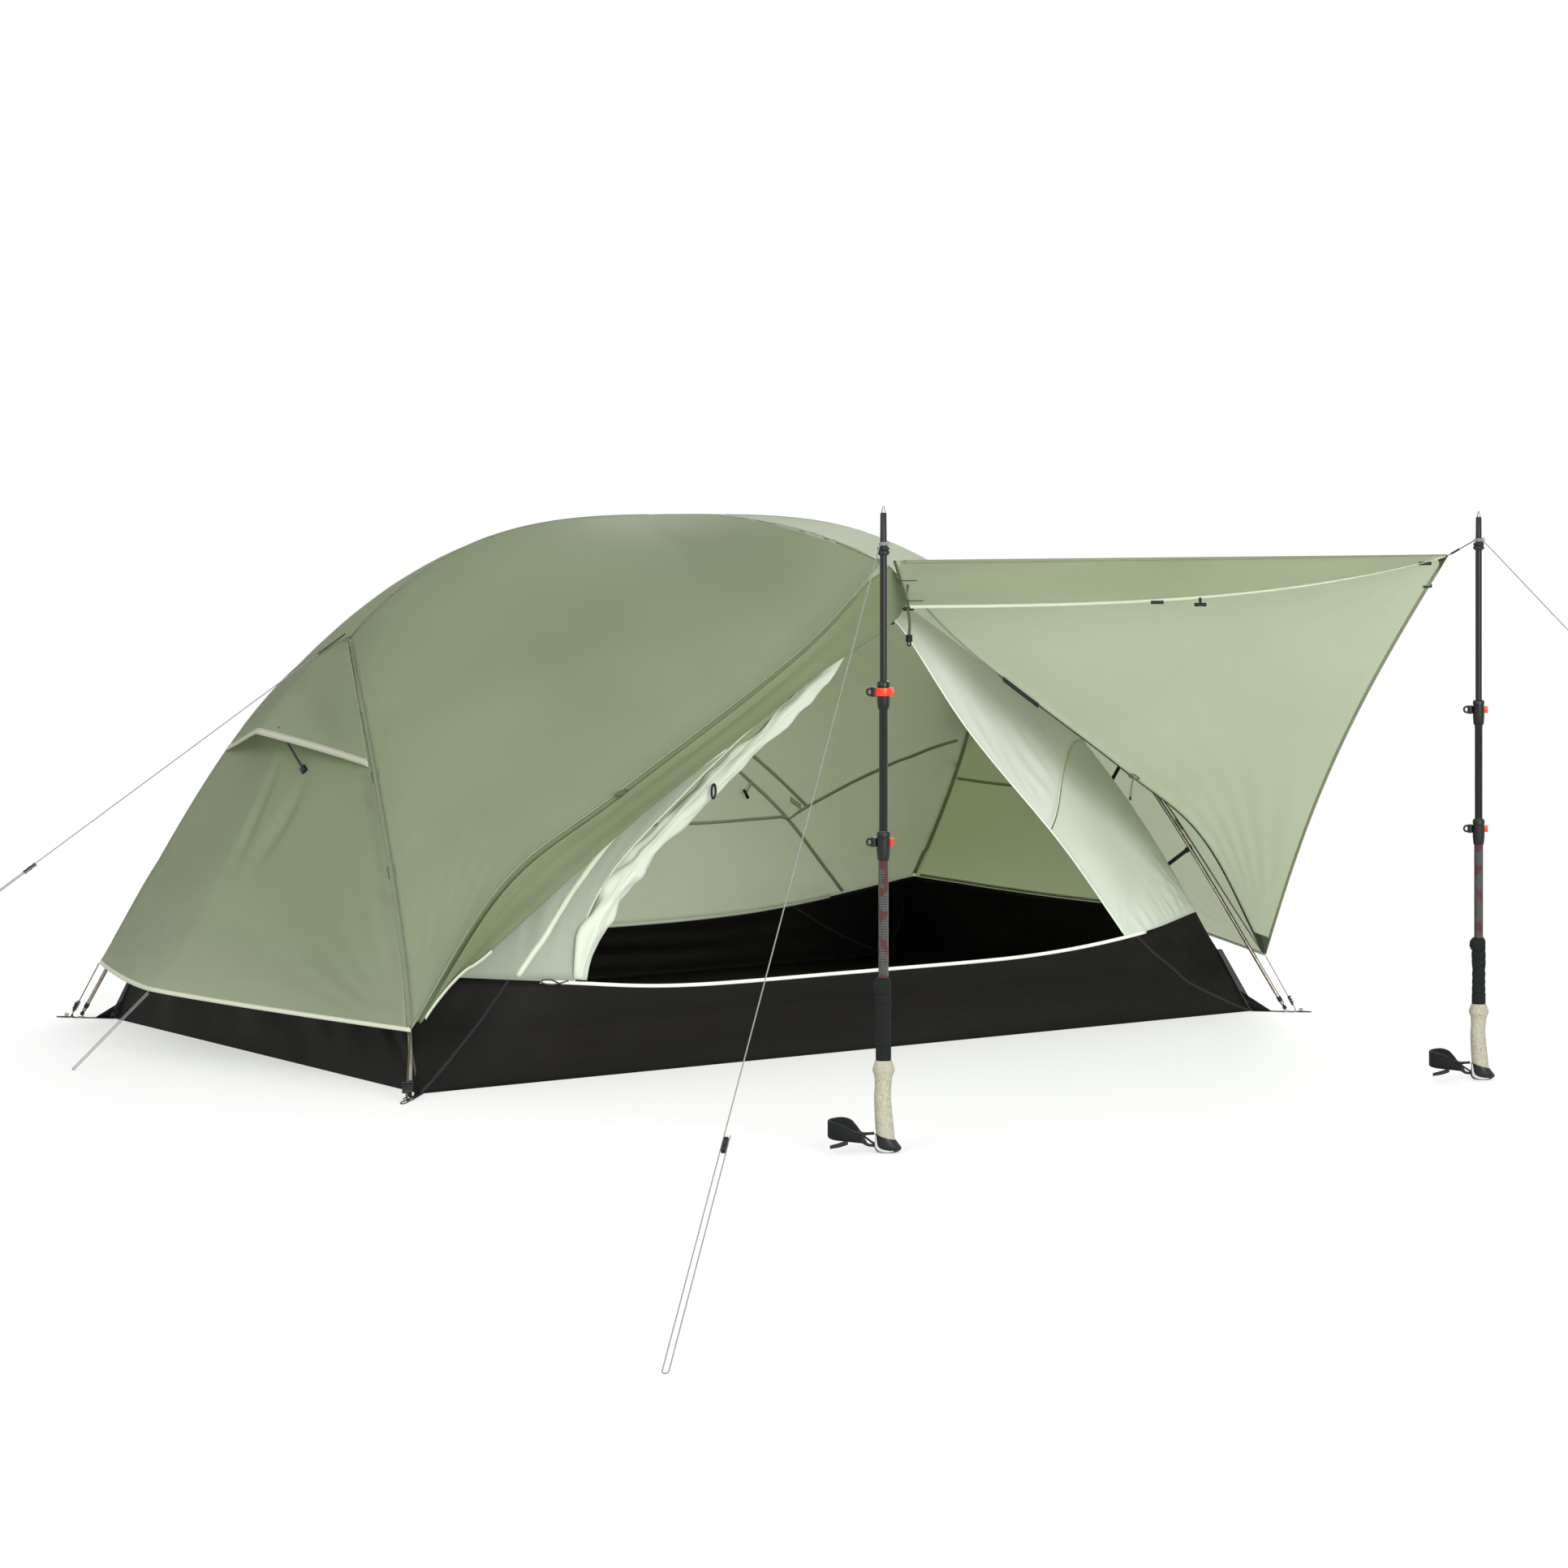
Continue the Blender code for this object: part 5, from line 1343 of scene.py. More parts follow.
def inner_tape_along(name, centre, width, on, steps, finish=inner_tape, **settings):
    """A tape on the inner tent's cloth."""
    tape_along(name, centre, width, on, steps, finish, slot="inner_cloth", **settings)


def piping(name, near, reach, above, below, finish):
    """A piping along a tub side's top edge, out to a share of it either way."""

    def edge(lift):
        return lambda t: mirrored(tub_edge(near)(abs(2 * t - 1) * reach), t < 0.5, near) + ZED * lift

    band(name, (edge(above), edge(-below)), 120, finish, slot="floor_cloth", thickness=0.003)


for side, left in SIDES:
    for depth, near in DEPTHS:
        on = [name for name in woven if name.startswith(f"wall_{depth}_{side}")] + [f"inner_{side}"]
        leg = quarter(inner_leg(), left, near)
        inner_tape_along(f"inner_leg_seam_{depth}_{side}", leg, 0.008, on, 70, start=0.02, end=0.99)
    on = [name for name in woven if name.startswith("wall") and name.split("_")[2] == side]
    ridge = quarter(inner_ridge(), left, False)
    inner_tape_along(f"inner_ridge_seam_{side}", ridge, SEAM, on, 60, start=0.02)
for name, pairs in FAR_SEAMS.items():
    inner_tape_along(name, on_far_wall(pairs), 0.008, FAR_WALLS, 80, start=0.004, end=0.996)
end_wall = inner_end_surface(False)
for name, down, width in (("end_cross_seam", 0.65, 0.007), ("end_lower_seam", 0.994, 0.006)):
    inner_tape_along(name, lambda t: end_wall(0.02 + 0.96 * t, down), width, ["inner_right"], 50)
left_wall, near_wall = wall_surface("left", "near"), wall_surface("right", "near")
zip_line = through([left_wall(u, v) for u, v in ((0.975, 0.695), (0.93, 0.74), (0.86, 0.82), (0.65, 0.995))])
inner_tape_along("near_left_zip", zip_line, 0.011, ["wall_near_left"], 60, pale_tape)
inner_tape_along("near_cross_seam", lambda t: near_wall(t, cross_seam(t)), 0.009, ["wall_near_right_net"], 60,
                 pale_tape, start=0.01, end=0.99)
for side, left, width, finish in (("left", True, 0.006, pale_tape), ("right", False, 0.011, white_zip)):
    on = [name for name in woven if name.startswith(f"wall_near_{side}")]
    inner_tape_along(f"doorway_zip_{side}", quarter(door_side(left), left, True), width, on, 80, finish,
                     thickness=0.0024)
piping("tub_piping", True, TUB_ZIP, 0.003, 0.004, white_tape)
piping("far_piping", False, 0.8, 0.004, 0.003, pale_tape)
print("inner seams and zips ready")

# %% [markdown]
# ## The inner door, rolled up
# The inner door is rolled along its left side and held by toggles. Its section is a spiral, as in a real
# roll, so the sheet has nearly its whole cut width in it; soft folds run along its outer turns.

# %% Inner roll
ROLL_TURNS = 4.5
ROLL_RADIUS = 0.023
ROLL_TIES = (0.30, 0.62)
TIE_WIDTH = 0.04


def roll_surface(u, w):
    """The rolled door at a share along it and a share of its cloth's own width, from core to outside."""
    side = quarter(door_side(True), True, True)
    t = 0.08 + 0.914 * u
    along = (side(t + 0.01) - side(t - 0.01)).normalized()
    away = along.cross(Vector((0, 1, 0))).normalized()
    away *= math.copysign(1, away.x)
    across = away.cross(along)
    swell = min(1 + 0.30 * soft((u - 0.45) * 3), 0.45 + 3.2 * u, 0.7 + 5 * (1 - u))
    upper, lower = (math.exp(-((u - tie) / TIE_WIDTH) ** 2) for tie in ROLL_TIES)
    pinch = 1 - 0.30 * upper - 0.22 * lower
    angle = 2 * math.pi * ROLL_TURNS * w + 1.5 * u
    spread = 0.14 + 0.86 * w
    crumple = noise.noise(Vector((math.cos(angle) * 1.4, math.sin(angle) * 1.4, 16 * u)))
    fold = 1 + w * (0.10 * math.cos(3 * angle + 7 * u) + 0.07 * math.cos(5 * angle - 11 * u) + 0.55 * crumple)
    out = ROLL_RADIUS * 0.90 * swell * pinch * spread * fold
    centre = side(t) + away * (ROLL_RADIUS * 1.084 + 0.003) * (1 - 0.7 * soft((u - 0.80) / 0.2))
    return centre + (away * math.cos(angle) + across * math.sin(angle)) * out


inner_panel("inner_door", roll_surface, (120, 160), door_poly, ["inner_door_rolled"], held="folded",
            on=["brow_pole"])
print("inner door cut:", sheets["inner_door"])

# %% [markdown]
# ## Poles and hubs
# The poles are anodised aluminium tube, 8.5 mm across, in sections that plug into ferrules. Each section
# shows as a short collar. Every leg ends in a turned tip with a ball that sits in the corner strap's eye.

# %% Poles


def rod(name, points, radius, finish, body, slot, *nodes, radii=None, kind="POLY"):
    """A round bar or cord along points: a curve with a round bevel."""
    curve = bpy.data.curves.new(name, "CURVE")
    curve.dimensions = "3D"
    curve.bevel_depth = radius
    curve.bevel_resolution = 4
    curve.use_fill_caps = True
    spline = curve.splines.new(kind)
    spline.points.add(len(points) - 1)
    for i, point in enumerate(points):
        spline.points[i].co = (*point, 1.0)
        spline.points[i].radius = radii[i] if radii else 1.0
    return place(name, curve, finish, body, slot, *nodes)


def sampled(curve, count, start=0.0, end=1.0):
    """Points at even shares of a curve."""
    return [curve(start + (end - start) * i / count) for i in range(count + 1)]


def lathe(name, centre, profile, finish, body, slot, *nodes, axis=ZED, steps=32, sharp=40):
    """A turned piece: a profile of radius and height, spun about an axis through centre."""
    bm = bmesh.new()
    flat = bm.loops.layers.uv.new("UVMap")
    verts = [bm.verts.new((radius, 0, height)) for radius, height in profile]
    edges = [bm.edges.new(pair) for pair in zip(verts, verts[1:])]
    if profile[0][0] > 1e-6 and profile[-1][0] > 1e-6:
        edges.append(bm.edges.new((verts[-1], verts[0])))
    bmesh.ops.spin(bm, geom=verts + edges, cent=(0, 0, 0), axis=(0, 0, 1), angle=2 * math.pi, steps=steps,
                   use_merge=True)
    bmesh.ops.remove_doubles(bm, verts=bm.verts, dist=1e-6)
    bmesh.ops.dissolve_degenerate(bm, edges=bm.edges, dist=1e-7)
    bmesh.ops.recalc_face_normals(bm, faces=bm.faces)
    for face in bm.faces:
        middle = face.calc_center_median()
        heading = math.atan2(middle.y, middle.x)
        for loop in face.loops:
            spot = loop.vert.co
            turn = math.remainder(math.atan2(spot.y, spot.x) - heading, 2 * math.pi) + heading
            loop[flat].uv = (turn * math.hypot(spot.x, spot.y), spot.z)
    swing = ZED.rotation_difference(Vector(axis)).to_matrix().to_4x4()
    bmesh.ops.transform(bm, matrix=Matrix.Translation(centre) @ swing, verts=bm.verts)
    return place(name, finished(name, bm, sharp), finish, body, slot, *nodes)


def along_of(curve, t):
    """The direction of a curve at a share of it."""
    return (curve(min(t + 0.01, 1)) - curve(max(t - 0.01, 0))).normalized()


def ferrule(name, curve, t):
    """The collar where one pole section plugs into the next."""
    rim, wall = POLE_RADIUS + 0.0002, POLE_RADIUS + 0.0007
    profile = [(0.0, -0.017), (rim, -0.017), (wall, -0.016), (wall, 0.016), (rim, 0.017), (0.0, 0.017)]
    lathe(name, curve(t), profile, steel, "tent", "pole_alloy", axis=along_of(curve, t), steps=20)


MOULDED = (abs_black, "tent", "black_plastic")
TUBE = (POLE_RADIUS, alloy, "tent", "pole_alloy")
LEG_TIP = [(0.0, -0.004), (0.0052, -0.004), (0.0052, 0.006), (0.0040, 0.008), (0.0026, 0.010),
           (0.0026, 0.018), (0.0040, 0.0205), (0.0047, 0.0235), (0.0040, 0.0265), (0.0, 0.0285)]
LEG_TIP_REACH = 0.030
BROW_CAP = [(0.0, -0.014), (0.0054, -0.014), (0.0054, 0.002), (0.0, 0.006)]
for side, left in SIDES:
    half = ridge_pole_line(left)
    for k, t in enumerate((0.30, 0.66)):
        ferrule(f"ridge_ferrule_{side}_{k}", half, t)
    for depth, near in DEPTHS:
        pole = quarter(leg_pole(), left, near)
        rod(f"leg_{depth}_{side}", sampled(pole, 48, 0.03, 0.985), *TUBE, f"leg_pole_{depth}_{side}")
        ferrule(f"leg_ferrule_{depth}_{side}", pole, 0.5)
        down = along_of(pole, 1.0)
        foot = pole(1.0) - down * LEG_TIP_REACH
        lathe(f"leg_tip_{depth}_{side}", foot, LEG_TIP, *MOULDED, axis=down, steps=24)
left_half, right_half = (sampled(ridge_pole_line(left), 40, 0.03) for left in (True, False))
rod("ridge", left_half + right_half[-2::-1], *TUBE, "ridge_pole")


def brow_pole_line(t):
    """The brow pole, from the near tip at 0 to the far one at 1."""
    spot = fly_brow()(abs(2 * t - 1) * 0.985)
    return Vector((0, math.copysign(spot.y, t - 0.5), spot.z - BROW_COVER))


rod("brow", sampled(brow_pole_line, 60), *TUBE, "brow_pole")
for k, t in enumerate((0.22, 0.78)):
    ferrule(f"brow_ferrule_{k}", brow_pole_line, t)
for k, (t, out) in enumerate(((0.0, -1), (1.0, 1))):
    lathe(f"brow_cap_{k}", brow_pole_line(t), BROW_CAP, *MOULDED, axis=(0, out, -0.35), steps=20)
print("poles ready")

# %% [markdown]
# ## Hubs and the swivel
# Three poles meet in each hub: a moulded ball with three sockets, each with a rim. The brow pole turns on
# a riveted swivel over the ridge.

# %% Hubs
HUB_BALL = [(0.0, -0.0105), (0.0060, -0.0088), (0.0092, -0.0052), (0.0105, 0.0), (0.0092, 0.0052),
            (0.0060, 0.0088), (0.0, 0.0105)]
HUB_SOCKET = [(0.0048, 0.004), (0.0064, 0.006), (0.0064, 0.0265), (0.0075, 0.0275), (0.0075, 0.0305),
              (0.0048, 0.0305)]
SWIVEL = [(0.0, 0.0), (0.0115, 0.0), (0.0125, 0.001), (0.0125, 0.0058), (0.0, 0.0068)]
SWIVEL_HEIGHT = PEAK_HEIGHT - RIDGE_COVER + 0.0046
for side, left in SIDES:
    core = Vector((-HUB_X if left else HUB_X, 0, HUB_HEIGHT))
    lathe(f"hub_ball_{side}", core, HUB_BALL, *MOULDED, f"hub_{side}", sharp=80)
    legs = [quarter(leg_pole(), left, near)(0.05) for near in (True, False)]
    for k, towards in enumerate([ridge_pole_line(left)(0.05), *legs]):
        lathe(f"hub_socket_{side}_{k}", core, HUB_SOCKET, *MOULDED, axis=towards - core, steps=28)
lathe("swivel", ZED * SWIVEL_HEIGHT, SWIVEL, *MOULDED, "brow_swivel", steps=36)
print("hubs ready")

# %% [markdown]
# ## Corner straps
# At each corner a webbing strap runs from the tub, through a buckle at the pole tip, and up to the
# flysheet, with a loop of thin cord for the peg. The buckle is moulded: a bevelled block with a grip.

# %% Corner straps


def block(name, centre, size, body="tent", axes=None, bevel=0.0008):
    """A black moulded block with rounded edges, on its own axes."""
    bm = bmesh.new()
    bmesh.ops.create_cube(bm, size=1.0)
    bmesh.ops.scale(bm, vec=size, verts=bm.verts)
    bmesh.ops.bevel(bm, geom=bm.edges[:], offset=bevel, segments=3, profile=0.5, affect="EDGES", material=-1)
    turn = axes.to_4x4() if axes else Matrix.Identity(4)
    bmesh.ops.transform(bm, matrix=Matrix.Translation(centre) @ turn, verts=bm.verts)
    return place(name, finished(name, bm, 50), abs_black, body, "black_plastic")


def axes_along(along, up=ZED):
    """A turn whose x axis runs along a direction, with z as near up as it can be."""
    x = Vector(along).normalized()
    y = Vector(up).cross(x).normalized()
    return Matrix((x, y, x.cross(y))).transposed()


def strap(name, points, width, across, finish=black_web, body="tent", slot="webbing", thickness=0.0013):
    """Flat webbing along points, as wide across a given direction."""
    path = through(points)
    half = Vector(across).normalized() * width / 2
    edges = (lambda t: path(t) - half, lambda t: path(t) + half)
    return band(name, edges, 10 * len(points), finish, body, slot, thickness=thickness)


def corner_points(left, near):
    """The strap's run from the tub over the ground, past the pole tip and up to the fly's corner."""
    ground = ZED * 0.0009
    start = Vector((HALF_L, HALF_W, 0)) + DIAGONAL * 0.0006 + ground
    turn = Vector((TIP_X, TIP_Y, 0)) + ground + DIAGONAL * 0.016
    rise = turn + DIAGONAL * 0.004 + ZED * 0.006
    end = FLY_CORNER + (rise - FLY_CORNER).normalized() * 0.0009
    points = [start, start.lerp(turn, 0.5), turn, rise, rise.lerp(end, 0.5), end]
    return [mirrored(p, left, near) for p in points]


BUCKLE = (((0, 0, 0), (0.022, 0.019, 0.0045)), ((0.0085, 0, 0.002), (0.004, 0.021, 0.006)),
          ((-0.004, 0, 0.003), (0.003, 0.017, 0.004)), ((0.002, 0, 0.003), (0.003, 0.017, 0.004)))
BEAD = [(0.0, -0.004), (0.003, -0.004), (0.0034, 0.0), (0.003, 0.004), (0.0, 0.004)]
LOOP_REACH = 0.030
LOOP_HEIGHT = 0.0014
for side, left in SIDES:
    for depth, near in DEPTHS:
        points = corner_points(left, near)
        out = mirrored(DIAGONAL, left, near)
        across = Vector((out.y, -out.x, 0))
        lower = strap(f"strap_ground_{depth}_{side}", points[:4], 0.012, across)
        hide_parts(f"corner_strap_{depth}_{side}")
        strap(f"strap_rise_{depth}_{side}", points[3:], 0.0045, across, dark_tape)
        buckle_at = points[3].lerp(points[5], 0.16)
        turn = axes_along(points[5] - points[3], out)
        for k, (shift, size) in enumerate(BUCKLE):
            block(f"buckle_{depth}_{side}_{k}", buckle_at + turn @ Vector(shift), size, axes=turn)
        tip = mirrored(Vector((TIP_X, TIP_Y, 0)), left, near)
        eye = [tip + ZED * 0.0016 + Vector((math.cos(a), math.sin(a), 0)) * 0.0085
               for a in [2 * math.pi * k / 24 for k in range(25)]]
        rod(f"eye_{depth}_{side}", eye, 0.0012, steel, "tent", "webbing")
        reach = points[3] + out * 0.002
        stake = reach + out * LOOP_REACH
        half = reach.lerp(stake, 0.5)
        loop = [reach + across * 0.004, half + across * 0.0055, stake + across * 0.003, stake + out * 0.003,
                stake - across * 0.003, half - across * 0.0055, reach - across * 0.004]
        smooth = [Vector((p.x, p.y, LOOP_HEIGHT)) for p in sampled(through(loop), 30)]
        rod(f"stake_loop_{depth}_{side}", smooth, 0.0011, dark_cord, "tent", "webbing")
        lathe(f"stake_bead_{depth}_{side}", reach.lerp(stake, 0.35), BEAD, steel, "tent", "webbing", axis=out,
              steps=16)
print("corner straps ready")

# %% [markdown]
# ## Struts, hooks, ties and toggles
# A vent strut is a flat bar on a moulded foot. Hooks hang the inner tent from the leg poles, toggles and
# ties hold the rolled doors, and a few stand ready on the awning's strip.

# %% Small fittings
HOOK_SHARES = ((0.30, 0.40), (0.45, 0.60), (0.65, 0.868))
FRONT = Vector((0, -1, 0))
TOGGLE = [(0.0, -0.0125), (0.0028, -0.0125), (0.0042, -0.009), (0.0032, 0.0), (0.0042, 0.009),
          (0.0028, 0.0125), (0.0, 0.0125)]
TIE_END = [(0.0, -0.004), (0.0026, -0.004), (0.0026, 0.004), (0.0, 0.004)]
TUB_TIE = ((0, 0, -0.004, -0.006), (1, 0, -0.005, 0.004), (2, 0.004, -0.004, 0.0), (1, 0, -0.005, -0.006),
           (0, 0.012, -0.004, 0.002))
STRUT_DROP = 0.075
RIGHT_TIE, LEFT_TIE = 0.573, 0.55


def toggle(name, spot, hang, body, slot, way=(1, 0, 0), tape=dark_tape):
    """A short tape with a bar across its end."""
    end = spot + Vector(hang)
    strap(f"{name}_tape", [spot, spot.lerp(end, 0.5), end], 0.006, way, tape, body, slot)
    lathe(f"{name}_bar", end, TOGGLE, abs_black, body, "black_plastic", axis=way, steps=16)


def ring(name, centre, wide, high, radius, finish, body, slot, way):
    """A closed loop of cord, as wide along one direction and as high upwards as given."""
    way = Vector(way).normalized()
    turns = [2 * math.pi * k / 32 for k in range(33)]
    points = [centre + way * wide * math.cos(a) + ZED * high * math.sin(a) for a in turns]
    rod(name, points, radius, finish, body, slot)


def steps_from(start, *shifts):
    """Points at given shifts from a start."""
    return [start + Vector(shift) for shift in shifts]


for side, left in SIDES:
    end, hood = end_surface(left), hood_surface(left)
    height = HOOD_HEIGHT - STRUT_DROP
    foot = min((end(0.335, v / 200) for v in range(201)), key=lambda point: abs(point.z - height))
    head = hood(0.43, 0.93)
    way = (head - foot).normalized()
    foot, head = foot + way * 0.004, head - way * 0.002
    turn = axes_along(way, (1, 0, 0))
    long = (head - foot).length
    bar = block(f"strut_bar_{side}", foot.lerp(head, 0.5), (long, 0.006, 0.0024), f"strut_{side}", turn)
    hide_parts(f"vent_strut_{side}")
    block(f"strut_foot_{side}", foot + way * 0.004, (0.014, 0.015, 0.009), f"strut_{side}", turn, 0.0018)
    for depth, near in DEPTHS:
        pole, under = quarter(leg_pole(), left, near), quarter(inner_leg(), left, near)
        for k, (high, low) in enumerate(HOOK_SHARES):
            start, top, along = under(low), pole(high), along_of(pole, high)
            way = (start - top).normalized()
            reach = top + way * 0.012
            strap(f"hook_tape_{depth}_{side}_{k}", [start, start.lerp(reach, 0.5), reach], 0.009, along)
            turn = axes_along(way, along)
            block(f"hook_{depth}_{side}_{k}", top + way * 0.004, (0.019, 0.0035, 0.012), axes=turn)
for name, line_at, t in (("right", right_door, RIGHT_TIE), ("left", left_door, LEFT_TIE)):
    way = along_of(line_at, t)
    flat = Vector((way.x, way.y, way.z * 0.4))
    ring(f"door_tie_{name}", line_at(t) + FRONT * 0.006, 0.016, 0.004, 0.0016, olive_cord, "tent", "flysheet",
         flat)
tail = steps_from(right_door(RIGHT_TIE) + FRONT * 0.006, (0, 0, 0), (-0.008, -0.002, -0.018),
                  (-0.012, -0.002, -0.042), (-0.012, -0.002, -0.046))
rod("door_tie_tail", tail[:3], 0.0014, olive_cord, "tent", "flysheet")
lathe("door_tie_end", tail[3], TIE_END, *MOULDED, steps=16)
pull = [right_door(t) + FRONT * 0.004 - ZED * 0.004 for t in (0.285, 0.32, 0.36)]
strap("door_zip_pull", pull, 0.010, (0, -0.4, 1), slot="flysheet")
toggle("brow_toggle", strip_surface(STRIP_START + 0.012, 0.5) + FRONT * 0.003, (0.0, -0.002, -0.050),
       "awning cloth", "flysheet")
loop = steps_from(strip_surface(STRIP_START, 1.0), (0, 0, 0), (0.002, -0.003, -0.030),
                  (0.001, -0.003, -0.054), (0.001, -0.003, -0.061), (0.001, -0.003, -0.0715))
strap("brow_loop", loop[:3], 0.006, (1, 0, 0), dark_tape)
block("brow_cord_lock", loop[3], (0.011, 0.009, 0.015))
ring("brow_loop_ring", loop[4], 0.0042, 0.0050, 0.0014, *MOULDED, (1, 0, 0))
for k, v in enumerate((0.42, 0.84)):
    thread = [strip_surface(STRIP_START + x, v) + FRONT * 0.0016 for x in (0.0, 0.012, 0.022, 0.032)]
    rod(f"strip_tie_{k}", thread, 0.0009, dark_cord, "tent", "flysheet")
toggle("strip_toggle", strip_surface(0.552, 0.97) + FRONT * 0.002, (0.0, -0.001, -0.014), "awning cloth",
       "flysheet", AWNING_WAY, black_web)
for name, spot, reach in (
    ("strip_tab_0", strip_surface(0.462, 1.0) + FRONT * 0.002, 0.026),
    ("strip_tab_1", strip_surface(0.945, 0.9) + FRONT * 0.002, 0.026),
    ("edge_tab", awning_at(0.988, 0.075), 0.018),
):
    tab = [spot + AWNING_WAY * (reach * share) for share in (0, 0.5, 1)]
    strap(name, tab, 0.007, ZED, body="awning cloth", slot="flysheet")
block("doorway_hook", Vector((0.071, -0.66, 0.884)), (0.009, 0.004, 0.016))
far_spot = on_far_wall(((0.47, 0.73), (0.46, 0.735), (0.45, 0.74)))(0)
far_tab = on_far_wall(((0.36, 0.76), (0.34, 0.77), (0.33, 0.775)))
toggle("far_toggle", far_spot + FRONT * 0.004, (-0.022, -0.008, -0.028), "tent", "inner_cloth",
       (0.5, 0, -0.85), inner_tape)
strap("far_hook_tab", [far_tab(t) + FRONT * 0.004 for t in (0, 0.5, 1)], 0.014, ZED, inner_tape,
      slot="inner_cloth")
roll_side = quarter(door_side(True), True, True)
ring("roll_ring", roll_side(0.532) + Vector((0.030, -0.026, -0.012)), 0.006, 0.014, 0.0024, *MOULDED,
     (1, 0.2, 0.3))
tie = [mirrored(tub_edge(True)(0.695 + 0.025 * k), True, True) for k in range(3)]
loop = through([tie[k] + Vector(shift) for k, *shift in TUB_TIE])
rod("tub_tie", sampled(loop, 30), 0.0013, dark_cord, "tent", "floor_cloth")
print("fittings ready")

# %% [markdown]
# ## Guy lines
# Thin braided cord holds the trekking poles and the left hub. Each runs out to a peg, which the picture
# doesn't show, back up beside itself, and is held by a small bar that slides to tighten it. The cords
# are single curves of their real length, which is listed in cords.

# %% Guy lines
LINE = 0.0020
LINE_GAP = 0.0088
LINE_HEIGHT = 1.058
TIP_TUBE = 0.0062
GROUND = LINE / 2 + GAP
SLIDER = (0.028, 0.0062, 0.0058)
SLIDER_RIB = 0.0125
LEFT_STAKE_REACH = 1.14
END_STAKE_REACH = 0.409
cords = {}


def line_anchor(foot, towards, aside=0.0):
    """Where a line that leads away from a trekking pole's upper end begins, just off the pole."""
    centre = Vector((foot[0], foot[1], LINE_HEIGHT))
    flat = Vector((towards.x - centre.x, towards.y - centre.y, 0)).normalized()
    return centre + flat * math.sqrt((TIP_TUBE + GAP) ** 2 - max(0, aside - LINE / 2) ** 2)


def cord(name, node, points, finish, body="tent"):
    """A free cord on the part's own route, with its real length."""
    length = round(sum((b - a).length for a, b in zip(points, points[1:])), 3)
    piece = rod(name, points, LINE / 2, finish, body, "guy_line", node)
    tuple(points[0])
    cords[name] = length


def hairpin(anchor, stake, turn_back):
    """A cord drawn tight to a stake and back up beside itself to a share of its run."""
    along = (stake - anchor).normalized()
    side = along.cross(ZED).normalized() * LINE_GAP / 2
    bow = stake - along * LINE_GAP / 2
    points = [anchor.lerp(bow, i / 20) + side for i in range(20)]
    for i in range(9):
        angle = math.pi * i / 8
        points.append(bow + side * math.cos(angle) + along * LINE_GAP / 2 * math.sin(angle))
    return points + [bow.lerp(anchor, (1 - turn_back) * i / 8) - side for i in range(1, 9)]


near_stake, far_stake = Vector((*NEAR_STAKE, GROUND)), Vector((*FAR_STAKE, GROUND))
hub_anchor = Vector((-FLY_HUB_X - 0.0088, 0, FLY_HUB_Z + 0.0088))
left_stake = Vector((-HALF_L - LEFT_STAKE_REACH, 0, GROUND))
runs = (
    ("near", line_anchor(NEAR_FOOT, near_stake, LINE_GAP / 2), near_stake, 0.78),
    ("far", line_anchor(FAR_FOOT, far_stake, LINE_GAP / 2), far_stake, 0.78),
    ("left", hub_anchor, left_stake, 0.525),
)
for name, anchor, stake, share in runs:
    along = (stake - anchor).normalized()
    centre = anchor.lerp(stake, share)
    turn = axes_along(along)
    bar = block(f"bar_{name}", centre, SLIDER, f"slider_{name}", turn)
    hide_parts(f"tensioner_{name}")
    for k, reach in enumerate((-SLIDER_RIB, 0.0, SLIDER_RIB)):
        block(f"bar_rib_{name}_{k}", centre + along * reach, (0.003, 0.0066, 0.0072), f"slider_{name}", turn)
    cord(f"guy_{name}", f"guy_line_{name}", hairpin(anchor, stake, share - 0.008), braid)
for side, out in (("left", -1), ("right", 1)):
    hem_at = Vector((out * (HALF_L + END_HEM_REACH - CLOTH), 0, END_HEM_HEIGHT - LINE / 2 + GAP))
    stake = Vector((out * (HALF_L + END_STAKE_REACH), 0, GROUND))
    cord(f"end_cord_{side}", f"end_line_{side}", hairpin(hem_at, stake, 0.03), braid)
brow_end = Vector((0, -BROW_Y - CLOTH, BROW_HEIGHT))
start = line_anchor(NEAR_FOOT, brow_end)
cord("brow_cord", "brow_line", sampled(line(start, brow_end), 15), dark_cord)
start = line_anchor(FAR_FOOT, AWNING_CORNER)
awning_end = AWNING_CORNER + (start - AWNING_CORNER).normalized() * LINE
cord("awning_cord", "awning_line", sampled(line(start, awning_end), 15), dark_cord, body="awning")
sleeve = [awning_end.lerp(start, 0.10 + 0.25 * i / 8) for i in range(9)]
rod("awning_line_sleeve", sleeve, 0.0022, abs_black, "awning", "guy_line")
away = (left_stake - hub_anchor).normalized()
strap("hub_line_tab", [hub_anchor + away * x + ZED * 0.0022 for x in (0.0, 0.03, 0.075)], 0.006, (0, 1, 0))
print("cords, in metres:", cords)

# %% [markdown]
# ## The trekking poles
# Each pole has three telescoping tubes. It stands upside down, on its handle, with its steel tip in the
# air. The two clamps are alike: a moulded sleeve with a red lever that hooks round it.

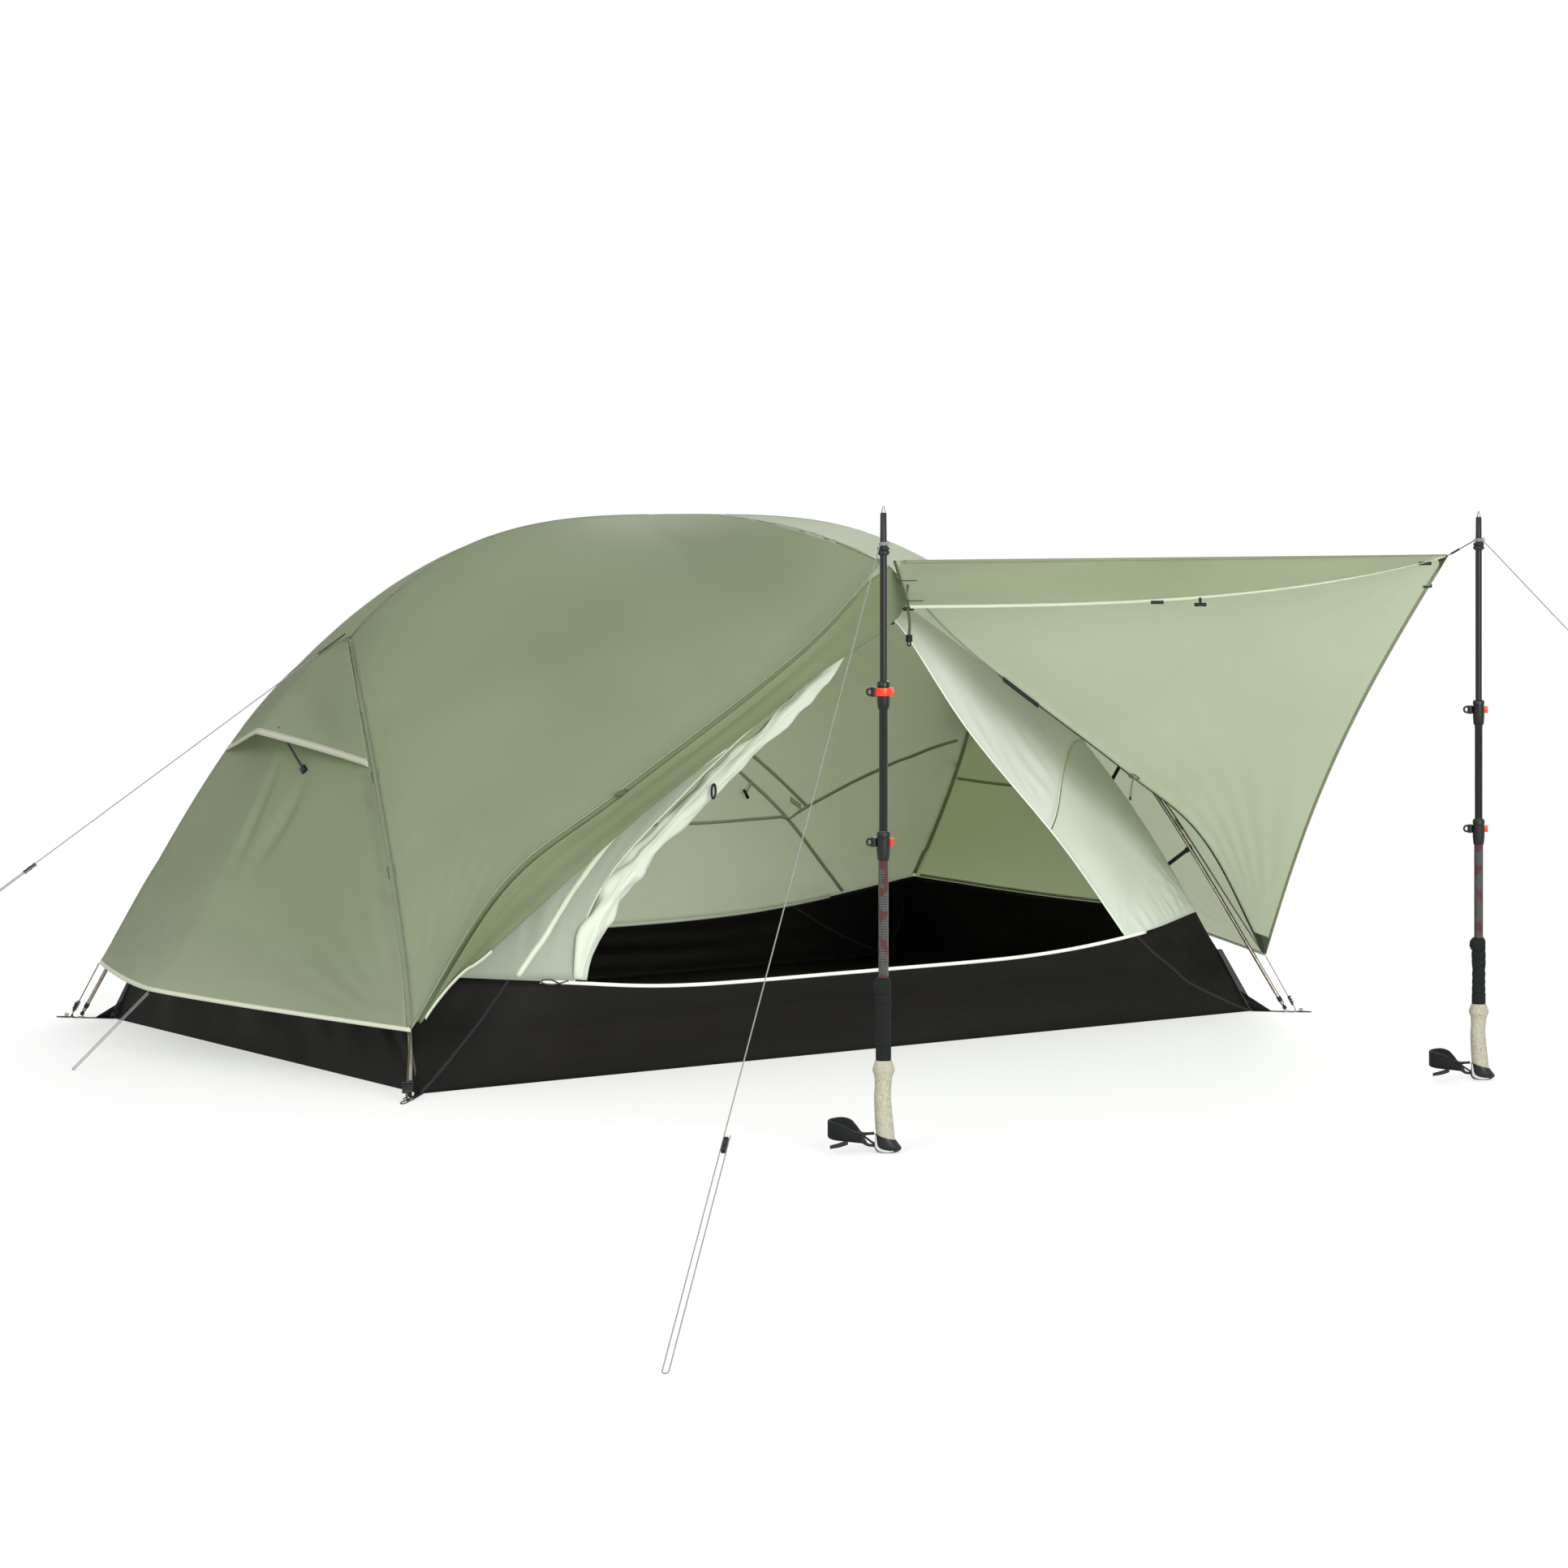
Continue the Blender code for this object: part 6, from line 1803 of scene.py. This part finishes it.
# %% Trekking poles
turn = Matrix.Rotation(CAMERA_TURN, 3, "Z")
RIGHT, BACK = turn @ Vector((1, 0, 0)), turn @ Vector((0, 1, 0))
MIDDLE_TUBE, GRIP_TUBE = 0.0075, 0.0088
CLAMP, TIP_PLUG, MIDDLE_PLUG = 0.051, 0.140, 0.112
FOAM_BORE = 0.0091
HEIGHTS = {
    "near": {"tip": 1.121, "upper": 0.818, "lower": 0.5575, "foam": 0.304, "cork": 0.160},
    "far": {"tip": 1.112, "upper": 0.743, "lower": 0.510, "foam": 0.278, "cork": 0.148},
}


def clamp_profile(radius, top):
    """The outside of a tube's clamp: a lip, a sleeve with a groove, and a tapered skirt."""
    return [(radius + 0.0008, top), (0.0098, top - 0.001), (0.0112, top - 0.004), (0.0112, top - 0.0095),
            (0.0104, top - 0.0102), (0.0104, top - 0.0118), (0.0112, top - 0.0125), (0.0112, top - 0.034),
            (0.0106, top - 0.041), (0.0100, top - 0.047), (radius, top - CLAMP)]


def tube_section(name, foot, radius, bore, top, bottom, finish, body, node):
    """A telescoping tube with its clamp at the top."""
    profile = [(bore, top), *clamp_profile(radius, top), (radius, bottom), (bore, bottom)]
    return lathe(name, Vector((*foot, 0)), profile, finish, body, "black_tube", node, steps=40)


def lever(name, foot, height, behind, body, node):
    """A red lever: a knob on its hinge, a blade hooked round the clamp, and a lifting tab."""
    hinge, side = -RIGHT, BACK * (1 if behind else -1)
    centre = Vector((*foot, 0))
    inner, knob_radius, tab = 0.0115, 0.0048, 0.0045
    outer = inner + 0.0022
    knob = centre + hinge * (inner + knob_radius + GAP)

    def around(radius, angle, middle=centre):
        return middle + radius * (math.cos(angle) * -hinge + math.sin(angle) * side)

    outline = [around(outer + tab, 0.0), around(outer + tab * 0.45, 0.09), around(outer + tab, 0.17)]
    outline += [around(outer, math.pi * i / 24) for i in range(2, 21)]
    outline += [around(knob_radius, math.radians(60 + 15 * i), knob) for i in range(19)]
    outline += [around(inner, math.pi * i / 24) for i in range(22, -1, -1)]
    bm = bmesh.new()
    face = bm.faces.new([bm.verts.new(p + ZED * (height - 0.007)) for p in outline])
    grown = bmesh.ops.extrude_face_region(bm, geom=[face])["geom"]
    up = [item for item in grown if isinstance(item, bmesh.types.BMVert)]
    bmesh.ops.translate(bm, vec=ZED * 0.014, verts=up)
    bmesh.ops.recalc_face_normals(bm, faces=bm.faces)
    rims = [edge for edge in bm.edges if abs(edge.verts[0].co.z - edge.verts[1].co.z) < 1e-6]
    bmesh.ops.bevel(bm, geom=rims, offset=0.0006, segments=2, profile=0.5, affect="EDGES", material=-1)
    place(name, finished(name, bm, 35), red_alloy, body, "lever_red", node)
    pin = [(0.0, height - 0.0088), (0.0024, height - 0.0088), (0.0052, height - 0.0080),
           (0.0052, height + 0.0080), (0.0024, height + 0.0088), (0.0, height + 0.0088)]
    lathe(f"{name}_knob", knob, pin, abs_black, body, "black_plastic", steps=28)
    ring(f"{name}_lug", knob + hinge * 0.0072 + ZED * height, 0.0048, 0.0056, 0.0020, abs_black, body,
         "black_plastic", RIGHT)


COLLAR = [(0.0, 1.051), (0.0085, 1.051), (0.0106, 1.049), (0.0108, 1.047), (0.0090, 1.0445), (0.0108, 1.042),
          (0.0108, 1.039), (0.0078, 1.036), (0.0, 1.036)]
CAP_FALL = 0.0052
CAP_RINGS = ((0.0275, 0.0036, 0.0176, 0.0174, CAP_FALL), (0.0262, 0.0040, 0.0184, 0.0178, CAP_FALL),
             (0.0185, 0.0060, 0.0208, 0.0180, 0.0034), (0.0125, 0.0072, 0.0232, 0.0182, 0.0016),
             (0.0085, 0.0078, 0.0240, 0.0176, 0.0006), (0.0045, 0.0078, 0.0222, 0.0158, 0.0),
             (0.0014, 0.0070, 0.0180, 0.0130, 0.0), (0.0, 0.0064, 0.0120, 0.0095, 0.0))
INLAY = ((0.0262, 200), (0.0200, 204), (0.0140, 209), (0.0090, 218), (0.0058, 234), (0.0042, 254),
         (0.0036, 276), (0.0042, 296))
CORK_STATIONS = ((0.0, 0.0, 0.0144), (0.05, 0.0001, 0.0166), (0.115, 0.0003, 0.0194), (0.135, 0.0003, 0.0194),
                 (0.19, 0.0001, 0.0168), (0.225, 0.0, 0.0155), (0.34, -0.0007, 0.0143),
                 (0.45, -0.0016, 0.0146), (0.61, -0.0008, 0.0152), (0.76, 0.0007, 0.0157),
                 (0.83, 0.0015, 0.0160), (0.966, 0.0030, 0.0164), (1.0, 0.0036, 0.0166))
FOAM_STATIONS = ((0.0, 0.0, 0.0094), (0.01, -0.0008, 0.0118), (0.06, -0.0020, 0.0153),
                 (0.13, -0.0024, 0.0156), (0.18, -0.0010, 0.0144), (0.205, 0.0, 0.0126),
                 (0.217, -0.0002, 0.0137), (0.31, 0.0, 0.0139), (0.323, 0.0, 0.0127), (0.336, 0.0, 0.0137),
                 (0.42, 0.0003, 0.0133), (0.49, 0.0002, 0.0121), (0.55, 0.0002, 0.0132),
                 (0.61, 0.0001, 0.0123),
                 (0.67, 0.0001, 0.0132), (0.72, 0.0, 0.0125), (0.78, 0.0, 0.0133), (0.82, 0.0, 0.0131),
                 (0.832, 0.0, 0.0122), (0.842, 0.0, 0.0135), (0.985, 0.0, 0.0135), (1.0, 0.0, 0.0125))


def stepped(rows, steps=4):
    """The rows with more of them between, eased from each to the next."""
    for low, high in zip(rows, rows[1:]):
        for k in range(steps):
            yield [a + (b - a) * soft(k / steps) for a, b in zip(low, high)]
    yield list(rows[-1])


def handle_rings(foot, top, low, stations, depth, fall):
    """Rings of a bent handle from its stations: share of its length, sideways shift and half width."""
    for share, shift, wide in stepped(stations):
        centre = Vector((foot[0], foot[1], top + (low - top) * share)) + RIGHT * shift
        yield centre, wide, wide * depth, fall * soft((share - 0.84) / 0.16)


def cap_surface(centre, height, degrees):
    """A point on the cap at a height and an angle counted from the right towards the back."""
    for above, below in zip(CAP_RINGS, CAP_RINGS[1:]):
        if below[0] <= height:
            break
    part = (above[0] - height) / (above[0] - below[0])
    _, shift, wide, deep, fall = (a + (b - a) * part for a, b in zip(above, below))
    side, back = math.cos(math.radians(degrees)), math.sin(math.radians(degrees))
    return centre + ZED * (height - fall * side) + RIGHT * (shift + wide * side) + BACK * deep * back


def lofted(name, rings, finish, body, slot, *nodes, sides=36, bore=0.0):
    """A smooth body bridged through rings: a centre, half widths right and back, and a fall to the right."""
    bm = bmesh.new()
    loops = []
    rings = list(rings)
    if bore:
        rings += [(rings[-1][0], bore, bore, 0.0), (rings[0][0], bore, bore, 0.0)]
    for centre, wide, deep, fall in rings:
        made = bmesh.ops.create_circle(bm, segments=sides, radius=1.0)["verts"]
        fit = Matrix((RIGHT * wide - ZED * fall, BACK * deep, ZED)).transposed().to_4x4()
        bmesh.ops.transform(bm, matrix=Matrix.Translation(centre) @ fit, verts=made)
        loops.append([edge for edge in bm.edges if all(vert in made for vert in edge.verts)])
    for low, high in zip(loops, loops[1:] + loops[:1] * bool(bore)):
        bmesh.ops.bridge_loops(bm, edges=low + high)
    if not bore:
        bmesh.ops.holes_fill(bm, edges=[edge for edge in bm.edges if edge.is_boundary], sides=0)
    bmesh.ops.recalc_face_normals(bm, faces=bm.faces)
    return place(name, finished(name, bm, 60), finish, body, slot, *nodes)


STRAP = ((0.000, -0.004, 0.010, 0.015), (0.012, -0.008, 0.012, 0.018), (0.022, -0.016, 0.018, 0.034),
         (0.036, -0.024, 0.021, 0.041), (0.052, -0.026, 0.023, 0.050), (0.070, -0.016, 0.024, 0.0545),
         (0.079, 0.001, 0.026, 0.056), (0.072, 0.016, 0.030, 0.057), (0.055, 0.022, 0.030, 0.058),
         (0.040, 0.020, 0.028, 0.054), (0.030, 0.016, 0.027, 0.044), (0.022, 0.012, 0.026, 0.034),
         (0.010, 0.007, 0.029, 0.034), (0.000, 0.004, 0.030, 0.035))
STRAP_CROSSING = ((0.000, -0.006, 0.014, 0.018), (0.010, 0.000, 0.020, 0.024), (0.024, 0.008, 0.030, 0.034))
STRAP_TAIL = ((0.046, -0.0275, 0.018, 0.026), (0.060, -0.0260, 0.013, 0.021), (0.077, -0.0190, 0.009, 0.015))


def hand_strap(name, foot, body, node):
    """The padded wrist strap: a loop of webbing that lies on its edge beside the cap."""
    start = Vector((*foot, 0)) - RIGHT * 0.0158

    def edges(rows, inset=0.0):
        low, high = (through([start - RIGHT * x + BACK * y + ZED * height for x, y, height in
                              ((row[0], row[1], row[column]) for row in rows)]) for column in (2, 3))
        return (lambda t: low(t).lerp(high(t), inset)), (lambda t: high(t).lerp(low(t), inset))

    band(name, edges(STRAP), 90, black_web, body, "webbing", thickness=0.0020)
    pad = band(f"{name}_pad", edges(STRAP, 0.06), 60, foam, body, "webbing", 0.16, 0.84, thickness=0.0042)
    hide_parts(node)
    for edge, trim in zip(edges(STRAP, 0.04), ("low", "high")):
        rod(f"{name}_trim_{trim}", [edge(0.16 + 0.68 * k / 60) for k in range(61)], 0.0009, trim_grey, body,
            "webbing")
    band(f"{name}_crossing", edges(STRAP_CROSSING), 16, black_web, body, "webbing", thickness=0.0016)
    band(f"{name}_tail", edges(STRAP_TAIL), 16, black_web, body, "webbing", thickness=0.0016)


for pole, foot in (("near", NEAR_FOOT), ("far", FAR_FOOT)):
    at = HEIGHTS[pole]
    tip, upper, lower = at["tip"], at["upper"], at["lower"]
    middle, grip = f"{pole}_pole_middle", f"{pole}_pole_grip"
    centre = Vector((*foot, 0))
    steel_tip = [(0.0, tip - 0.0004), (0.0012, tip), (0.0017, tip - 0.0006), (0.0021, tip - 0.0040),
                 (0.0034, tip - 0.0075), (0.0038, tip - 0.0115), (0.0, tip - 0.0115)]
    lathe(f"{pole}_steel_tip", centre, steel_tip, steel, "tent", "black_tube", steps=28)
    shaft = [(0.0, tip - 0.0112), (0.0044, tip - 0.0112), (0.0055, tip - 0.0125), (0.0059, 1.053),
             (0.0062, 1.0505), (0.0, 1.0505)]
    lathe(f"{pole}_tip_sleeve", centre, shaft, abs_black, "tent", "black_tube", steps=32)
    lathe(f"{pole}_collar", centre, COLLAR, *MOULDED, steps=36)
    bottom = upper - CLAMP - TIP_PLUG
    lathe(f"{pole}_tip_tube", centre, [(0.0, 1.040), (TIP_TUBE, 1.040), (TIP_TUBE, bottom), (0.0, bottom)],
          lacquer, "tent", "black_tube", f"{pole}_pole_tip_section", steps=40)
    tube_section(f"{pole}_middle_tube", foot, MIDDLE_TUBE, TIP_TUBE + GAP, upper, lower - CLAMP - MIDDLE_PLUG,
                 lacquer, middle, f"{pole}_pole_middle_section")
    tube_section(f"{pole}_grip_tube", foot, GRIP_TUBE, MIDDLE_TUBE + GAP, lower, at["cork"] + GAP, printed,
                 grip, f"{pole}_pole_grip_section")
    sleeve = [(r + 0.0004, z) for r, z in clamp_profile(GRIP_TUBE, lower)]
    sleeve = [(MIDDLE_TUBE + 0.0004, lower + 0.0006), *sleeve[1:], (GRIP_TUBE - 0.0004, lower - CLAMP)]
    lathe(f"{pole}_grip_clamp", centre, sleeve, abs_black, grip, "black_plastic", steps=40)
    for level, height, behind in (("upper", upper, pole == "far"), ("lower", lower, True)):
        lever(f"{pole}_{level}_catch", foot, height - 0.019, behind, f"{pole}_pole_{level}_catch",
              f"{pole}_pole_{level}_lever")
    sleeve_rings = handle_rings(foot, at["foam"], at["cork"] + GAP, FOAM_STATIONS, 1.0, 0.0)
    foam_grip = lofted(f"{pole}_foam", sleeve_rings, foam, grip, "foam", f"{pole}_pole_foam_grip",
                       bore=FOAM_BORE)
    cork_rings = handle_rings(foot, at["cork"], 0.027, CORK_STATIONS, 1.05, CAP_FALL)
    lofted(f"{pole}_cork", cork_rings, cork, grip, "cork", f"{pole}_pole_cork_grip")
    cap = [(centre + ZED * height + RIGHT * shift, *rest) for height, shift, *rest in CAP_RINGS]
    lofted(f"{pole}_cap", cap, abs_black, grip, "black_plastic")
    crescent = [cap_surface(centre, height, degrees) for height, degrees in stepped(INLAY, 5)]
    rod(f"{pole}_cap_inlay", crescent, 0.0030, inlay_grey, grip, "black_plastic",
        radii=[0.2 + 0.8 * math.sin(math.pi * k / 35) ** 0.8 for k in range(36)])
    hand_strap(f"{pole}_hand_strap", foot, grip, f"{pole}_pole_wrist_strap")
    wraps = []
    for k in range(49):
        angle = 2 * math.pi * 3 * k / 48
        around = Vector((math.cos(angle), math.sin(angle), 0)) * 0.0071
        wraps.append(centre + around + ZED * (1.0525 + 0.006 * k / 48))
    rod(f"{pole}_cord_wraps", wraps, 0.0010, braid, "tent", "guy_line")
    knot = centre + RIGHT * 0.0080 - BACK * 0.003 + ZED * 1.0555
    ring(f"{pole}_cord_knot", knot, 0.0022, 0.0040, 0.0011, braid, "tent", "guy_line", RIGHT)
print("trekking poles ready")

# %% [markdown]
# ## Floor, light and sky
# The studio is white: the sky is plain white to the camera and a soft grey to everything it lights. The
# floor gives a shadow under the tent but otherwise looks as white as the sky.

# %% Studio
def direct_view(tree):
    """1 where the camera sees a surface, straight or in a reflection, and 0 for the light it scatters."""
    path = add_node(tree, "LightPath")
    seen = maths(tree, "MAXIMUM", path.outputs["Is Camera Ray"], path.outputs["Is Glossy Ray"])
    return maths(tree, "MAXIMUM", seen, path.outputs["Is Transmission Ray"])


world = bpy.data.worlds.new("studio")
bpy.context.scene.world = world
world.use_nodes = True
tree = world.node_tree
tree.nodes.clear()
soft_sky = add_node(tree, "Background", {"Color": linear("#F3F5F4"), "Strength": 0.86})
white_sky = add_node(tree, "Background", {"Color": linear("#FFFFFF"), "Strength": 1.0})
sky = mixed_shader(tree, direct_view(tree), soft_sky.outputs[0], white_sky.outputs[0])
add_node(tree, "OutputWorld", {"Surface": sky})

FLOOR_SIZE = 60
SHADOW_START, SHADOW_END, SHADOW_SHARE = 1.5, 4.0, 0.48
bm = bmesh.new()
bmesh.ops.create_grid(bm, x_segments=2, y_segments=2, size=FLOOR_SIZE / 2)
ground = finished("studio_floor", bm)
floor = bpy.data.objects.new("studio_floor", ground)
bpy.context.scene.collection.objects.link(floor)
paint, tree, shader, output = new_finish("studio floor paint")
shader.inputs["Base Color"].default_value = linear("#EDEEEC")
shader.inputs["Roughness"].default_value = 0.9
glow = add_node(tree, "Emission", {"Color": linear("#FFFFFF"), "Strength": 1.0})
spot = add_node(tree, "TexCoord").outputs["Object"]
far = add_node(tree, "VectorMath", {0: spot}, operation="LENGTH")
plain = add_node(
    tree, "MapRange",
    {"Value": far.outputs["Value"], "From Min": SHADOW_START, "From Max": SHADOW_END, "To Min": SHADOW_SHARE,
     "To Max": 1.0},
)
seen = maths(tree, "MULTIPLY", direct_view(tree), plain.outputs["Result"])
mix = mixed_shader(tree, seen, shader.outputs["BSDF"], glow.outputs["Emission"])
tree.links.new(mix, output.inputs["Surface"])
ground.materials.append(paint)
floor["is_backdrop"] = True


def lamp(name, spot, aim, size, power):
    """A large soft panel of light, turned towards a point."""
    data = bpy.data.lights.new(name, "AREA")
    data.shape = "DISK"
    data.size = size
    data.energy = power
    light = bpy.data.objects.new(name, data)
    light.location = spot
    light.rotation_euler = (Vector(aim) - Vector(spot)).to_track_quat("-Z", "Y").to_euler()
    bpy.context.scene.collection.objects.link(light)
    return light


lamp("key", (-6.0, -3.5, 4.2), (0, 0, 0.5), 4.0, 190)
lamp("front", (-1.5, -8.5, 2.6), (0.2, 0, 0.6), 5.0, 480)
lamp("back", (4.5, 3.2, 4.6), (0.3, -0.5, 0.6), 4.0, 270)
print("studio lit")

# %% Sizes and finish
size = {
    "cad": [[round(x, 4) for x in corner] for corner in cad_box],
    "visual": [[round(x, 4) for x in corner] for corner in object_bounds()],
}
print("sheets:", sheets)
print(size)
